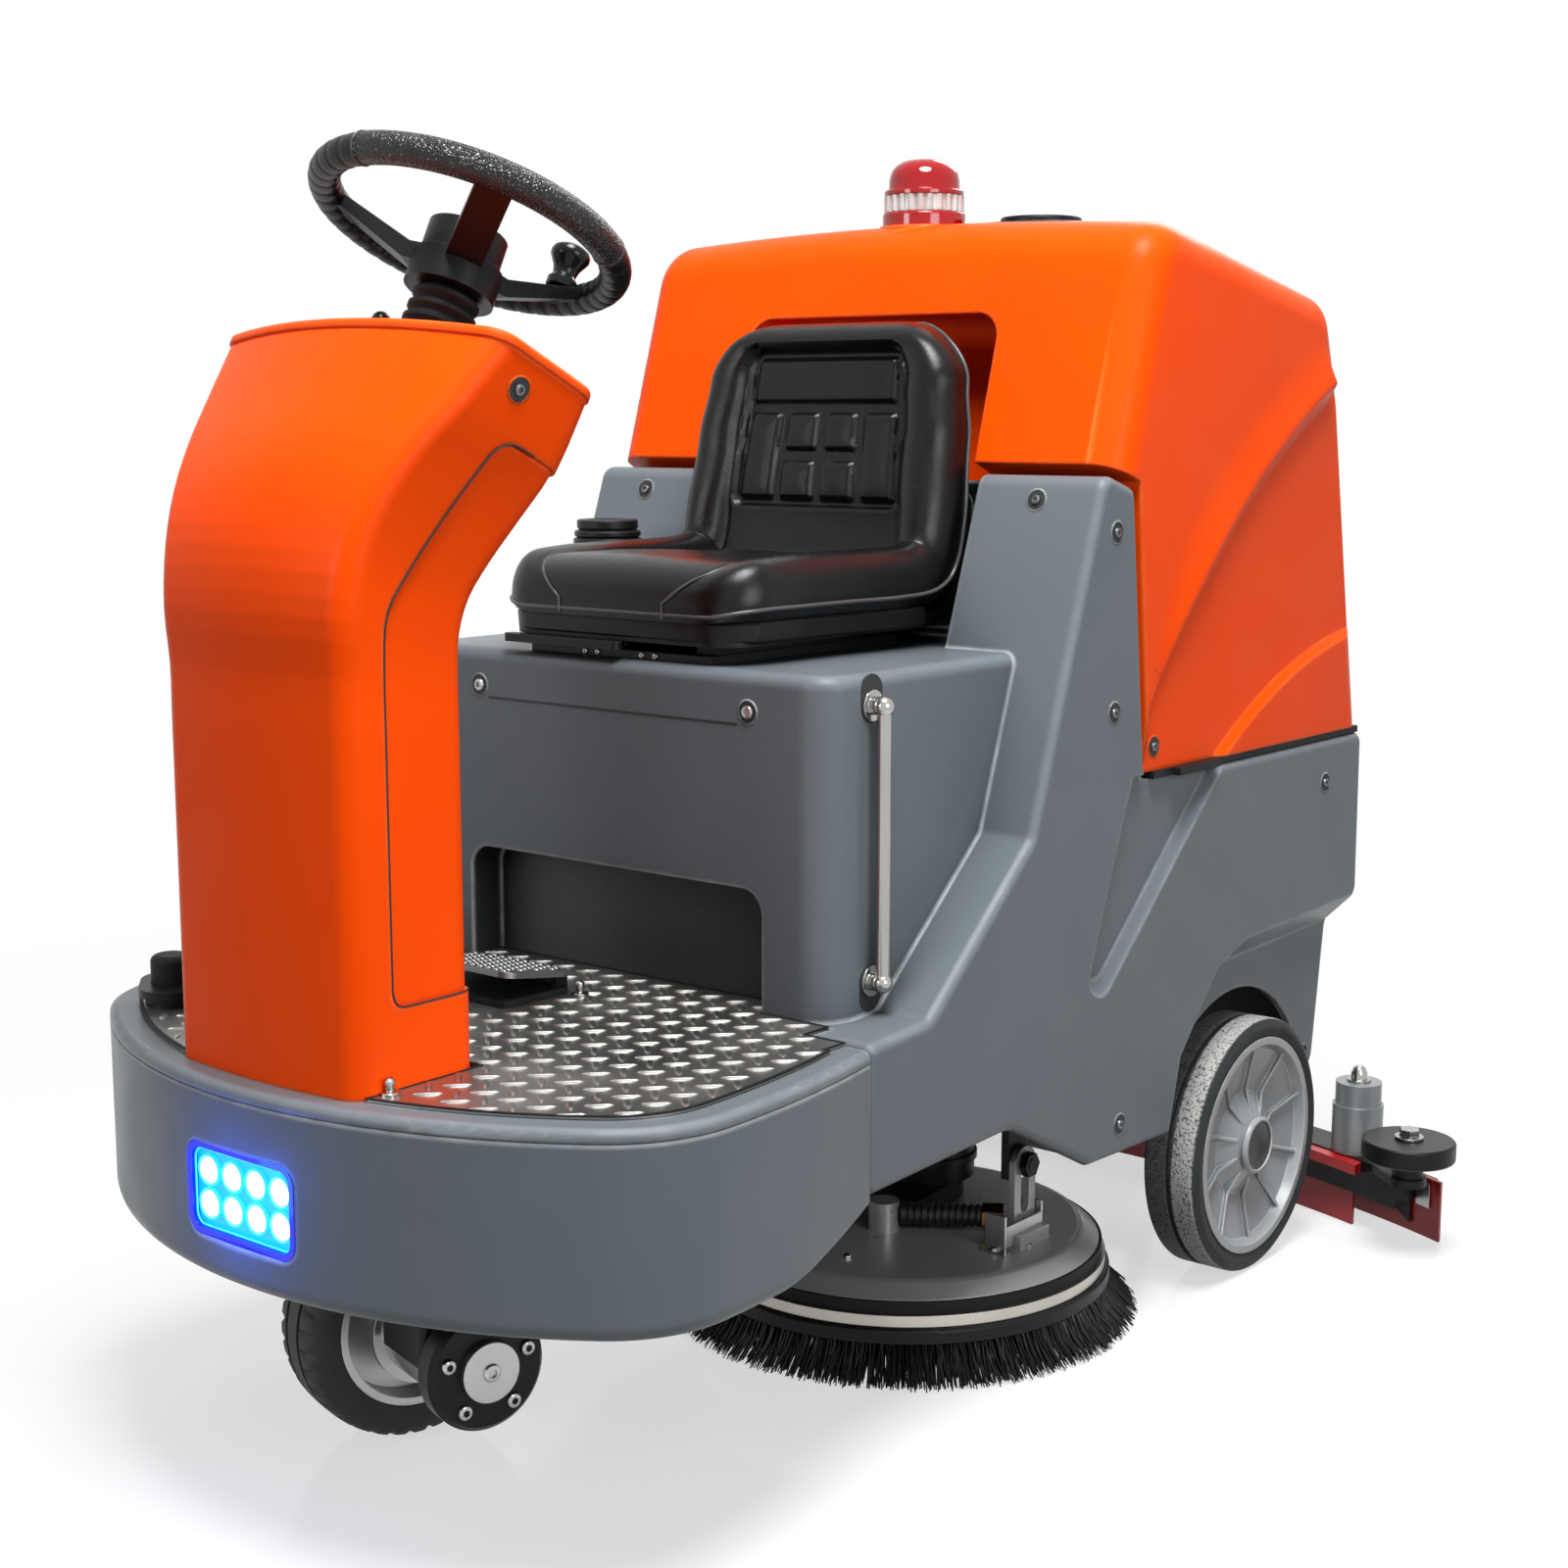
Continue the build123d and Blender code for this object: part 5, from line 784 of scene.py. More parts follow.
class Probe:
    """Finds where a straight line meets chosen CAD nodes."""

    def __init__(self, nodes: Nodes, names: Sequence[str]) -> None:
        """Build the search tree over the named nodes.

        Args:
            nodes: the CAD objects by name.
            names: the nodes to search.
        """
        points: list[Vector] = []
        faces: list[tuple[int, ...]] = []
        for name in names:
            base = len(points)
            mesh = nodes[name].data
            points.extend(vertex.co / MM for vertex in mesh.vertices)
            faces.extend(tuple(base + index for index in polygon.vertices) for polygon in mesh.polygons)
        self.tree = BVHTree.FromPolygons(points, faces)

    def meet(self, start: Sequence[float], toward: Sequence[float]) -> tuple[Vector, Vector]:
        """Return the first point that a line meets and the surface's normal there.

        Args:
            start: the line's start, in millimetres.
            toward: its direction.

        Returns:
            The point, or the start where nothing is met, and the normal, which looks back along the line.
        """
        heading = Vector(toward).normalized()
        point, normal, _, _ = self.tree.ray_cast(Vector(start), heading)
        if point is None:
            return Vector(start), -heading
        return point, normal if normal.dot(heading) < 0 else -normal


def socket_bolt(radius: float, height: float) -> Shape:
    """Make a button-head bolt with a hexagon socket, standing on Z = 0.

    Args:
        radius: radius of the head.
        height: height of the head.

    Returns:
        The closed bolt head.
    """
    steps = 24
    outside = ((1.0, -1.0), (1.0, 0.35 * height), (0.88, 0.8 * height), (0.62, height))
    rings = [circle(radius * reach, level, steps) for reach, level in outside]
    sixth = math.pi / 3
    for level in (height, 0.25 * height):
        ring = []
        for spot in circle(0.42 * radius, level, steps):
            sector = (math.atan2(spot.y, spot.x) + sixth / 2) % sixth - sixth / 2
            ring.append(Vector((spot.x / math.cos(sector), spot.y / math.cos(sector), level)))
        rings.append(ring)
    return loft(rings)


def hexagon_nut(reach: float, height: float) -> Shape:
    """Make a chamfered hexagon nut or bolt head standing on Z = 0.

    Args:
        reach: distance from its axis to a corner.
        height: its height.

    Returns:
        The closed nut.
    """
    return lathe(((0, 0), (reach, 0), (reach, height - 1), (reach - 1.4, height), (0, height)), 6)


@dataclass
class Shells:
    """The grey and orange mouldings: bolts in their bores, seams, keyholes and the tank's ridges."""

    nodes: Nodes
    bolt_radius: float = 5.4
    hatch_bolt_radius: float = 6.6
    bolt_height: float = 3.0
    bore: Outline = ((0, 0.25), (10.4, 0.25), (10.6, -0.8), (0, -0.8))
    bore_rim: Outline = ((10.4, -0.8), (10.5, 0.6), (11.1, 0.8), (12.9, 0.1), (12.9, -0.8), (10.4, -0.8))
    side_bolts: Outline = ((132, 245), (591, 560), (101, 878), (103, 692), (198, 646), (613, 215))
    cheek_bolts: Outline = ((272, 910), (-272, 910))
    cheek_ahead: float = -330.0
    front_bolts: Outline = ((183, 718), (-183, 718))
    column_bolt: tuple[float, float] = (-574, 1018)
    recess_bolt: tuple[float, float] = (-8, 1088)
    seat_box_front: float = -287.0
    hatch_z: float = 706.0
    hatch_half: float = 170.0
    hatch_gap: float = 1.8
    hatch_proud: float = 0.5
    hatch_depth: float = 1.0
    hatch_edge: float = 0.3
    tube_ends: Outline = ((-227, 727), (-227, 461))
    tube_side: float = 285.0
    keyhole_radius: float = 17.0
    keyhole_slot: float = 13.0
    keyhole_faces: tuple[float, float] = (-1.0, 0.4)
    keyhole_steps: int = 24
    cover_middle: tuple[float, float] = (-600.0, 700.0)
    cover_reach: float = 330.0
    seam_arc: tuple[float, float] = (60.0, 250.0)
    seam_steps: int = 160
    seam_radius: float = 0.9
    seam_flush: float = 0.4
    seam_beyond: float = 4.0
    column_least: float = 60.0
    halvings: int = 16
    crease_middle: tuple[float, float] = (944.0, 196.5)
    crease_radius: float = 916.0
    crease_arc: tuple[float, float] = (145.0, 114.0)
    crease_steps: int = 60
    crease_swell: float = 0.35
    crease_narrow: float = 0.3
    crease_width: float = 64.0
    crease_height: float = 7.5
    crease_parts: int = 10
    crease_sink: float = 0.1
    crease_lead: float = 2.0
    crease_under: Outline = ((-3, 6.2), (-6, 4.2), (-22, -6.8), (-28, -8.6), (-28, -14))
    crease_root: Outline = ((88, -14), (88, -3.5), (76, -0.8))

    def bolt_places(self) -> dict[str, list[Matrix]]:
        """Return the place of every bolt on the grey and on the orange mouldings.

        Returns:
            Matrices with Z out of the surface, under "grey" and "orange".
        """
        skins = {
            "grey": Probe(self.nodes, ("main_body",)),
            "orange": Probe(self.nodes, ("recovery_tank", "column_shell", "column_rear_cover")),
        }
        lines = [((x, self.cheek_ahead, z), (0, 1, 0)) for x, z in self.cheek_bolts]
        lines.append(((self.recess_bolt[0], 0, self.recess_bolt[1]), (0, 1, 0)))
        for side in (-1, 1):
            for y, z in (*self.side_bolts, self.column_bolt):
                lines.append(((side * OUTSIDE, y, z), (-side, 0, 0)))
        places: dict[str, list[Matrix]] = {"grey": [], "orange": []}
        for start, toward in lines:
            hits = {shade: skin.meet(start, toward) for shade, skin in skins.items()}
            gaps = {shade: (point - Vector(start)).length for shade, (point, _) in hits.items()}
            # A line that meets nothing gives its own start
            near = min((shade for shade in gaps if gaps[shade] > 1), key=gaps.get)
            places[near].append(facing(*hits[near]))
        return places

    def build(self) -> None:
        """Add the bolts, each on a dark disc of painted shade for its counterbore, the seams, the keyholes
        and the ridges.
        """
        bore, rim = lathe(self.bore), lathe(self.bore_rim)
        head = socket_bolt(self.bolt_radius, self.bolt_height)
        hatch_head = socket_bolt(self.hatch_bolt_radius, self.bolt_height)
        heads, hatch_heads, bores = Shape(), Shape(), Shape()
        places = self.bolt_places()
        for places_here in places.values():
            for place in places_here:
                heads.join(head.moved(place))
        for x, z in self.front_bolts:
            place = facing((x, self.seat_box_front, z), (0, -1, 0))
            hatch_heads.join(hatch_head.moved(place))
            places["grey"].append(place)
        for shade, finish in (("grey", GREY_SHELL), ("orange", ORANGE_SHELL)):
            rims = Shape()
            for place in places[shade]:
                bores.join(bore.moved(place))
                rims.join(rim.moved(place))
            rims.piece(f"{shade}_bolt_rims", finish, "frame")
        bolts = heads.piece("socket_bolts", DULL_STEEL, "frame")
        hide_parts("shell_bolts")
        hatch_heads.piece("hatch_bolts", ZINC_STEEL, "frame")
        # Dark discs under the bolts: painted shade where the counterbores would be dark
        bores.piece("bolt_counterbores", DARK_GROOVE, "frame")
        seam = slab(
            (-self.hatch_half, self.seat_box_front - self.hatch_proud, self.hatch_z - self.hatch_gap / 2),
            (self.hatch_half, self.seat_box_front + self.hatch_depth, self.hatch_z + self.hatch_gap / 2),
            self.hatch_edge,
        )
        seam.piece("hatch_seam", DARK_GROOVE, "frame")
        self.build_keyholes()
        self.build_column_seams()
        self.build_tank_ridges()

    def build_tank_ridges(self) -> None:
        """Raise a ridge along the crease over each side panel of the tank, fading out at its lower end."""
        skin = Probe(self.nodes, ("recovery_tank",))
        rises = []
        for step in range(self.crease_parts + 1):
            part = 1 - step / self.crease_parts
            rises.append((self.crease_width * part, self.crease_height * (1 - part) ** 2 - self.crease_sink))
        start, end = self.crease_arc
        rings = []
        for step in range(self.crease_steps):
            along = step / (self.crease_steps - 1)
            turn = math.radians(start + along * (end - start))
            swell = math.sin(math.pi / 2 * min(1.0, along / self.crease_swell))
            spread = self.crease_narrow + (1 - self.crease_narrow) * swell
            ring = []
            for offset, rise in (*self.crease_root, *rises, *self.crease_under):
                beside = self.crease_radius + spread * min(max(offset, self.crease_lead), self.crease_width)
                outside = (OUTSIDE, *self.polar(self.crease_middle, beside, turn))
                foot = skin.meet(outside, (-1, 0, 0))[0].x
                height = rise * swell if rise > 0 else rise
                spot = self.polar(self.crease_middle, self.crease_radius + spread * offset, turn)
                ring.append(Vector((foot + height, *spot)))
            rings.append(ring)
        ridge = loft(rings)
        other = Shape(
            [Vector((-point.x, point.y, point.z)) for point in ridge.points],
            [tuple(reversed(face)) for face in ridge.faces],
        )
        ridge.join(other).piece("tank_ridges", ORANGE_SHELL, "frame", 40)

    @staticmethod
    def polar(middle: tuple[float, float], reach: float, turn: float) -> tuple[float, float]:
        """Return Y and Z at a distance from a middle, at an angle in radians."""
        return middle[0] + reach * math.cos(turn), middle[1] + reach * math.sin(turn)

    def build_column_seams(self) -> None:
        """Draw the thin dark gap where the rear cover meets the sides of the column."""
        skins = [Probe(self.nodes, (name,)) for name in ("column_rear_cover", "column_shell")]
        missed = OUTSIDE - 1
        seams = Shape()
        for side in (-1, 1):
            path: list[Vector] = []
            for step in range(self.seam_steps):
                turn = math.radians(self.seam_arc[0] + self.seam_arc[1] * step / (self.seam_steps - 1))
                inside, outside = 0.0, self.cover_reach
                for _ in range(self.halvings):
                    reach = (inside + outside) / 2
                    start = (side * OUTSIDE, *self.polar(self.cover_middle, reach, turn))
                    cover, shell = (skin.meet(start, (-side, 0, 0))[0].x * side for skin in skins)
                    if cover < missed and (shell > missed or cover > shell - self.seam_flush):
                        inside = reach
                    else:
                        outside = reach
                start = (side * OUTSIDE, *self.polar(self.cover_middle, inside + self.seam_beyond, turn))
                shell = skins[1].meet(start, (-side, 0, 0))[0].x * side
                if self.column_least < shell < missed:
                    path.append(Vector((side * shell, *self.polar(self.cover_middle, inside, turn))))
            if len(path) > 2:
                seams.join(tube(path, self.seam_radius))
        seams.piece("column_seams", DARK_GROOVE, "frame", 60)

    def build_keyholes(self) -> None:
        """Add a dark slab behind each end of the level tube: painted shade for the keyhole recess."""
        holes = Shape()
        for (y, z), drop in zip(self.tube_ends, (-1, 1)):
            rings = []
            for face in self.keyhole_faces:
                ring = []
                for spot in circle(self.keyhole_radius, 0, self.keyhole_steps):
                    stretch = self.keyhole_slot if spot.y * drop < 0 else 0
                    ring.append(Vector((self.tube_side + face, y + spot.x, z + spot.y - drop * stretch)))
                rings.append(ring)
            holes.join(loft(rings))
        holes.piece("tube_keyholes", DARK_GROOVE, "frame")


@dataclass
class Platform:
    """The operator's platform: tread lugs, the plate's edge seal, pedal studs and plate studs."""

    nodes: Nodes
    plate_top: float = 427.0
    above: float = 520.0
    pitch: float = 34.0
    row_gap: float = 17.0
    lug_length: float = 27.0
    lug_width: float = 7.6
    lug_height: float = 1.6
    lug_stations: Sequence[float] = (-1.0, -0.7, -0.35, 0.0, 0.35, 0.7, 1.0)
    lug_section: Outline = ((1.0, -0.3), (0.7, 0.96), (0.0, 1.0), (-0.7, 0.96), (-1.0, -0.3))
    lug_swell: float = 1.6
    lug_turn: float = 45.0
    lug_clear: float = 2.0
    lug_above: float = 470.0
    flush: float = 0.05
    wall_lean: float = 0.2
    level_least: float = 0.9
    half_columns: int = 11
    front: float = -760.0
    rear: float = -240.0
    seal_section: Outline = ((1.6, -0.4), (1.6, 0.7), (-2.2, 0.7), (-2.2, -0.4))
    stud: Outline = (
        (0, -0.5), (9, -0.5), (9, 2.4), (7.5, 3.4), (4.2, 3.8), (4.2, 8.5), (5.2, 10.5), (4.8, 13),
        (2.8, 14.8), (0, 15.4),
    )
    studs: Outline = ((130.0, -697.0), (14.0, -346.0))
    pedal_stud: Outline = ((0, -0.4), (3.4, -0.4), (3.4, 0.3), (2.6, 1.3), (1.2, 1.9), (0, 2.0))
    pedal_low: tuple[float, float] = (-122.0, -424.0)
    pedal_high: tuple[float, float] = (-8.0, -346.0)
    pedal_pitch: float = 11.0

    def lug(self) -> Shape:
        """Make one lens-shaped lug lying along X on Z = 0.

        Returns:
            The lug, whose ends run out to short upright lines.
        """
        rings = []
        for share in self.lug_stations:
            swell = math.sqrt(1 - share * share)
            ring = []
            for across, lift in self.lug_section:
                level = self.lug_height * lift * min(1.0, self.lug_swell * swell) if lift > 0 else lift
                wide = across * swell * self.lug_width / 2
                ring.append(Vector((share * self.lug_length / 2, wide, level)))
            rings.append(ring)
        return loft(rings, capped=False)

    def build(self) -> None:
        """Add all pieces of the platform."""
        self.build_lugs()
        self.build_seal()
        self.build_pedal_studs()
        stud = lathe(self.stud, 24)
        studs = Shape()
        for x, y in self.studs:
            studs.join(stud.moved(Matrix.Translation((x, y, self.plate_top))))
        studs.piece("plate_studs", BRIGHT_STEEL, "frame")

    def build_lugs(self) -> None:
        """Cover the bare plate with rows of lugs that lie in two directions in turn."""
        seen = Probe(
            self.nodes,
            (
                "tread_plate", "column_shell", "column_rear_cover", "pedal_base", "pedal",
                "foot_switch_base", "main_body", "platform_deck",
            ),
        )
        plate = Probe(self.nodes, ("tread_plate",))
        one = self.lug()
        lugs = Shape()
        rows = int((self.rear - self.front) / self.row_gap)
        for row in range(rows):
            for column in range(-self.half_columns, self.half_columns + 1):
                x, y = (column + 0.5 * (row % 2)) * self.pitch, self.front + row * self.row_gap
                angle = math.radians(self.lug_turn if row % 2 else -self.lug_turn)
                ends = Vector((math.cos(angle), math.sin(angle), 0)) * (self.lug_length / 2 + self.lug_clear)
                spots = [Vector((x, y, self.lug_above)) + ends * share for share in (-1, -0.5, 0, 0.5, 1)]
                levels = [seen.meet(spot, (0, 0, -1))[0].z for spot in spots]
                carried = [plate.meet(spot, (0, 0, -1))[0].z for spot in spots]
                if all(abs(level - self.plate_top) < self.flush for level in levels + carried):
                    turn = Matrix.Translation((x, y, self.plate_top)) @ Matrix.Rotation(angle, 4, "Z")
                    lugs.join(one.moved(turn))
        lugs.piece("tread_lugs", TREAD_STEEL, "frame", 24)

    def build_seal(self) -> None:
        """Lay a black strip along the edges of the plate."""
        mesh = self.nodes["tread_plate"].data
        top = self.plate_top * MM
        near = 1e-5
        points: dict[tuple[int, ...], Vector] = {}
        outward: dict[tuple[int, ...], Vector] = {}
        edges: dict[frozenset[tuple[int, ...]], list[tuple[int, ...]]] = {}
        for polygon in mesh.polygons:
            if abs(polygon.normal.z) > self.wall_lean:
                continue
            ring = [mesh.vertices[index].co for index in polygon.vertices]
            for ends in zip(ring, ring[1:] + ring[:1]):
                off_top = any(abs(spot.z - top) >= near for spot in ends)
                if off_top or (ends[0] - ends[1]).length <= near / 10:
                    continue
                keys = [tuple(round(value / near) for value in spot) for spot in ends]
                edges.setdefault(frozenset(keys), keys)
                for key, spot in zip(keys, ends):
                    points.setdefault(key, spot / MM)
                    outward[key] = outward.get(key, Vector()) + polygon.normal.normalized()
        strip = Shape()
        for keys in edges.values():
            rings = []
            for key in keys:
                out = outward[key].normalized()
                spots = [out * reach + Vector((0, 0, lift)) for reach, lift in self.seal_section]
                rings.append([points[key] + spot for spot in spots])
            strip.join(loft(rings, capped=False))
        strip.piece("plate_edge_seal", RUBBER, "frame")

    def build_pedal_studs(self) -> None:
        """Set staggered rows of small studs on the drive pedal."""
        pad = Probe(self.nodes, ("pedal",))
        dome = lathe(self.pedal_stud, 10)
        studs = Shape()
        columns = int((self.pedal_high[0] - self.pedal_low[0]) / self.pedal_pitch) + 1
        rows = int((self.pedal_high[1] - self.pedal_low[1]) / self.pedal_pitch) + 1
        for row in range(rows):
            for column in range(columns):
                x = self.pedal_low[0] + (column + 0.5 * (row % 2)) * self.pedal_pitch
                y = self.pedal_low[1] + row * self.pedal_pitch
                point, normal = pad.meet((x, y, self.above), (0, 0, -1))
                if x <= self.pedal_high[0] and point.z < self.above and normal.z > self.level_least:
                    studs.join(dome.moved(facing(point, normal)))
        studs.piece("pedal_studs", ZINC_STEEL, "drive_pedal")


@dataclass
class Lamp:
    """The lit front lamp: a reflector with a cup round each emitter."""

    pitch_x: float = 32.5
    pitch_z: float = 31.0
    columns: int = 4
    rows: int = 2
    cup: Outline = ((12.3, 0.2), (12.9, 3.0), (14.2, 3.4), (15, 0.2), (12.3, 0.2))
    reflector_half: tuple[float, float] = (70.0, 37.0)
    reflector_thickness: float = 1.2
    reflector_edge: float = 0.5
    proud: float = 0.6
    lens_half: tuple[float, float] = (65.5, 35.5)
    lens_corner: float = 11.0
    corner_steps: int = 8
    lens_line: float = 1.0
    lens_depth: float = 4.0

    def lens_edge(self, middle: Vector, y: float) -> list[Vector]:
        """Return the rounded rectangle of the lens, as a closed path.

        Args:
            middle: centre of the lamp.
            y: place of the lens along Y.

        Returns:
            Points of the path.
        """
        half_x, half_z = (half - self.lens_corner for half in self.lens_half)
        path = []
        for quarter, (side, lift) in enumerate(((1, 1), (-1, 1), (-1, -1), (1, -1))):
            for step in range(self.corner_steps + 1):
                angle = math.pi / 2 * (quarter + step / self.corner_steps)
                x = middle.x + side * half_x + self.lens_corner * math.cos(angle)
                z = middle.z + lift * half_z + self.lens_corner * math.sin(angle)
                path.append(Vector((x, y, z)))
        return path

    def build(self) -> None:
        """Add the reflector plate, its cups and the line round the lens, all with a painted glow."""
        low, high = (corner / MM for corner in map(Vector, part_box("lamp_leds")))
        middle = (low + high) / 2
        floor = high.y
        wide, tall = self.reflector_half
        upright = Matrix.Rotation(math.pi / 2, 4, "X")
        place = Matrix.Translation((middle.x, floor + self.proud, middle.z)) @ upright
        reflector = slab((-wide, -tall, 0), (wide, tall, self.reflector_thickness), self.reflector_edge)
        reflector = reflector.moved(place)
        reflector.piece("lamp_reflector", LAMP_GLOW, "frame")
        cups = Shape()
        cup = lathe(self.cup, 32)
        for column in range(self.columns):
            for row in range(self.rows):
                x = middle.x + (column - (self.columns - 1) / 2) * self.pitch_x
                z = middle.z + (row - (self.rows - 1) / 2) * self.pitch_z
                cups.join(cup.moved(facing((x, floor - self.proud, z), (0, -1, 0))))
        cups.join(tube(self.lens_edge(middle, floor - self.lens_depth), self.lens_line, closed=True))
        cups.piece("emitter_cups", CUP_GLOW, "frame")


@dataclass
class Helm:
    """The controls at the wheel: its grooved sleeve and grained hand rest, the spinner and the lever."""

    centre: tuple[float, float, float] = (0.0, -460.0, 1165.0)
    tilt: float = 26.0
    rim_radius: float = 138.0
    sleeve: float = 14.5
    groove: float = 1.5
    grip_pitch: float = 7.5
    rest_start: float = 270.0
    rest_sweep: float = 112.0
    steps: int = 384
    sides: int = 20
    rest_rise: float = 0.35
    seam_rise: float = 0.4
    seam_radius: float = 0.9
    scallop: float = 1.6
    knob_foot: tuple[float, float, float] = (10.11, -356.14, 1114.34)
    knob: Outline = (
        (0, 0.3), (13.5, 0.3), (14.5, 1.5), (14.5, 9), (13, 10.4), (11.4, 13), (11.4, 16), (13, 22),
        (16.4, 28), (19, 32.6), (19, 36.6), (17.4, 40), (13, 43), (7, 44.6), (0, 45),
    )
    lever_foot: tuple[float, float, float] = (-80.0, -524.0, 1033.78)
    lever: Outline = (
        (0, 0), (5, 0), (5, 47), (7.4, 48.4), (8.6, 51), (9, 54), (8.5, 57.5), (6.9, 60.5), (4, 62.6),
        (0, 63.2),
    )

    def plane(self) -> Matrix:
        """Return the matrix of the wheel's plane."""
        return Matrix.Translation(self.centre) @ Matrix.Rotation(-math.radians(self.tilt), 4, "X")

    def is_smooth(self, degrees: float) -> bool:
        """Tell whether the rim is a plain hand rest at an angle."""
        return (degrees - self.rest_start) % 360 <= self.rest_sweep

    def sleeve_at(self, degrees: float, around: float) -> float:
        """Return the sleeve's radius at an angle of the rim and an angle round its section.

        Args:
            degrees: angle round the wheel.
            around: angle round the section, 0 at the rim's outside.

        Returns:
            The radius in millimetres.
        """
        if self.is_smooth(degrees):
            return self.sleeve + self.rest_rise
        phase = degrees / self.grip_pitch * 2 * math.pi
        dip = max(0.0, math.cos(phase)) ** 6
        inner = max(0.0, -math.cos(around)) ** 2
        return self.sleeve - self.groove * dip * (1 - inner) - self.scallop * math.cos(phase) / 2 * inner

    def arounds(self) -> list[float]:
        """Return the angles round the rim's section, in radians."""
        return [2 * math.pi * side / self.sides for side in range(self.sides)]

    def on_rim(self, degrees: float, around: float, radius: float) -> Vector:
        """Return a point on or near the rim.

        Args:
            degrees: angle round the wheel.
            around: angle round the rim's section, in radians, 0 at the rim's outside.
            radius: distance from the section's middle.

        Returns:
            The point in the machine's frame.
        """
        turn = math.radians(degrees)
        reach = self.rim_radius + radius * math.cos(around)
        height = radius * math.sin(around)
        return self.plane() @ Vector((reach * math.cos(turn), reach * math.sin(turn), height))

    def build(self) -> None:
        """Add the sleeve on the rim, its seam rings, the spinner knob and the direction lever."""
        self.build_sleeve()
        upward = self.plane().to_3x3() @ Vector((0, 0, 1))
        for name, outline, foot, body, node in (
            ("spinner_grip", self.knob, self.knob_foot, "spinner", "spinner_knob"),
            ("direction_lever", self.lever, self.lever_foot, "direction", "direction_knob"),
        ):
            made = lathe(outline, 40).moved(facing(foot, upward)).piece(name, GLOSS_ABS, body, 30)
            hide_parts(node)
        rings = Shape()
        for degrees in (self.rest_start, self.rest_start + self.rest_sweep):
            path = [self.on_rim(degrees, around, self.sleeve + self.seam_rise) for around in self.arounds()]
            rings.join(tube(path, self.seam_radius, closed=True))
        rings.piece("grip_seams", PIPING_VINYL, "steering", 60)

    def build_sleeve(self) -> None:
        """Add the sleeve with its finger grooves and the grained hand rest."""
        angles = [360 * step / self.steps for step in range(self.steps)]
        inward = list(reversed(self.arounds()))
        rings = []
        for degrees in angles:
            radii = [self.sleeve_at(degrees, around) for around in inward]
            rings.append([self.on_rim(degrees, around, radius) for around, radius in zip(inward, radii)])
        sleeve = loft(rings, closed=True).piece("rim_sleeve", BLACK_ABS, "steering", 60)
        sleeve.data.materials.append(GRIP_FOAM.material())
        for polygon in sleeve.data.polygons:
            polygon.material_index = int(self.is_smooth(angles[polygon.index // self.sides]))


@dataclass
class Drive:
    """The steered drive unit: bright cover bolts and a treaded tyre."""

    centre: tuple[float, float, float] = (0.0, -522.0, 118.0)
    rest: float = -16.0
    cover_face: float = 86.0
    bolt_circle: float = 43.2
    tyre_inner: float = -54.0
    tyre_width: float = 78.0
    bore: float = 84.3
    half_tread: Outline = (
        (0.0, 96.0), (0.02, 106.0), (0.06, 112.5), (0.12, 116.0), (0.2, 117.3), (0.3, 117.8),
        (0.31, 113.0), (0.36, 113.0), (0.37, 118.0),
    )
    crown: tuple[float, float] = (0.5, 118.0)
    shoulder: float = 0.3
    cut_depth: float = 4.5
    cut_least: float = 110.0
    cut_share: float = 0.25
    cut_count: int = 36
    cut_slant: float = 1.68
    steps: int = 144
    bolt_count: int = 5
    bolt_turn: float = 18.0
    bolt_size: tuple[float, float] = (7.5, 5.2)
    hub_bolt_size: tuple[float, float] = (9.0, 3.0)
    hub_bolt_rise: float = 8.0

    def plane(self) -> Matrix:
        """Return the place of the drive unit.

        Returns:
            The matrix whose Z runs along the axle, with X level.
        """
        turn = math.radians(self.rest)
        along = Vector((math.cos(turn), math.sin(turn), 0))
        level = Vector((-math.sin(turn), math.cos(turn), 0))
        up = along.cross(level)
        columns = Matrix((level, up, along)).transposed().to_4x4()
        return Matrix.Translation(self.centre) @ columns

    def build(self) -> None:
        """Add the bolts and the tyre."""
        plane = self.plane()
        bolts = Shape()
        for index in range(self.bolt_count):
            angle = math.radians(self.bolt_turn + 360 / self.bolt_count * index)
            spot = (self.bolt_circle * math.cos(angle), self.bolt_circle * math.sin(angle), self.cover_face)
            bolts.join(socket_bolt(*self.bolt_size).moved(plane @ Matrix.Translation(spot)))
        spot = (0, 0, self.cover_face + self.hub_bolt_rise)
        bolts.join(socket_bolt(*self.hub_bolt_size).moved(plane @ Matrix.Translation(spot)))
        bolts.piece("motor_bolts", BRIGHT_STEEL, "fork")
        tyre = self.tyre().moved(plane).piece("drive_tread", FRONT_TREAD, "front_wheel", 40)
        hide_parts("front_tyre")

    def tyre(self) -> Shape:
        """Make the tyre with two grooves and slanted cross cuts in its shoulders.

        Returns:
            The tyre about Z.
        """
        far = self.tyre_inner - self.tyre_width
        half = [(0.0, self.bore), *self.half_tread]
        stations = [*half, self.crown, *((1 - share, radius) for share, radius in reversed(half))]
        rings = []
        for share, radius in stations:
            ring = []
            for step in range(self.steps):
                phase = (step / self.steps * self.cut_count + self.cut_slant * abs(share - 0.5)) % 1.0
                outer = share < self.shoulder or share > 1 - self.shoulder
                cut = self.cut_depth if outer and phase < self.cut_share and radius > self.cut_least else 0.0
                angle = 2 * math.pi * step / self.steps
                reach = radius - cut
                height = far + share * self.tyre_width
                ring.append(Vector((reach * math.cos(angle), reach * math.sin(angle), height)))
            rings.append(ring)
        return loft(rings, closed=True)


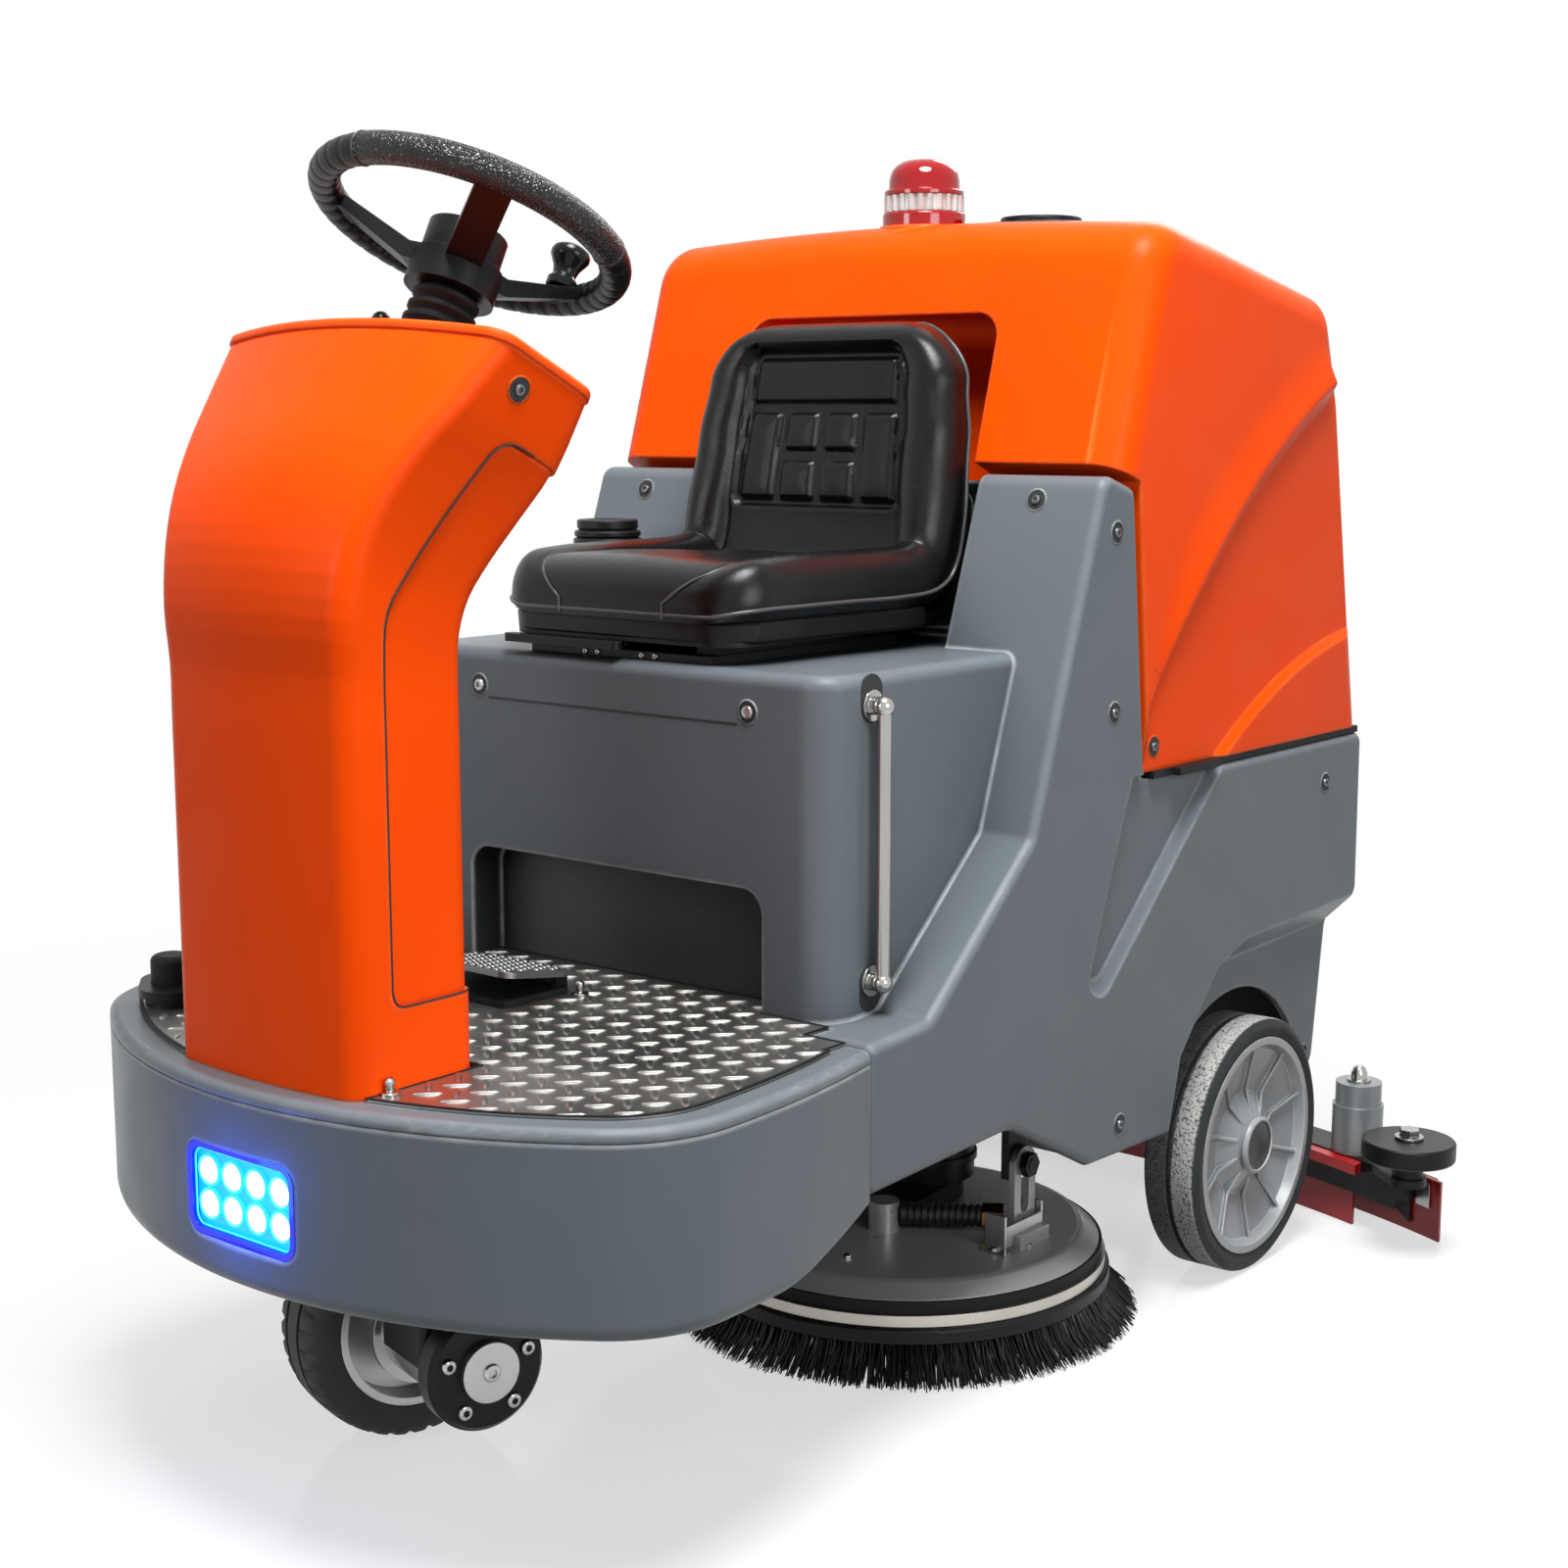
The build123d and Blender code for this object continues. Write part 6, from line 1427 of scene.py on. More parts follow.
@dataclass
class Seat:
    """The bucket seat: one padded form swept along its shell, with bolsters, sewn pads and piping.

    Attributes:
        shell: points (y, z) of the shell's line from the front edge to the top.
        widths: half width along that line.
        middles: thickness of the middle along that line.
        bolsters: thickness of the side bolsters along that line.
        rolls: width of the side bolsters along that line.
    """

    shell: Outline = (
        (-282, 797), (-205, 797), (-120, 797), (-40, 797), (20, 801), (56, 817), (75, 845), (84, 880),
        (92, 930), (100, 980), (107, 1035), (115, 1093),
    )
    widths: Outline = ((0, 169), (110, 173), (280, 182), (418, 182), (500, 177), (560, 169), (637, 153))
    middles: Outline = ((0, 58), (130, 58), (268, 48), (338, 40), (393, 44), (448, 50), (628, 46))
    bolsters: Outline = ((0, 60), (120, 65), (268, 65), (348, 68), (418, 68), (488, 64), (628, 54))
    rolls: Outline = ((0, 44), (130, 50), (318, 56), (438, 60), (578, 54), (628, 50))
    panel: tuple[float, float] = (420.0, 596.0)
    panel_half: tuple[float, float] = (117.0, 104.0)
    panel_drop: float = 9.0
    pad_rise: float = 6.5
    pad_gap: float = 9.0
    top_pad: float = 50.0
    front_round: float = 52.0
    nose_round: float = 56.0
    top_round: float = 66.0
    piping_height: float = 15.0
    piping: float = 2.4
    welt: float = 1.5
    welt_end: float = 214.0
    welt_out: tuple[float, float, float] = (0.0, -0.6, 0.6)
    welt_foot: float = 3.0
    lip_levels: Outline = ((777.0, 5.0), (781.0, 1.0), (796.0, 0.0), (799.0, 2.0))
    lip_middle: tuple[float, float, float] = (0.0, -110.0, 0.0)
    lip_end: float = 300.0
    lip_inset: tuple[float, float] = (2.0, 1.5)
    slide_front: float = -270.0
    screw_z: float = 761.0
    screw_x: Sequence[float] = (-45.0, -28.0, 32.0, 50.0)
    screw_size: tuple[float, float] = (3.4, 2.2)
    front_marks: Sequence[float] = (0.0, 1.5, 3.5, 6, 9, 13, 18, 24, 31, 39)
    top_marks: Sequence[float] = (21, 16, 12, 8.5, 5.5, 3, 1.2, 0)
    panel_corner: float = 14.0
    pad_corner: float = 6.0
    pad_crown: float = 1.2
    edge_ramp: float = 5.0
    edge_share: float = 0.3
    crest_round: float = 30.0
    seam_depth: float = 3.0
    middle_crown: float = 3.0
    pad_crown_from: float = 4.0
    pad_crown_ramp: float = 14.0
    panel_margin: tuple[float, float] = (12.0, 6.0)
    top_margin: float = 2.0
    roll_most: float = 0.42
    roll_gap: float = 6.0
    roll_turns: Sequence[float] = (172, 158, 144, 130, 116, 102, 88, 74, 60, 46, 33, 21, 10)
    roll_power: float = 0.85
    hem: Outline = ((2.5, 10), (5, 5), (12, 0))
    headroll_ramp: float = 9.0
    seam_ramp: tuple[float, float] = (4.0, 20.0)
    crown_fade: tuple[float, float] = (250.0, 120.0)
    knot_steps: int = 24
    inner_count: int = 92
    step_fine: float = 2.6
    step_coarse: float = 9.0

    def line(self) -> tuple[list[Vector], list[float]]:
        """Draw a smooth curve through the shell's points.

        Returns:
            Close points of the curve and their distances from the front.
        """
        knots = [Vector((0, y, z)) for y, z in self.shell]
        knots = [knots[0] * 2 - knots[1], *knots, knots[-1] * 2 - knots[-2]]
        points: list[Vector] = []
        for index in range(1, len(knots) - 2):
            a, b, c, d = knots[index - 1 : index + 3]
            for step in range(self.knot_steps):
                t = step / self.knot_steps
                slope = (c - a) * t
                bend = (2 * a - 5 * b + 4 * c - d) * t**2
                twist = (3 * b - a - 3 * c + d) * t**3
                points.append(0.5 * (2 * b + slope + bend + twist))
        points.append(knots[-2])
        marks = [0.0]
        for before, after in zip(points, points[1:]):
            marks.append(marks[-1] + (after - before).length)
        return points, marks

    def pads(self, x: float, s: float) -> float:
        """Return the height of the sewn panel against the plain surface.

        Args:
            x: distance from the middle.
            s: distance along the shell.

        Returns:
            A height, zero outside the panel.
        """
        start, end = self.panel
        share = min(max((s - start) / (end - start), 0.0), 1.0)
        half = self.panel_half[0] + (self.panel_half[1] - self.panel_half[0]) * share
        edge = self.inside(x, s, (-half, half, start, end), self.panel_corner)
        drop = -self.panel_drop * self.step_up(edge, self.edge_ramp)
        column = (2 * half - 5 * self.pad_gap) / 4
        upper = end - self.pad_gap - self.top_pad
        rows = [(-half + self.pad_gap, half - self.pad_gap, upper, end - self.pad_gap)]
        top, foot = upper - self.pad_gap, start + self.pad_gap
        between = (top + foot) / 2
        for index in range(4):
            left = -half + self.pad_gap + index * (column + self.pad_gap)
            if index in (0, 3):
                rows.append((left, left + column, foot, top))
            else:
                rows.append((left, left + column, foot, between - self.pad_gap / 2))
                rows.append((left, left + column, between + self.pad_gap / 2, top))
        rise = 0.0
        for box in rows:
            depth = self.inside(x, s, box, self.pad_corner)
            crown = self.pad_crown * self.step_up(depth - self.pad_crown_from, self.pad_crown_ramp)
            rise = max(rise, self.pad_rise * self.step_up(depth, self.edge_ramp) + crown)
        return drop + rise

    @staticmethod
    def inside(x: float, s: float, box: tuple[float, float, float, float], corner: float) -> float:
        """Return how deep a point lies inside a box with round corners.

        Args:
            x: distance from the middle.
            s: distance along the shell.
            box: the box's left, right, low and high limits.
            corner: radius of its corners.

        Returns:
            The depth, negative outside.
        """
        left, right, low, high = box
        gap_x = max(left + corner - x, x - right + corner)
        gap_s = max(low + corner - s, s - high + corner)
        outside = math.hypot(max(gap_x, 0.0), max(gap_s, 0.0))
        return corner - (outside if max(gap_x, gap_s) > 0 else max(gap_x, gap_s))

    @staticmethod
    def step_up(depth: float, width: float) -> float:
        """Return a smooth step from 0 at the edge to 1 at a depth of width."""
        share = min(max(depth / width, 0.0), 1.0)
        return share * share * (3 - 2 * share)

    def stations(self, length: float) -> list[float]:
        """Choose where sections are drawn: close over the sewn panel and the ends.

        Args:
            length: whole length of the shell.

        Returns:
            Distances along the shell.
        """
        marks = list(self.front_marks)
        while marks[-1] < self.panel[0] - self.panel_margin[0]:
            marks.append(marks[-1] + self.step_coarse)
        while marks[-1] < self.panel[1] + self.panel_margin[1]:
            marks.append(marks[-1] + self.step_fine)
        marks = [mark for mark in marks if mark < length - self.top_marks[0] - self.top_margin]
        return marks + [length - mark for mark in self.top_marks]

    def section(self, s: float, length: float) -> list[tuple[float, float]]:
        """Return the right half of the section at a distance along the shell.

        Args:
            s: distance along the shell.
            length: whole length of the shell.

        Returns:
            Points (x, height) from the middle to the lower outer edge.
        """
        from_top = length - s
        drawn_in = rounding(s, self.front_round) + rounding(from_top, self.top_round)
        half = curve_value(self.widths, s) - drawn_in
        roll = min(curve_value(self.rolls, s), self.roll_most * half)
        side = curve_value(self.bolsters, s)
        middle = curve_value(self.middles, s)
        headroll = self.step_up(s - self.panel[1] + 1, self.headroll_ramp)
        middle += (side - middle) * headroll
        front = 1 - (1 - self.edge_share) * rounding(s, self.nose_round) / self.nose_round
        top = 1 - (1 - self.edge_share) * rounding(from_top, self.crest_round) / self.crest_round
        seam_from, seam_ramp = self.seam_ramp
        seam = self.seam_depth * (1 - headroll) * self.step_up(s - seam_from, seam_ramp)
        fade_from, fade_ramp = self.crown_fade
        fade = 1 - self.step_up(s - fade_from, fade_ramp)
        inner = half - roll - self.roll_gap
        points = []
        for index in range(self.inner_count // 2 + 1):
            x = inner * index / (self.inner_count // 2)
            crown = self.middle_crown * (1 - (x / inner) ** 2) * fade
            points.append((x, middle + crown + self.pads(x, s)))
        points.append((inner + self.roll_gap / 2, middle - seam))
        middle_roll = half - roll / 2
        for degrees in self.roll_turns:
            turn = math.radians(degrees)
            foot = middle - seam if degrees > 90 else self.piping_height
            height = foot + (side - foot) * math.sin(turn) ** self.roll_power
            points.append((middle_roll + roll / 2 * math.cos(turn), height))
        points.append((half, self.piping_height))
        points += [(half - inset, height) for inset, height in self.hem]
        scale = front * top
        return [(x, height * scale) for x, height in points]

    def build(self) -> None:
        """Add the padded form, its piping, the lower lip and the slide's screws."""
        line, marks = self.line()
        length = marks[-1]
        stations = self.stations(length)
        rings: list[list[Vector]] = []
        for s in stations:
            index = max(place for place, mark in enumerate(marks[:-1]) if mark <= s)
            share = (s - marks[index]) / (marks[index + 1] - marks[index])
            point = line[index].lerp(line[index + 1], share)
            along = (line[min(index + 2, len(line) - 1)] - line[max(index - 1, 0)]).normalized()
            upward = Vector((0, -along.z, along.y))
            half = [(x, point + upward * height) for x, height in self.section(s, length)]
            right = [Vector((x, spot.y, spot.z)) for x, spot in half]
            left = [Vector((-x, spot.y, spot.z)) for x, spot in half[1:]]
            rings.append(list(reversed(left)) + right)
        count = len(rings[0])
        form = loft(rings).piece("seat_upholstery", SEAT_VINYL, "seat", 50)
        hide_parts("seat_cushion")
        self.build_piping(rings, count)
        self.build_welts(rings, stations, count)
        self.build_lip(rings, stations, count)
        self.build_screws()

    def build_piping(self, rings: list[list[Vector]], count: int) -> None:
        """Run a bead round the edge where the cover meets the shell.

        Args:
            rings: the sections of the padded form.
            count: points in a section.
        """
        hem = len(self.hem)
        right = [ring[count - 1 - hem] for ring in rings[1:-1]]
        left = [ring[hem] for ring in rings[1:-1]]
        path = right + list(reversed(left))
        bead = tube(path, self.piping, closed=True).piece("seat_piping", PIPING_VINYL, "seat", 60)

    def build_welts(self, rings: list[list[Vector]], stations: list[float], count: int) -> None:
        """Run a welt down each seam between the middle and a side bolster, over the front edge.

        Args:
            rings: the sections of the padded form.
            stations: their distances along the shell.
            count: points in a section.
        """
        welts = Shape()
        middle = (count - 1) // 2
        seam = self.inner_count // 2 + 1
        for place in (middle - seam, middle + seam):
            path = [ring[place] for ring, s in zip(rings, stations) if s < self.welt_end]
            path = [point + Vector(self.welt_out) for point in path]
            foot = Vector((path[0].x, path[0].y, self.shell[0][1] + self.welt_foot))
            welts.join(tube([foot, *path], self.welt))
        welts.piece("seat_welts", PIPING_VINYL, "seat", 60)

    def build_lip(self, rings: list[list[Vector]], stations: list[float], count: int) -> None:
        """Add the shell's lower lip under the cushion, drawn in from the cover.

        Args:
            rings: the sections of the padded form.
            stations: their distances along the shell.
            count: points in a section.
        """
        base = [ring for ring, s in zip(rings, stations) if s < self.lip_end]
        inset_x, inset_y = self.lip_inset
        right = [(ring[count - 2].x - inset_x, ring[count - 2].y + inset_y) for ring in base]
        left = [(-x, y) for x, y in right]
        loops = []
        for height, inset in self.lip_levels:
            loop = []
            for x, y in (*right, *reversed(left)):
                toward = (Vector(self.lip_middle) - Vector((x, y, 0))).normalized()
                loop.append(Vector((x + toward.x * inset, y + toward.y * inset, height)))
            loops.append(loop)
        lip = loft(loops)
        lip.piece("seat_lip", BLACK_ABS, "seat")

    def build_screws(self) -> None:
        """Set four bright screws in the front of the slide."""
        screws = Shape()
        for x in self.screw_x:
            place = facing((x, self.slide_front, self.screw_z), (0, -1, 0))
            screws.join(socket_bolt(*self.screw_size).moved(place))
        screws.piece("slide_screws", BRIGHT_STEEL, "frame")


@dataclass
class BrushDeck:
    """The brush deck: dense bristles, a folded bracket and small screws on the dome."""

    centre: tuple[float, float] = (95.0, 88.0)
    block_bottom: float = 40.0
    reach: float = 268.0
    rings: Sequence[tuple[float, int, float]] = (
        (150.0, 300, 178.0), (185.0, 480, 215.0), (205.0, 700, 236.0), (216.0, 820, 248.0),
        (223.0, 940, 256.0), (229.0, 1040, 263.0),
    )
    tuft: int = 7
    tuft_spread: float = 0.4
    root_jitter: tuple[float, float] = (-5.0, 3.0)
    tip_jitter: tuple[float, float] = (-6.0, 4.0)
    sway: float = 0.025
    foot_jitter: float = 4.0
    root_rise: float = 3.0
    lean: float = 1.4
    thickness: float = 1.5
    taper: Outline = ((0.0, 1.0), (0.5, 0.9), (1.0, 0.55))
    foot: float = 1.2
    deck_top: float = 99.0
    bracket: Sequence[tuple[tuple[float, float, float], tuple[float, float, float]]] = (
        ((230, 55.5, 0), (257, 58.5, 42)),
        ((230, 126.5, 0), (257, 129.5, 42)),
        ((254, 57, 6), (257, 128, 30)),
        ((226, 48, 0), (262, 58, 3)),
        ((226, 127, 0), (262, 137, 3)),
    )
    bracket_edge: float = 0.8
    screws: Sequence[tuple[float, float, float]] = (
        (244, 51, 3), (244, 134, 3), (262, 92, 0), (176, 210, 0), (40, 240, 0), (130, -60, 0), (20, -40, 0),
    )
    screw_size: tuple[float, float] = (5.2, 4.0)
    screw_sink: float = 0.3
    seed: int = 11

    def build(self) -> None:
        """Add the bristles, the bracket and the screws."""
        self.build_bristles()
        bracket = Shape()
        for low, high in self.bracket:
            bracket.join(slab(low, high, self.bracket_edge))
        bracket = bracket.moved(Matrix.Translation((0, 0, self.deck_top)))
        bracket.piece("deck_bracket", ZINC_STEEL, "deck")
        screws = Shape()
        for x, y, lift in self.screws:
            place = Matrix.Translation((x, y, self.deck_top + lift - self.screw_sink))
            screws.join(hexagon_nut(*self.screw_size).moved(place))
        screws.piece("deck_screws", BRIGHT_STEEL, "deck")

    def build_bristles(self) -> None:
        """Plant rings of tapered strands that lean outward, gathered in tufts."""
        draw = random.Random(self.seed)
        shape = Shape()
        for root, count, tip in self.rings:
            tufts = count // self.tuft
            for index in range(count):
                home = 2 * math.pi * (index % tufts) / tufts
                angle = home + draw.gauss(0, self.tuft_spread) * 2 * math.pi / tufts
                start = root + draw.uniform(*self.root_jitter)
                end = min(tip + draw.uniform(*self.tip_jitter), self.reach)
                sway = angle + draw.uniform(-self.sway, self.sway)
                drop = self.foot + draw.uniform(0, self.foot_jitter)
                shape.join(self.strand((angle, start), (sway, end), drop))
        bristles = shape.piece("brush_strands", BRISTLE_NYLON, "brush", 70)
        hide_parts("brush_bristles")

    def strand(self, root: tuple[float, float], tip: tuple[float, float], foot: float) -> Shape:
        """Make one three-sided strand.

        Args:
            root: angle and radius of its upper end.
            tip: angle and radius of its lower end.
            foot: height of its lower end.

        Returns:
            The closed strand.
        """
        top = self.block_bottom + self.root_rise
        rings = []
        for share, thick in self.taper:
            angle = root[0] + (tip[0] - root[0]) * share
            radius = root[1] + (tip[1] - root[1]) * share**self.lean
            middle = Vector((*self.centre, top + (foot - top) * share))
            middle += Vector((math.cos(angle), math.sin(angle), 0)) * radius
            turns = [angle - 2 * math.pi * side / 3 for side in range(3)]
            reach = self.thickness * thick
            rings.append([middle + Vector((math.cos(turn), math.sin(turn), 0)) * reach for turn in turns])
        return loft(rings)


@dataclass
class RearWheels:
    """Hub caps of the rear wheels, each in a bright ring."""

    nodes: Nodes
    axle: tuple[float, float] = (430.0, 150.0)
    hub_reach: float = 22.0
    cap: Outline = ((0, -2), (28.4, -2), (28.4, 1.2), (27.2, 2.0), (0, 2.4))
    ring: Outline = ((28.4, -2), (28.5, 2.6), (29.6, 3.6), (31.6, 3.2), (33.4, 1.4), (34, -2), (28.4, -2))

    def build(self) -> None:
        """Close each hub with a cap and its ring."""
        for name, side in (("left", 1), ("right", -1)):
            hub = Probe(self.nodes, (f"{name}_rim",))
            y, z = self.axle
            point, _ = hub.meet((side * OUTSIDE, y + self.hub_reach, z), (-side, 0, 0))
            place = facing((point.x, y, z), (side, 0, 0))
            for piece, outline, finish in (("cap", self.cap, HUB_ABS), ("ring", self.ring, RIM_NYLON)):
                made = lathe(outline, 64).moved(place).piece(f"{name}_hub_{piece}", finish, f"{name}_wheel")


@dataclass
class FillerCap:
    """The screw cap of the filler: a flat top over stepped gripping rings."""

    centre: tuple[float, float] = (-230.0, -41.0)
    neck_top: float = 851.3
    plug: float = 25.0
    plug_depth: float = 11.5
    tiers: Sequence[tuple[float, float, float]] = (
        (0.3, 8.0, 38.6), (8.0, 9.6, 35.0), (9.6, 16.4, 37.4), (16.4, 18.2, 33.0), (18.2, 28.6, 34.4),
    )
    tier_edge: float = 1.4
    dish: Outline = ((24.0, 28.6), (23.0, 27.8), (0.0, 27.8))

    def build(self) -> None:
        """Turn the cap from its tiers."""
        profile = [(0.0, -self.plug_depth), (self.plug, -self.plug_depth), (self.plug, 0.3)]
        for low, high, radius in self.tiers:
            edge = min(self.tier_edge, (high - low) / 2)
            profile += [(radius - edge, low), (radius, low + edge)]
            profile += [(radius, high - edge), (radius - edge, high)]
        profile += self.dish
        place = Matrix.Translation((*self.centre, self.neck_top))
        cap = lathe(profile, 72).moved(place).piece("filler_cap_tiers", BLACK_ABS, "filler", 40)
        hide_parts("filler_cap")


@dataclass
class SqueegeeTrim:
    """Bright nuts on the squeegee's posts and rollers, and brackets at the ends of its blades."""

    nodes: Nodes
    post_x: float = 375.0
    post_top: float = 178.0
    roller: tuple[float, float] = (477.0, 588.0)
    roller_top: float = 142.6
    bracket_x: tuple[float, float] = (398.0, 450.0)
    bracket_z: tuple[float, float] = (12.0, 47.0)
    latch_x: tuple[float, float] = (459.0, 480.0)
    latch_z: tuple[float, float] = (40.0, 70.0)
    bracket_nose: float = 6.0
    ahead: float = 690.0
    sweep: float = 0.2
    plate_gap: tuple[float, float] = (-1.2, -4.2)
    acorn: Outline = (
        (0, 0), (15, 0), (15, 3.3), (10.2, 3.4), (10.2, 11), (8.6, 14), (7.6, 17), (4.6, 19.6), (0, 20.4),
    )
    washer: Outline = ((0, 0), (17, 0), (17, 3.4), (12, 3.4))
    nut_size: tuple[float, float] = (12.4, 9.5)
    nut_rise: float = 3.2

    def build_brackets(self, blades: Probe, name: str, side: int) -> None:
        """Hang a black plate and a bright latch in front of a rear blade's end.

        Args:
            blades: the search over the blades.
            name: "left" or "right".
            side: 1 on the left, -1 on the right.
        """
        for piece, (near, far), (low, high), finish in (
            ("blade_bracket", self.bracket_x, self.bracket_z, BLACK_COAT),
            ("blade_latch", self.latch_x, self.latch_z, ZINC_STEEL),
        ):
            ends = []
            for x in (near, far):
                start = (side * x, self.ahead - self.sweep * x, (low + high) / 2)
                ends.append(blades.meet(start, (0, 1, 0))[0])
            inner, outer = ends
            foot = high - self.bracket_nose if piece == "blade_bracket" else low
            rings = []
            for out in self.plate_gap:
                corners = ((inner, foot), (outer, low), (outer, high), (inner, high))
                rings.append([Vector((end.x, end.y + out, z)) for end, z in corners])
            plate = loft(rings)
            plate.piece(f"{name}_{piece}", finish, "squeegee")

    def build(self) -> None:
        """Add an acorn nut on each post, a plain nut on each roller and the end brackets."""
        blades = Probe(self.nodes, ("squeegee_blades",))
        acorn = lathe(self.acorn, 24)
        plain = lathe(self.washer, 32)
        plain.join(hexagon_nut(*self.nut_size).moved(Matrix.Translation((0, 0, self.nut_rise))))
        posts = [vertex.co / MM for vertex in self.nodes["squeegee_posts"].data.vertices]
        for name, side in (("left", 1), ("right", -1)):
            depths = [point.y for point in posts if point.x * side > 0]
            y = (min(depths) + max(depths)) / 2
            nut = acorn.moved(Matrix.Translation((side * self.post_x, y, self.post_top)))
            roller_x, roller_y = self.roller
            nut.join(plain.moved(Matrix.Translation((side * roller_x, roller_y, self.roller_top))))
            nut.piece(f"{name}_squeegee_nuts", BRIGHT_STEEL, "squeegee")
            self.build_brackets(blades, name, side)


@dataclass
class BeaconLamp:
    """The beacon's stepped dome and the lamp core inside its lens."""

    centre_y: float = 244.0
    floor: float = 1223.0
    dome_floor: float = 1241.2
    core: Outline = ((0, 0.4), (30, 0.4), (32, 3), (14, 7), (12, 12), (12, 17), (0, 17.4))
    dome: Outline = (
        (0, 0), (44.5, 0), (45, 0.6), (45, 4.6), (44.2, 5.6), (40.6, 6.4), (40.2, 7.4), (40, 16), (39, 22),
        (36.6, 28), (32.5, 33), (26.5, 37), (19, 39.4), (10, 40.5), (0, 40.8),
    )

    def build(self) -> None:
        """Stand a pale core with a reflector dish inside the lens, and close it with the dome."""
        place = Matrix.Translation((0, self.centre_y, self.floor))
        core = lathe(self.core, 32).moved(place)
        core.piece("beacon_core", ZINC_STEEL, "frame")
        place = Matrix.Translation((0, self.centre_y, self.dome_floor))
        dome = lathe(self.dome, 64).moved(place).piece("beacon_lens", BEACON_RED, "frame", 30)
        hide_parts("beacon_dome")


@dataclass
class Studio:
    """Floor, light and the camera at the photograph's place, in metres, watts and degrees."""

    camera_at: tuple[float, float, float] = (1.610, -1.982, 1.0)
    azimuth: float = 39.2
    dip: float = 9.0
    lens: float = 54.0
    sensor: float = 36.0
    floor_half: float = 30.0
    ambient: float = 0.10
    bounce: float = 0.35
    lamps: Sequence[tuple[str, tuple[float, float, float], float, float]] = (
        ("side", (2.3, -0.8, 1.3), 1.1, 20.0),
        ("front", (-1.0, -3.9, 1.7), 1.2, 30.0),
        ("back", (-0.6, 3.0, 3.0), 1.8, 45.0),
        ("top", (0.9, -0.8, 3.6), 1.5, 180.0),
    )
    aim: tuple[float, float, float] = (0.1, -0.1, 0.5)
    spill_at: tuple[float, float, float] = (0.0, -0.80, 0.322)
    spill_colour: tuple[float, float, float] = (0.01, 0.12, 1.0)
    spill_power: float = 0.6
    spill_size: float = 0.03
    floor_seen: float = 0.9
    floor_roughness: float = 0.1
    floor_ior: float = 1.4
    fade_reach: tuple[float, float] = (0.6, 2.4)
    fade_least: float = 0.6

    def build(self) -> None:
        """Set the stage."""
        scene = bpy.context.scene
        scene.view_settings.view_transform = "Standard"
        self.build_camera(scene)
        self.build_world(scene)
        self.build_floor()
        for name, place, size, power in self.lamps:
            light = bpy.data.lights.new(name, "AREA")
            light.shape = "DISK"
            light.size = size
            light.energy = power
            lamp = bpy.data.objects.new(name, light)
            lamp.location = place
            lamp.rotation_mode = "QUATERNION"
            lamp.rotation_quaternion = (Vector(self.aim) - Vector(place)).to_track_quat("-Z", "Y")
            scene.collection.objects.link(lamp)
        spill = bpy.data.lights.new("lamp_spill", "POINT")
        spill.color = self.spill_colour
        spill.energy = self.spill_power
        spill.shadow_soft_size = self.spill_size
        glow = bpy.data.objects.new("lamp_spill", spill)
        glow.location = self.spill_at
        scene.collection.objects.link(glow)

    def build_camera(self, scene: bpy.types.Scene) -> None:
        """Put the camera where the photograph was taken.

        Args:
            scene: the scene that takes the camera.
        """
        data = bpy.data.cameras.new("photo_camera")
        data.lens = self.lens
        data.sensor_width = self.sensor
        camera = bpy.data.objects.new("photo_camera", data)
        turn, dip = math.radians(self.azimuth), math.radians(self.dip)
        ahead = Vector((-math.sin(turn) * math.cos(dip), math.cos(turn) * math.cos(dip), -math.sin(dip)))
        camera.location = self.camera_at
        camera.rotation_mode = "QUATERNION"
        camera.rotation_quaternion = ahead.to_track_quat("-Z", "Y")
        scene.collection.objects.link(camera)
        scene.camera = camera

    def build_world(self, scene: bpy.types.Scene) -> None:
        """Light the scene softly and show white behind it.

        Args:
            scene: the scene that takes the world.
        """
        world = bpy.data.worlds.new("studio")
        scene.world = world
        world.use_nodes = True
        tree = world.node_tree
        tree.nodes.clear()
        strength = self.level(tree, self.ambient, 1.0)
        back = add_node(tree, "ShaderNodeBackground", {"Color": (1, 1, 1, 1), "Strength": strength})
        add_node(tree, "ShaderNodeOutputWorld", {"Surface": back.outputs[0]})

    @staticmethod
    def level(tree: bpy.types.NodeTree, bounced: float, seen: float) -> bpy.types.NodeSocket:
        """Add the nodes of a level that differs for rays that see the background and for bounced light.

        Args:
            tree: the node tree of the world or the floor.
            bounced: level for light that falls on the machine.
            seen: level for the camera, for reflections and through glass.

        Returns:
            The socket of the level.
        """
        ray = add_node(tree, "ShaderNodeLightPath", {})
        sight = ray.outputs["Is Camera Ray"]
        for kind in ("Is Glossy Ray", "Is Transmission Ray"):
            both = add_node(tree, "ShaderNodeMath", {0: sight, 1: ray.outputs[kind]}, operation="MAXIMUM")
            sight = both.outputs[0]
        return add_node(
            tree, "ShaderNodeMapRange", {"Value": sight, "To Min": bounced, "To Max": seen}
        ).outputs["Result"]

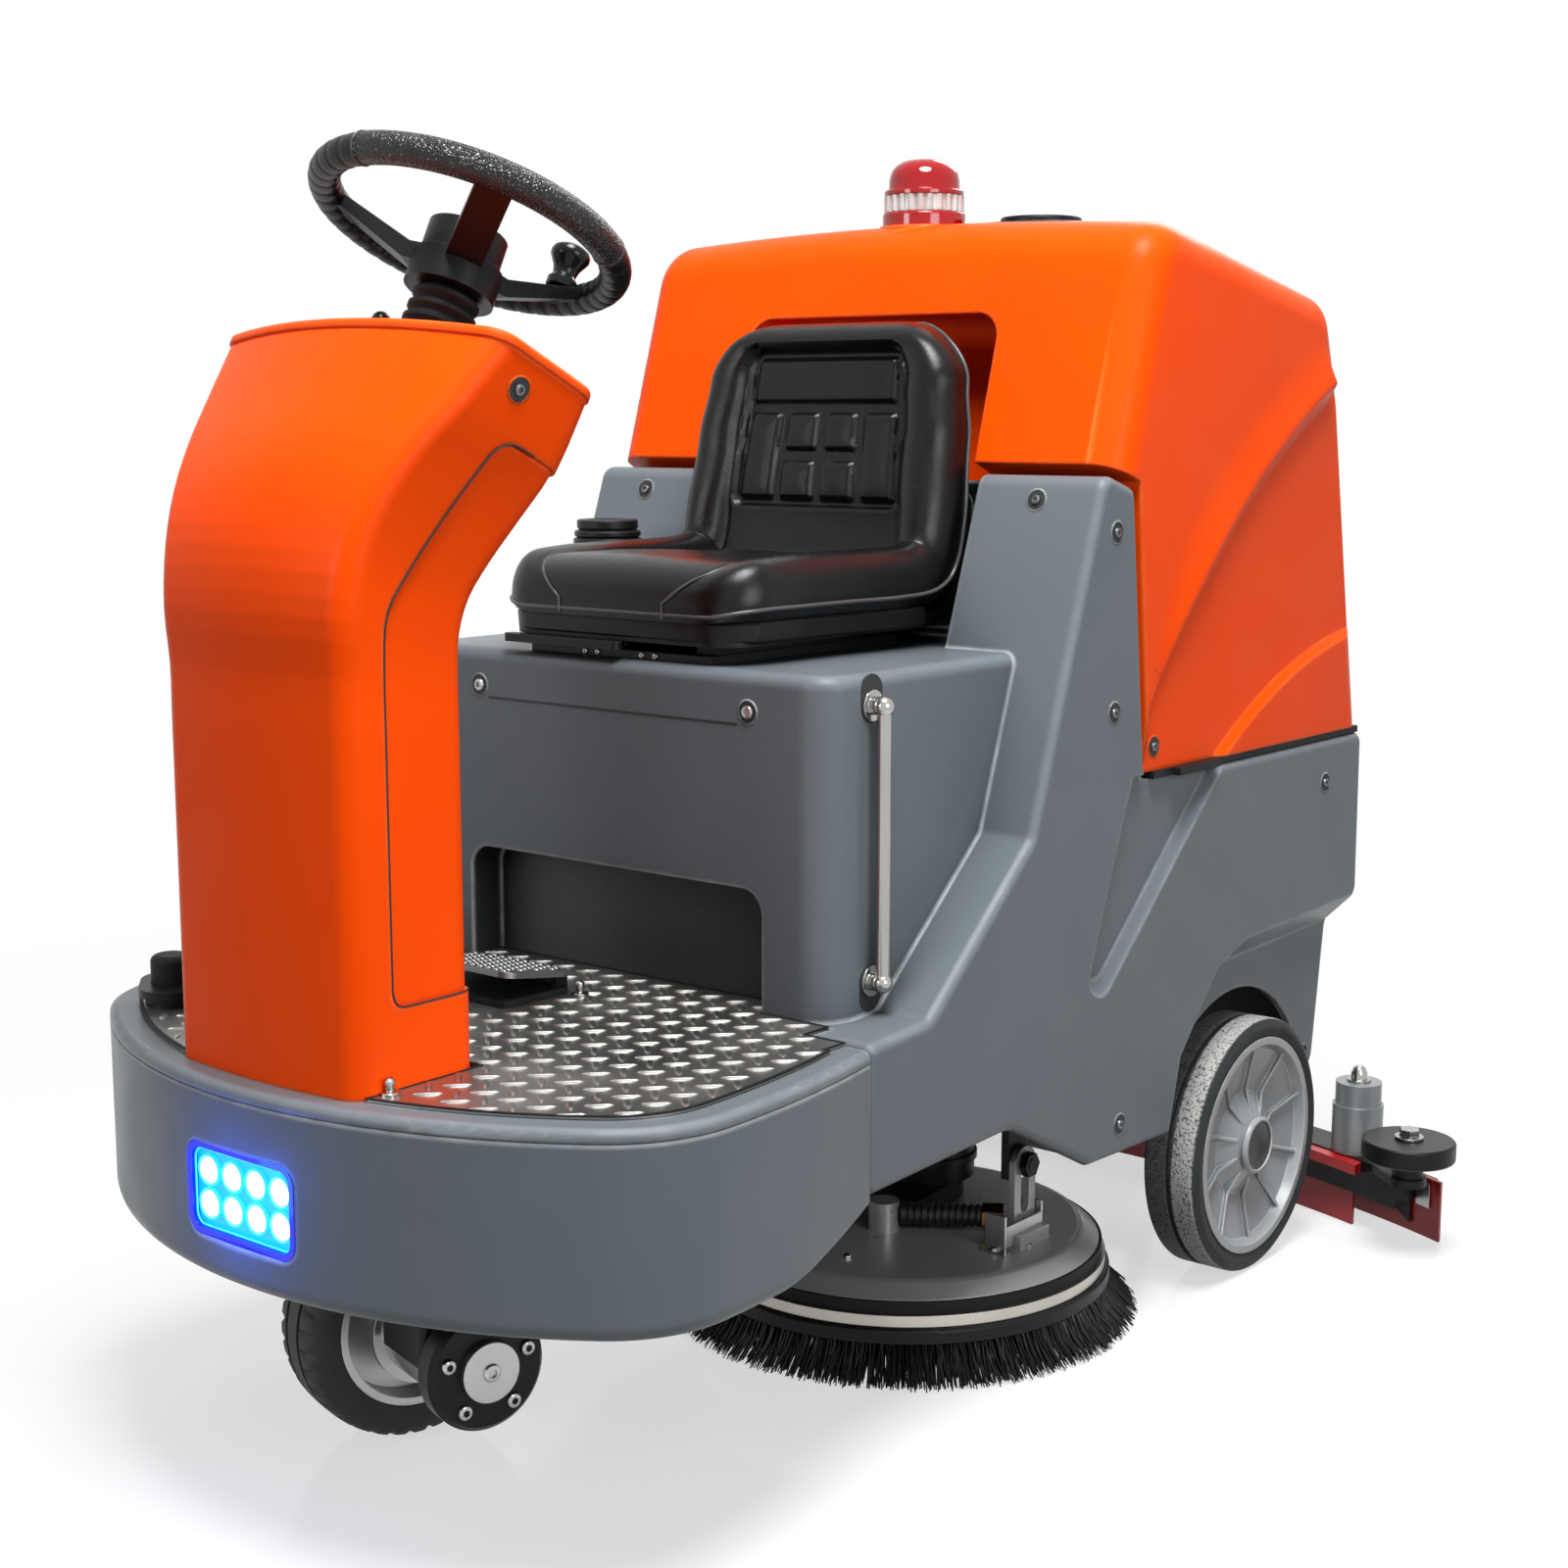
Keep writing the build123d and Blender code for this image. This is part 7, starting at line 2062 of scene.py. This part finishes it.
    def build_floor(self) -> None:
        """Lay a pale, faintly glossy floor that fades to white far from the machine."""
        half = self.floor_half
        mesh = bpy.data.meshes.new("floor")
        corners = [(-half, -half, 0), (half, -half, 0), (half, half, 0), (-half, half, 0)]
        mesh.from_pydata(corners, [], [(0, 1, 2, 3)])
        floor = bpy.data.objects.new("floor", mesh)
        bpy.context.scene.collection.objects.link(floor)
        paint = bpy.data.materials.new("pale_floor")
        paint.use_nodes = True
        tree = paint.node_tree
        tree.nodes.clear()
        place = add_node(tree, "ShaderNodeTexCoord", {}).outputs["Object"]
        away = add_node(tree, "ShaderNodeVectorMath", {0: place}, operation="LENGTH").outputs["Value"]
        near, far = self.fade_reach
        fade = add_node(
            tree,
            "ShaderNodeMapRange",
            {"Value": away, "From Min": near, "From Max": far, "To Min": self.fade_least},
        ).outputs["Result"]
        pale = self.level(tree, self.bounce, self.floor_seen)
        glossy = add_node(
            tree,
            "ShaderNodeBsdfPrincipled",
            {"Base Color": pale, "Roughness": self.floor_roughness, "IOR": self.floor_ior},
        )
        strength = self.level(tree, self.ambient, 1.0)
        white = add_node(tree, "ShaderNodeEmission", {"Color": (1, 1, 1, 1), "Strength": strength})
        mixed = add_node(
            tree, "ShaderNodeMixShader", {0: fade, 1: glossy.outputs[0], 2: white.outputs[0]}
        )
        add_node(tree, "ShaderNodeOutputMaterial", {"Surface": mixed.outputs[0]})
        mesh.materials.append(paint)


def dress_nodes(nodes: Nodes) -> None:
    """Give every CAD node its finish.

    Args:
        nodes: the CAD objects by name.
    """
    for name, node in nodes.items():
        mesh = node.data
        mesh.materials.clear()
        mesh.materials.append(NODE_FINISHES[name].material())
        LOG.info("%s takes %s", name, NODE_FINISHES[name].name)


def main() -> None:
    """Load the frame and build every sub-assembly."""
    logging.basicConfig(level=logging.INFO, format="%(name)s: %(message)s")
    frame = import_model()
    nodes = frame["nodes"]
    Studio().build()
    dress_nodes(nodes)
    for assembly in (
        Shells(nodes), Platform(nodes), Lamp(), Helm(), Drive(), Seat(), BrushDeck(), RearWheels(nodes),
        SqueegeeTrim(nodes), FillerCap(), BeaconLamp(),
    ):
        assembly.build()


if __name__ == "__main__":
    main()
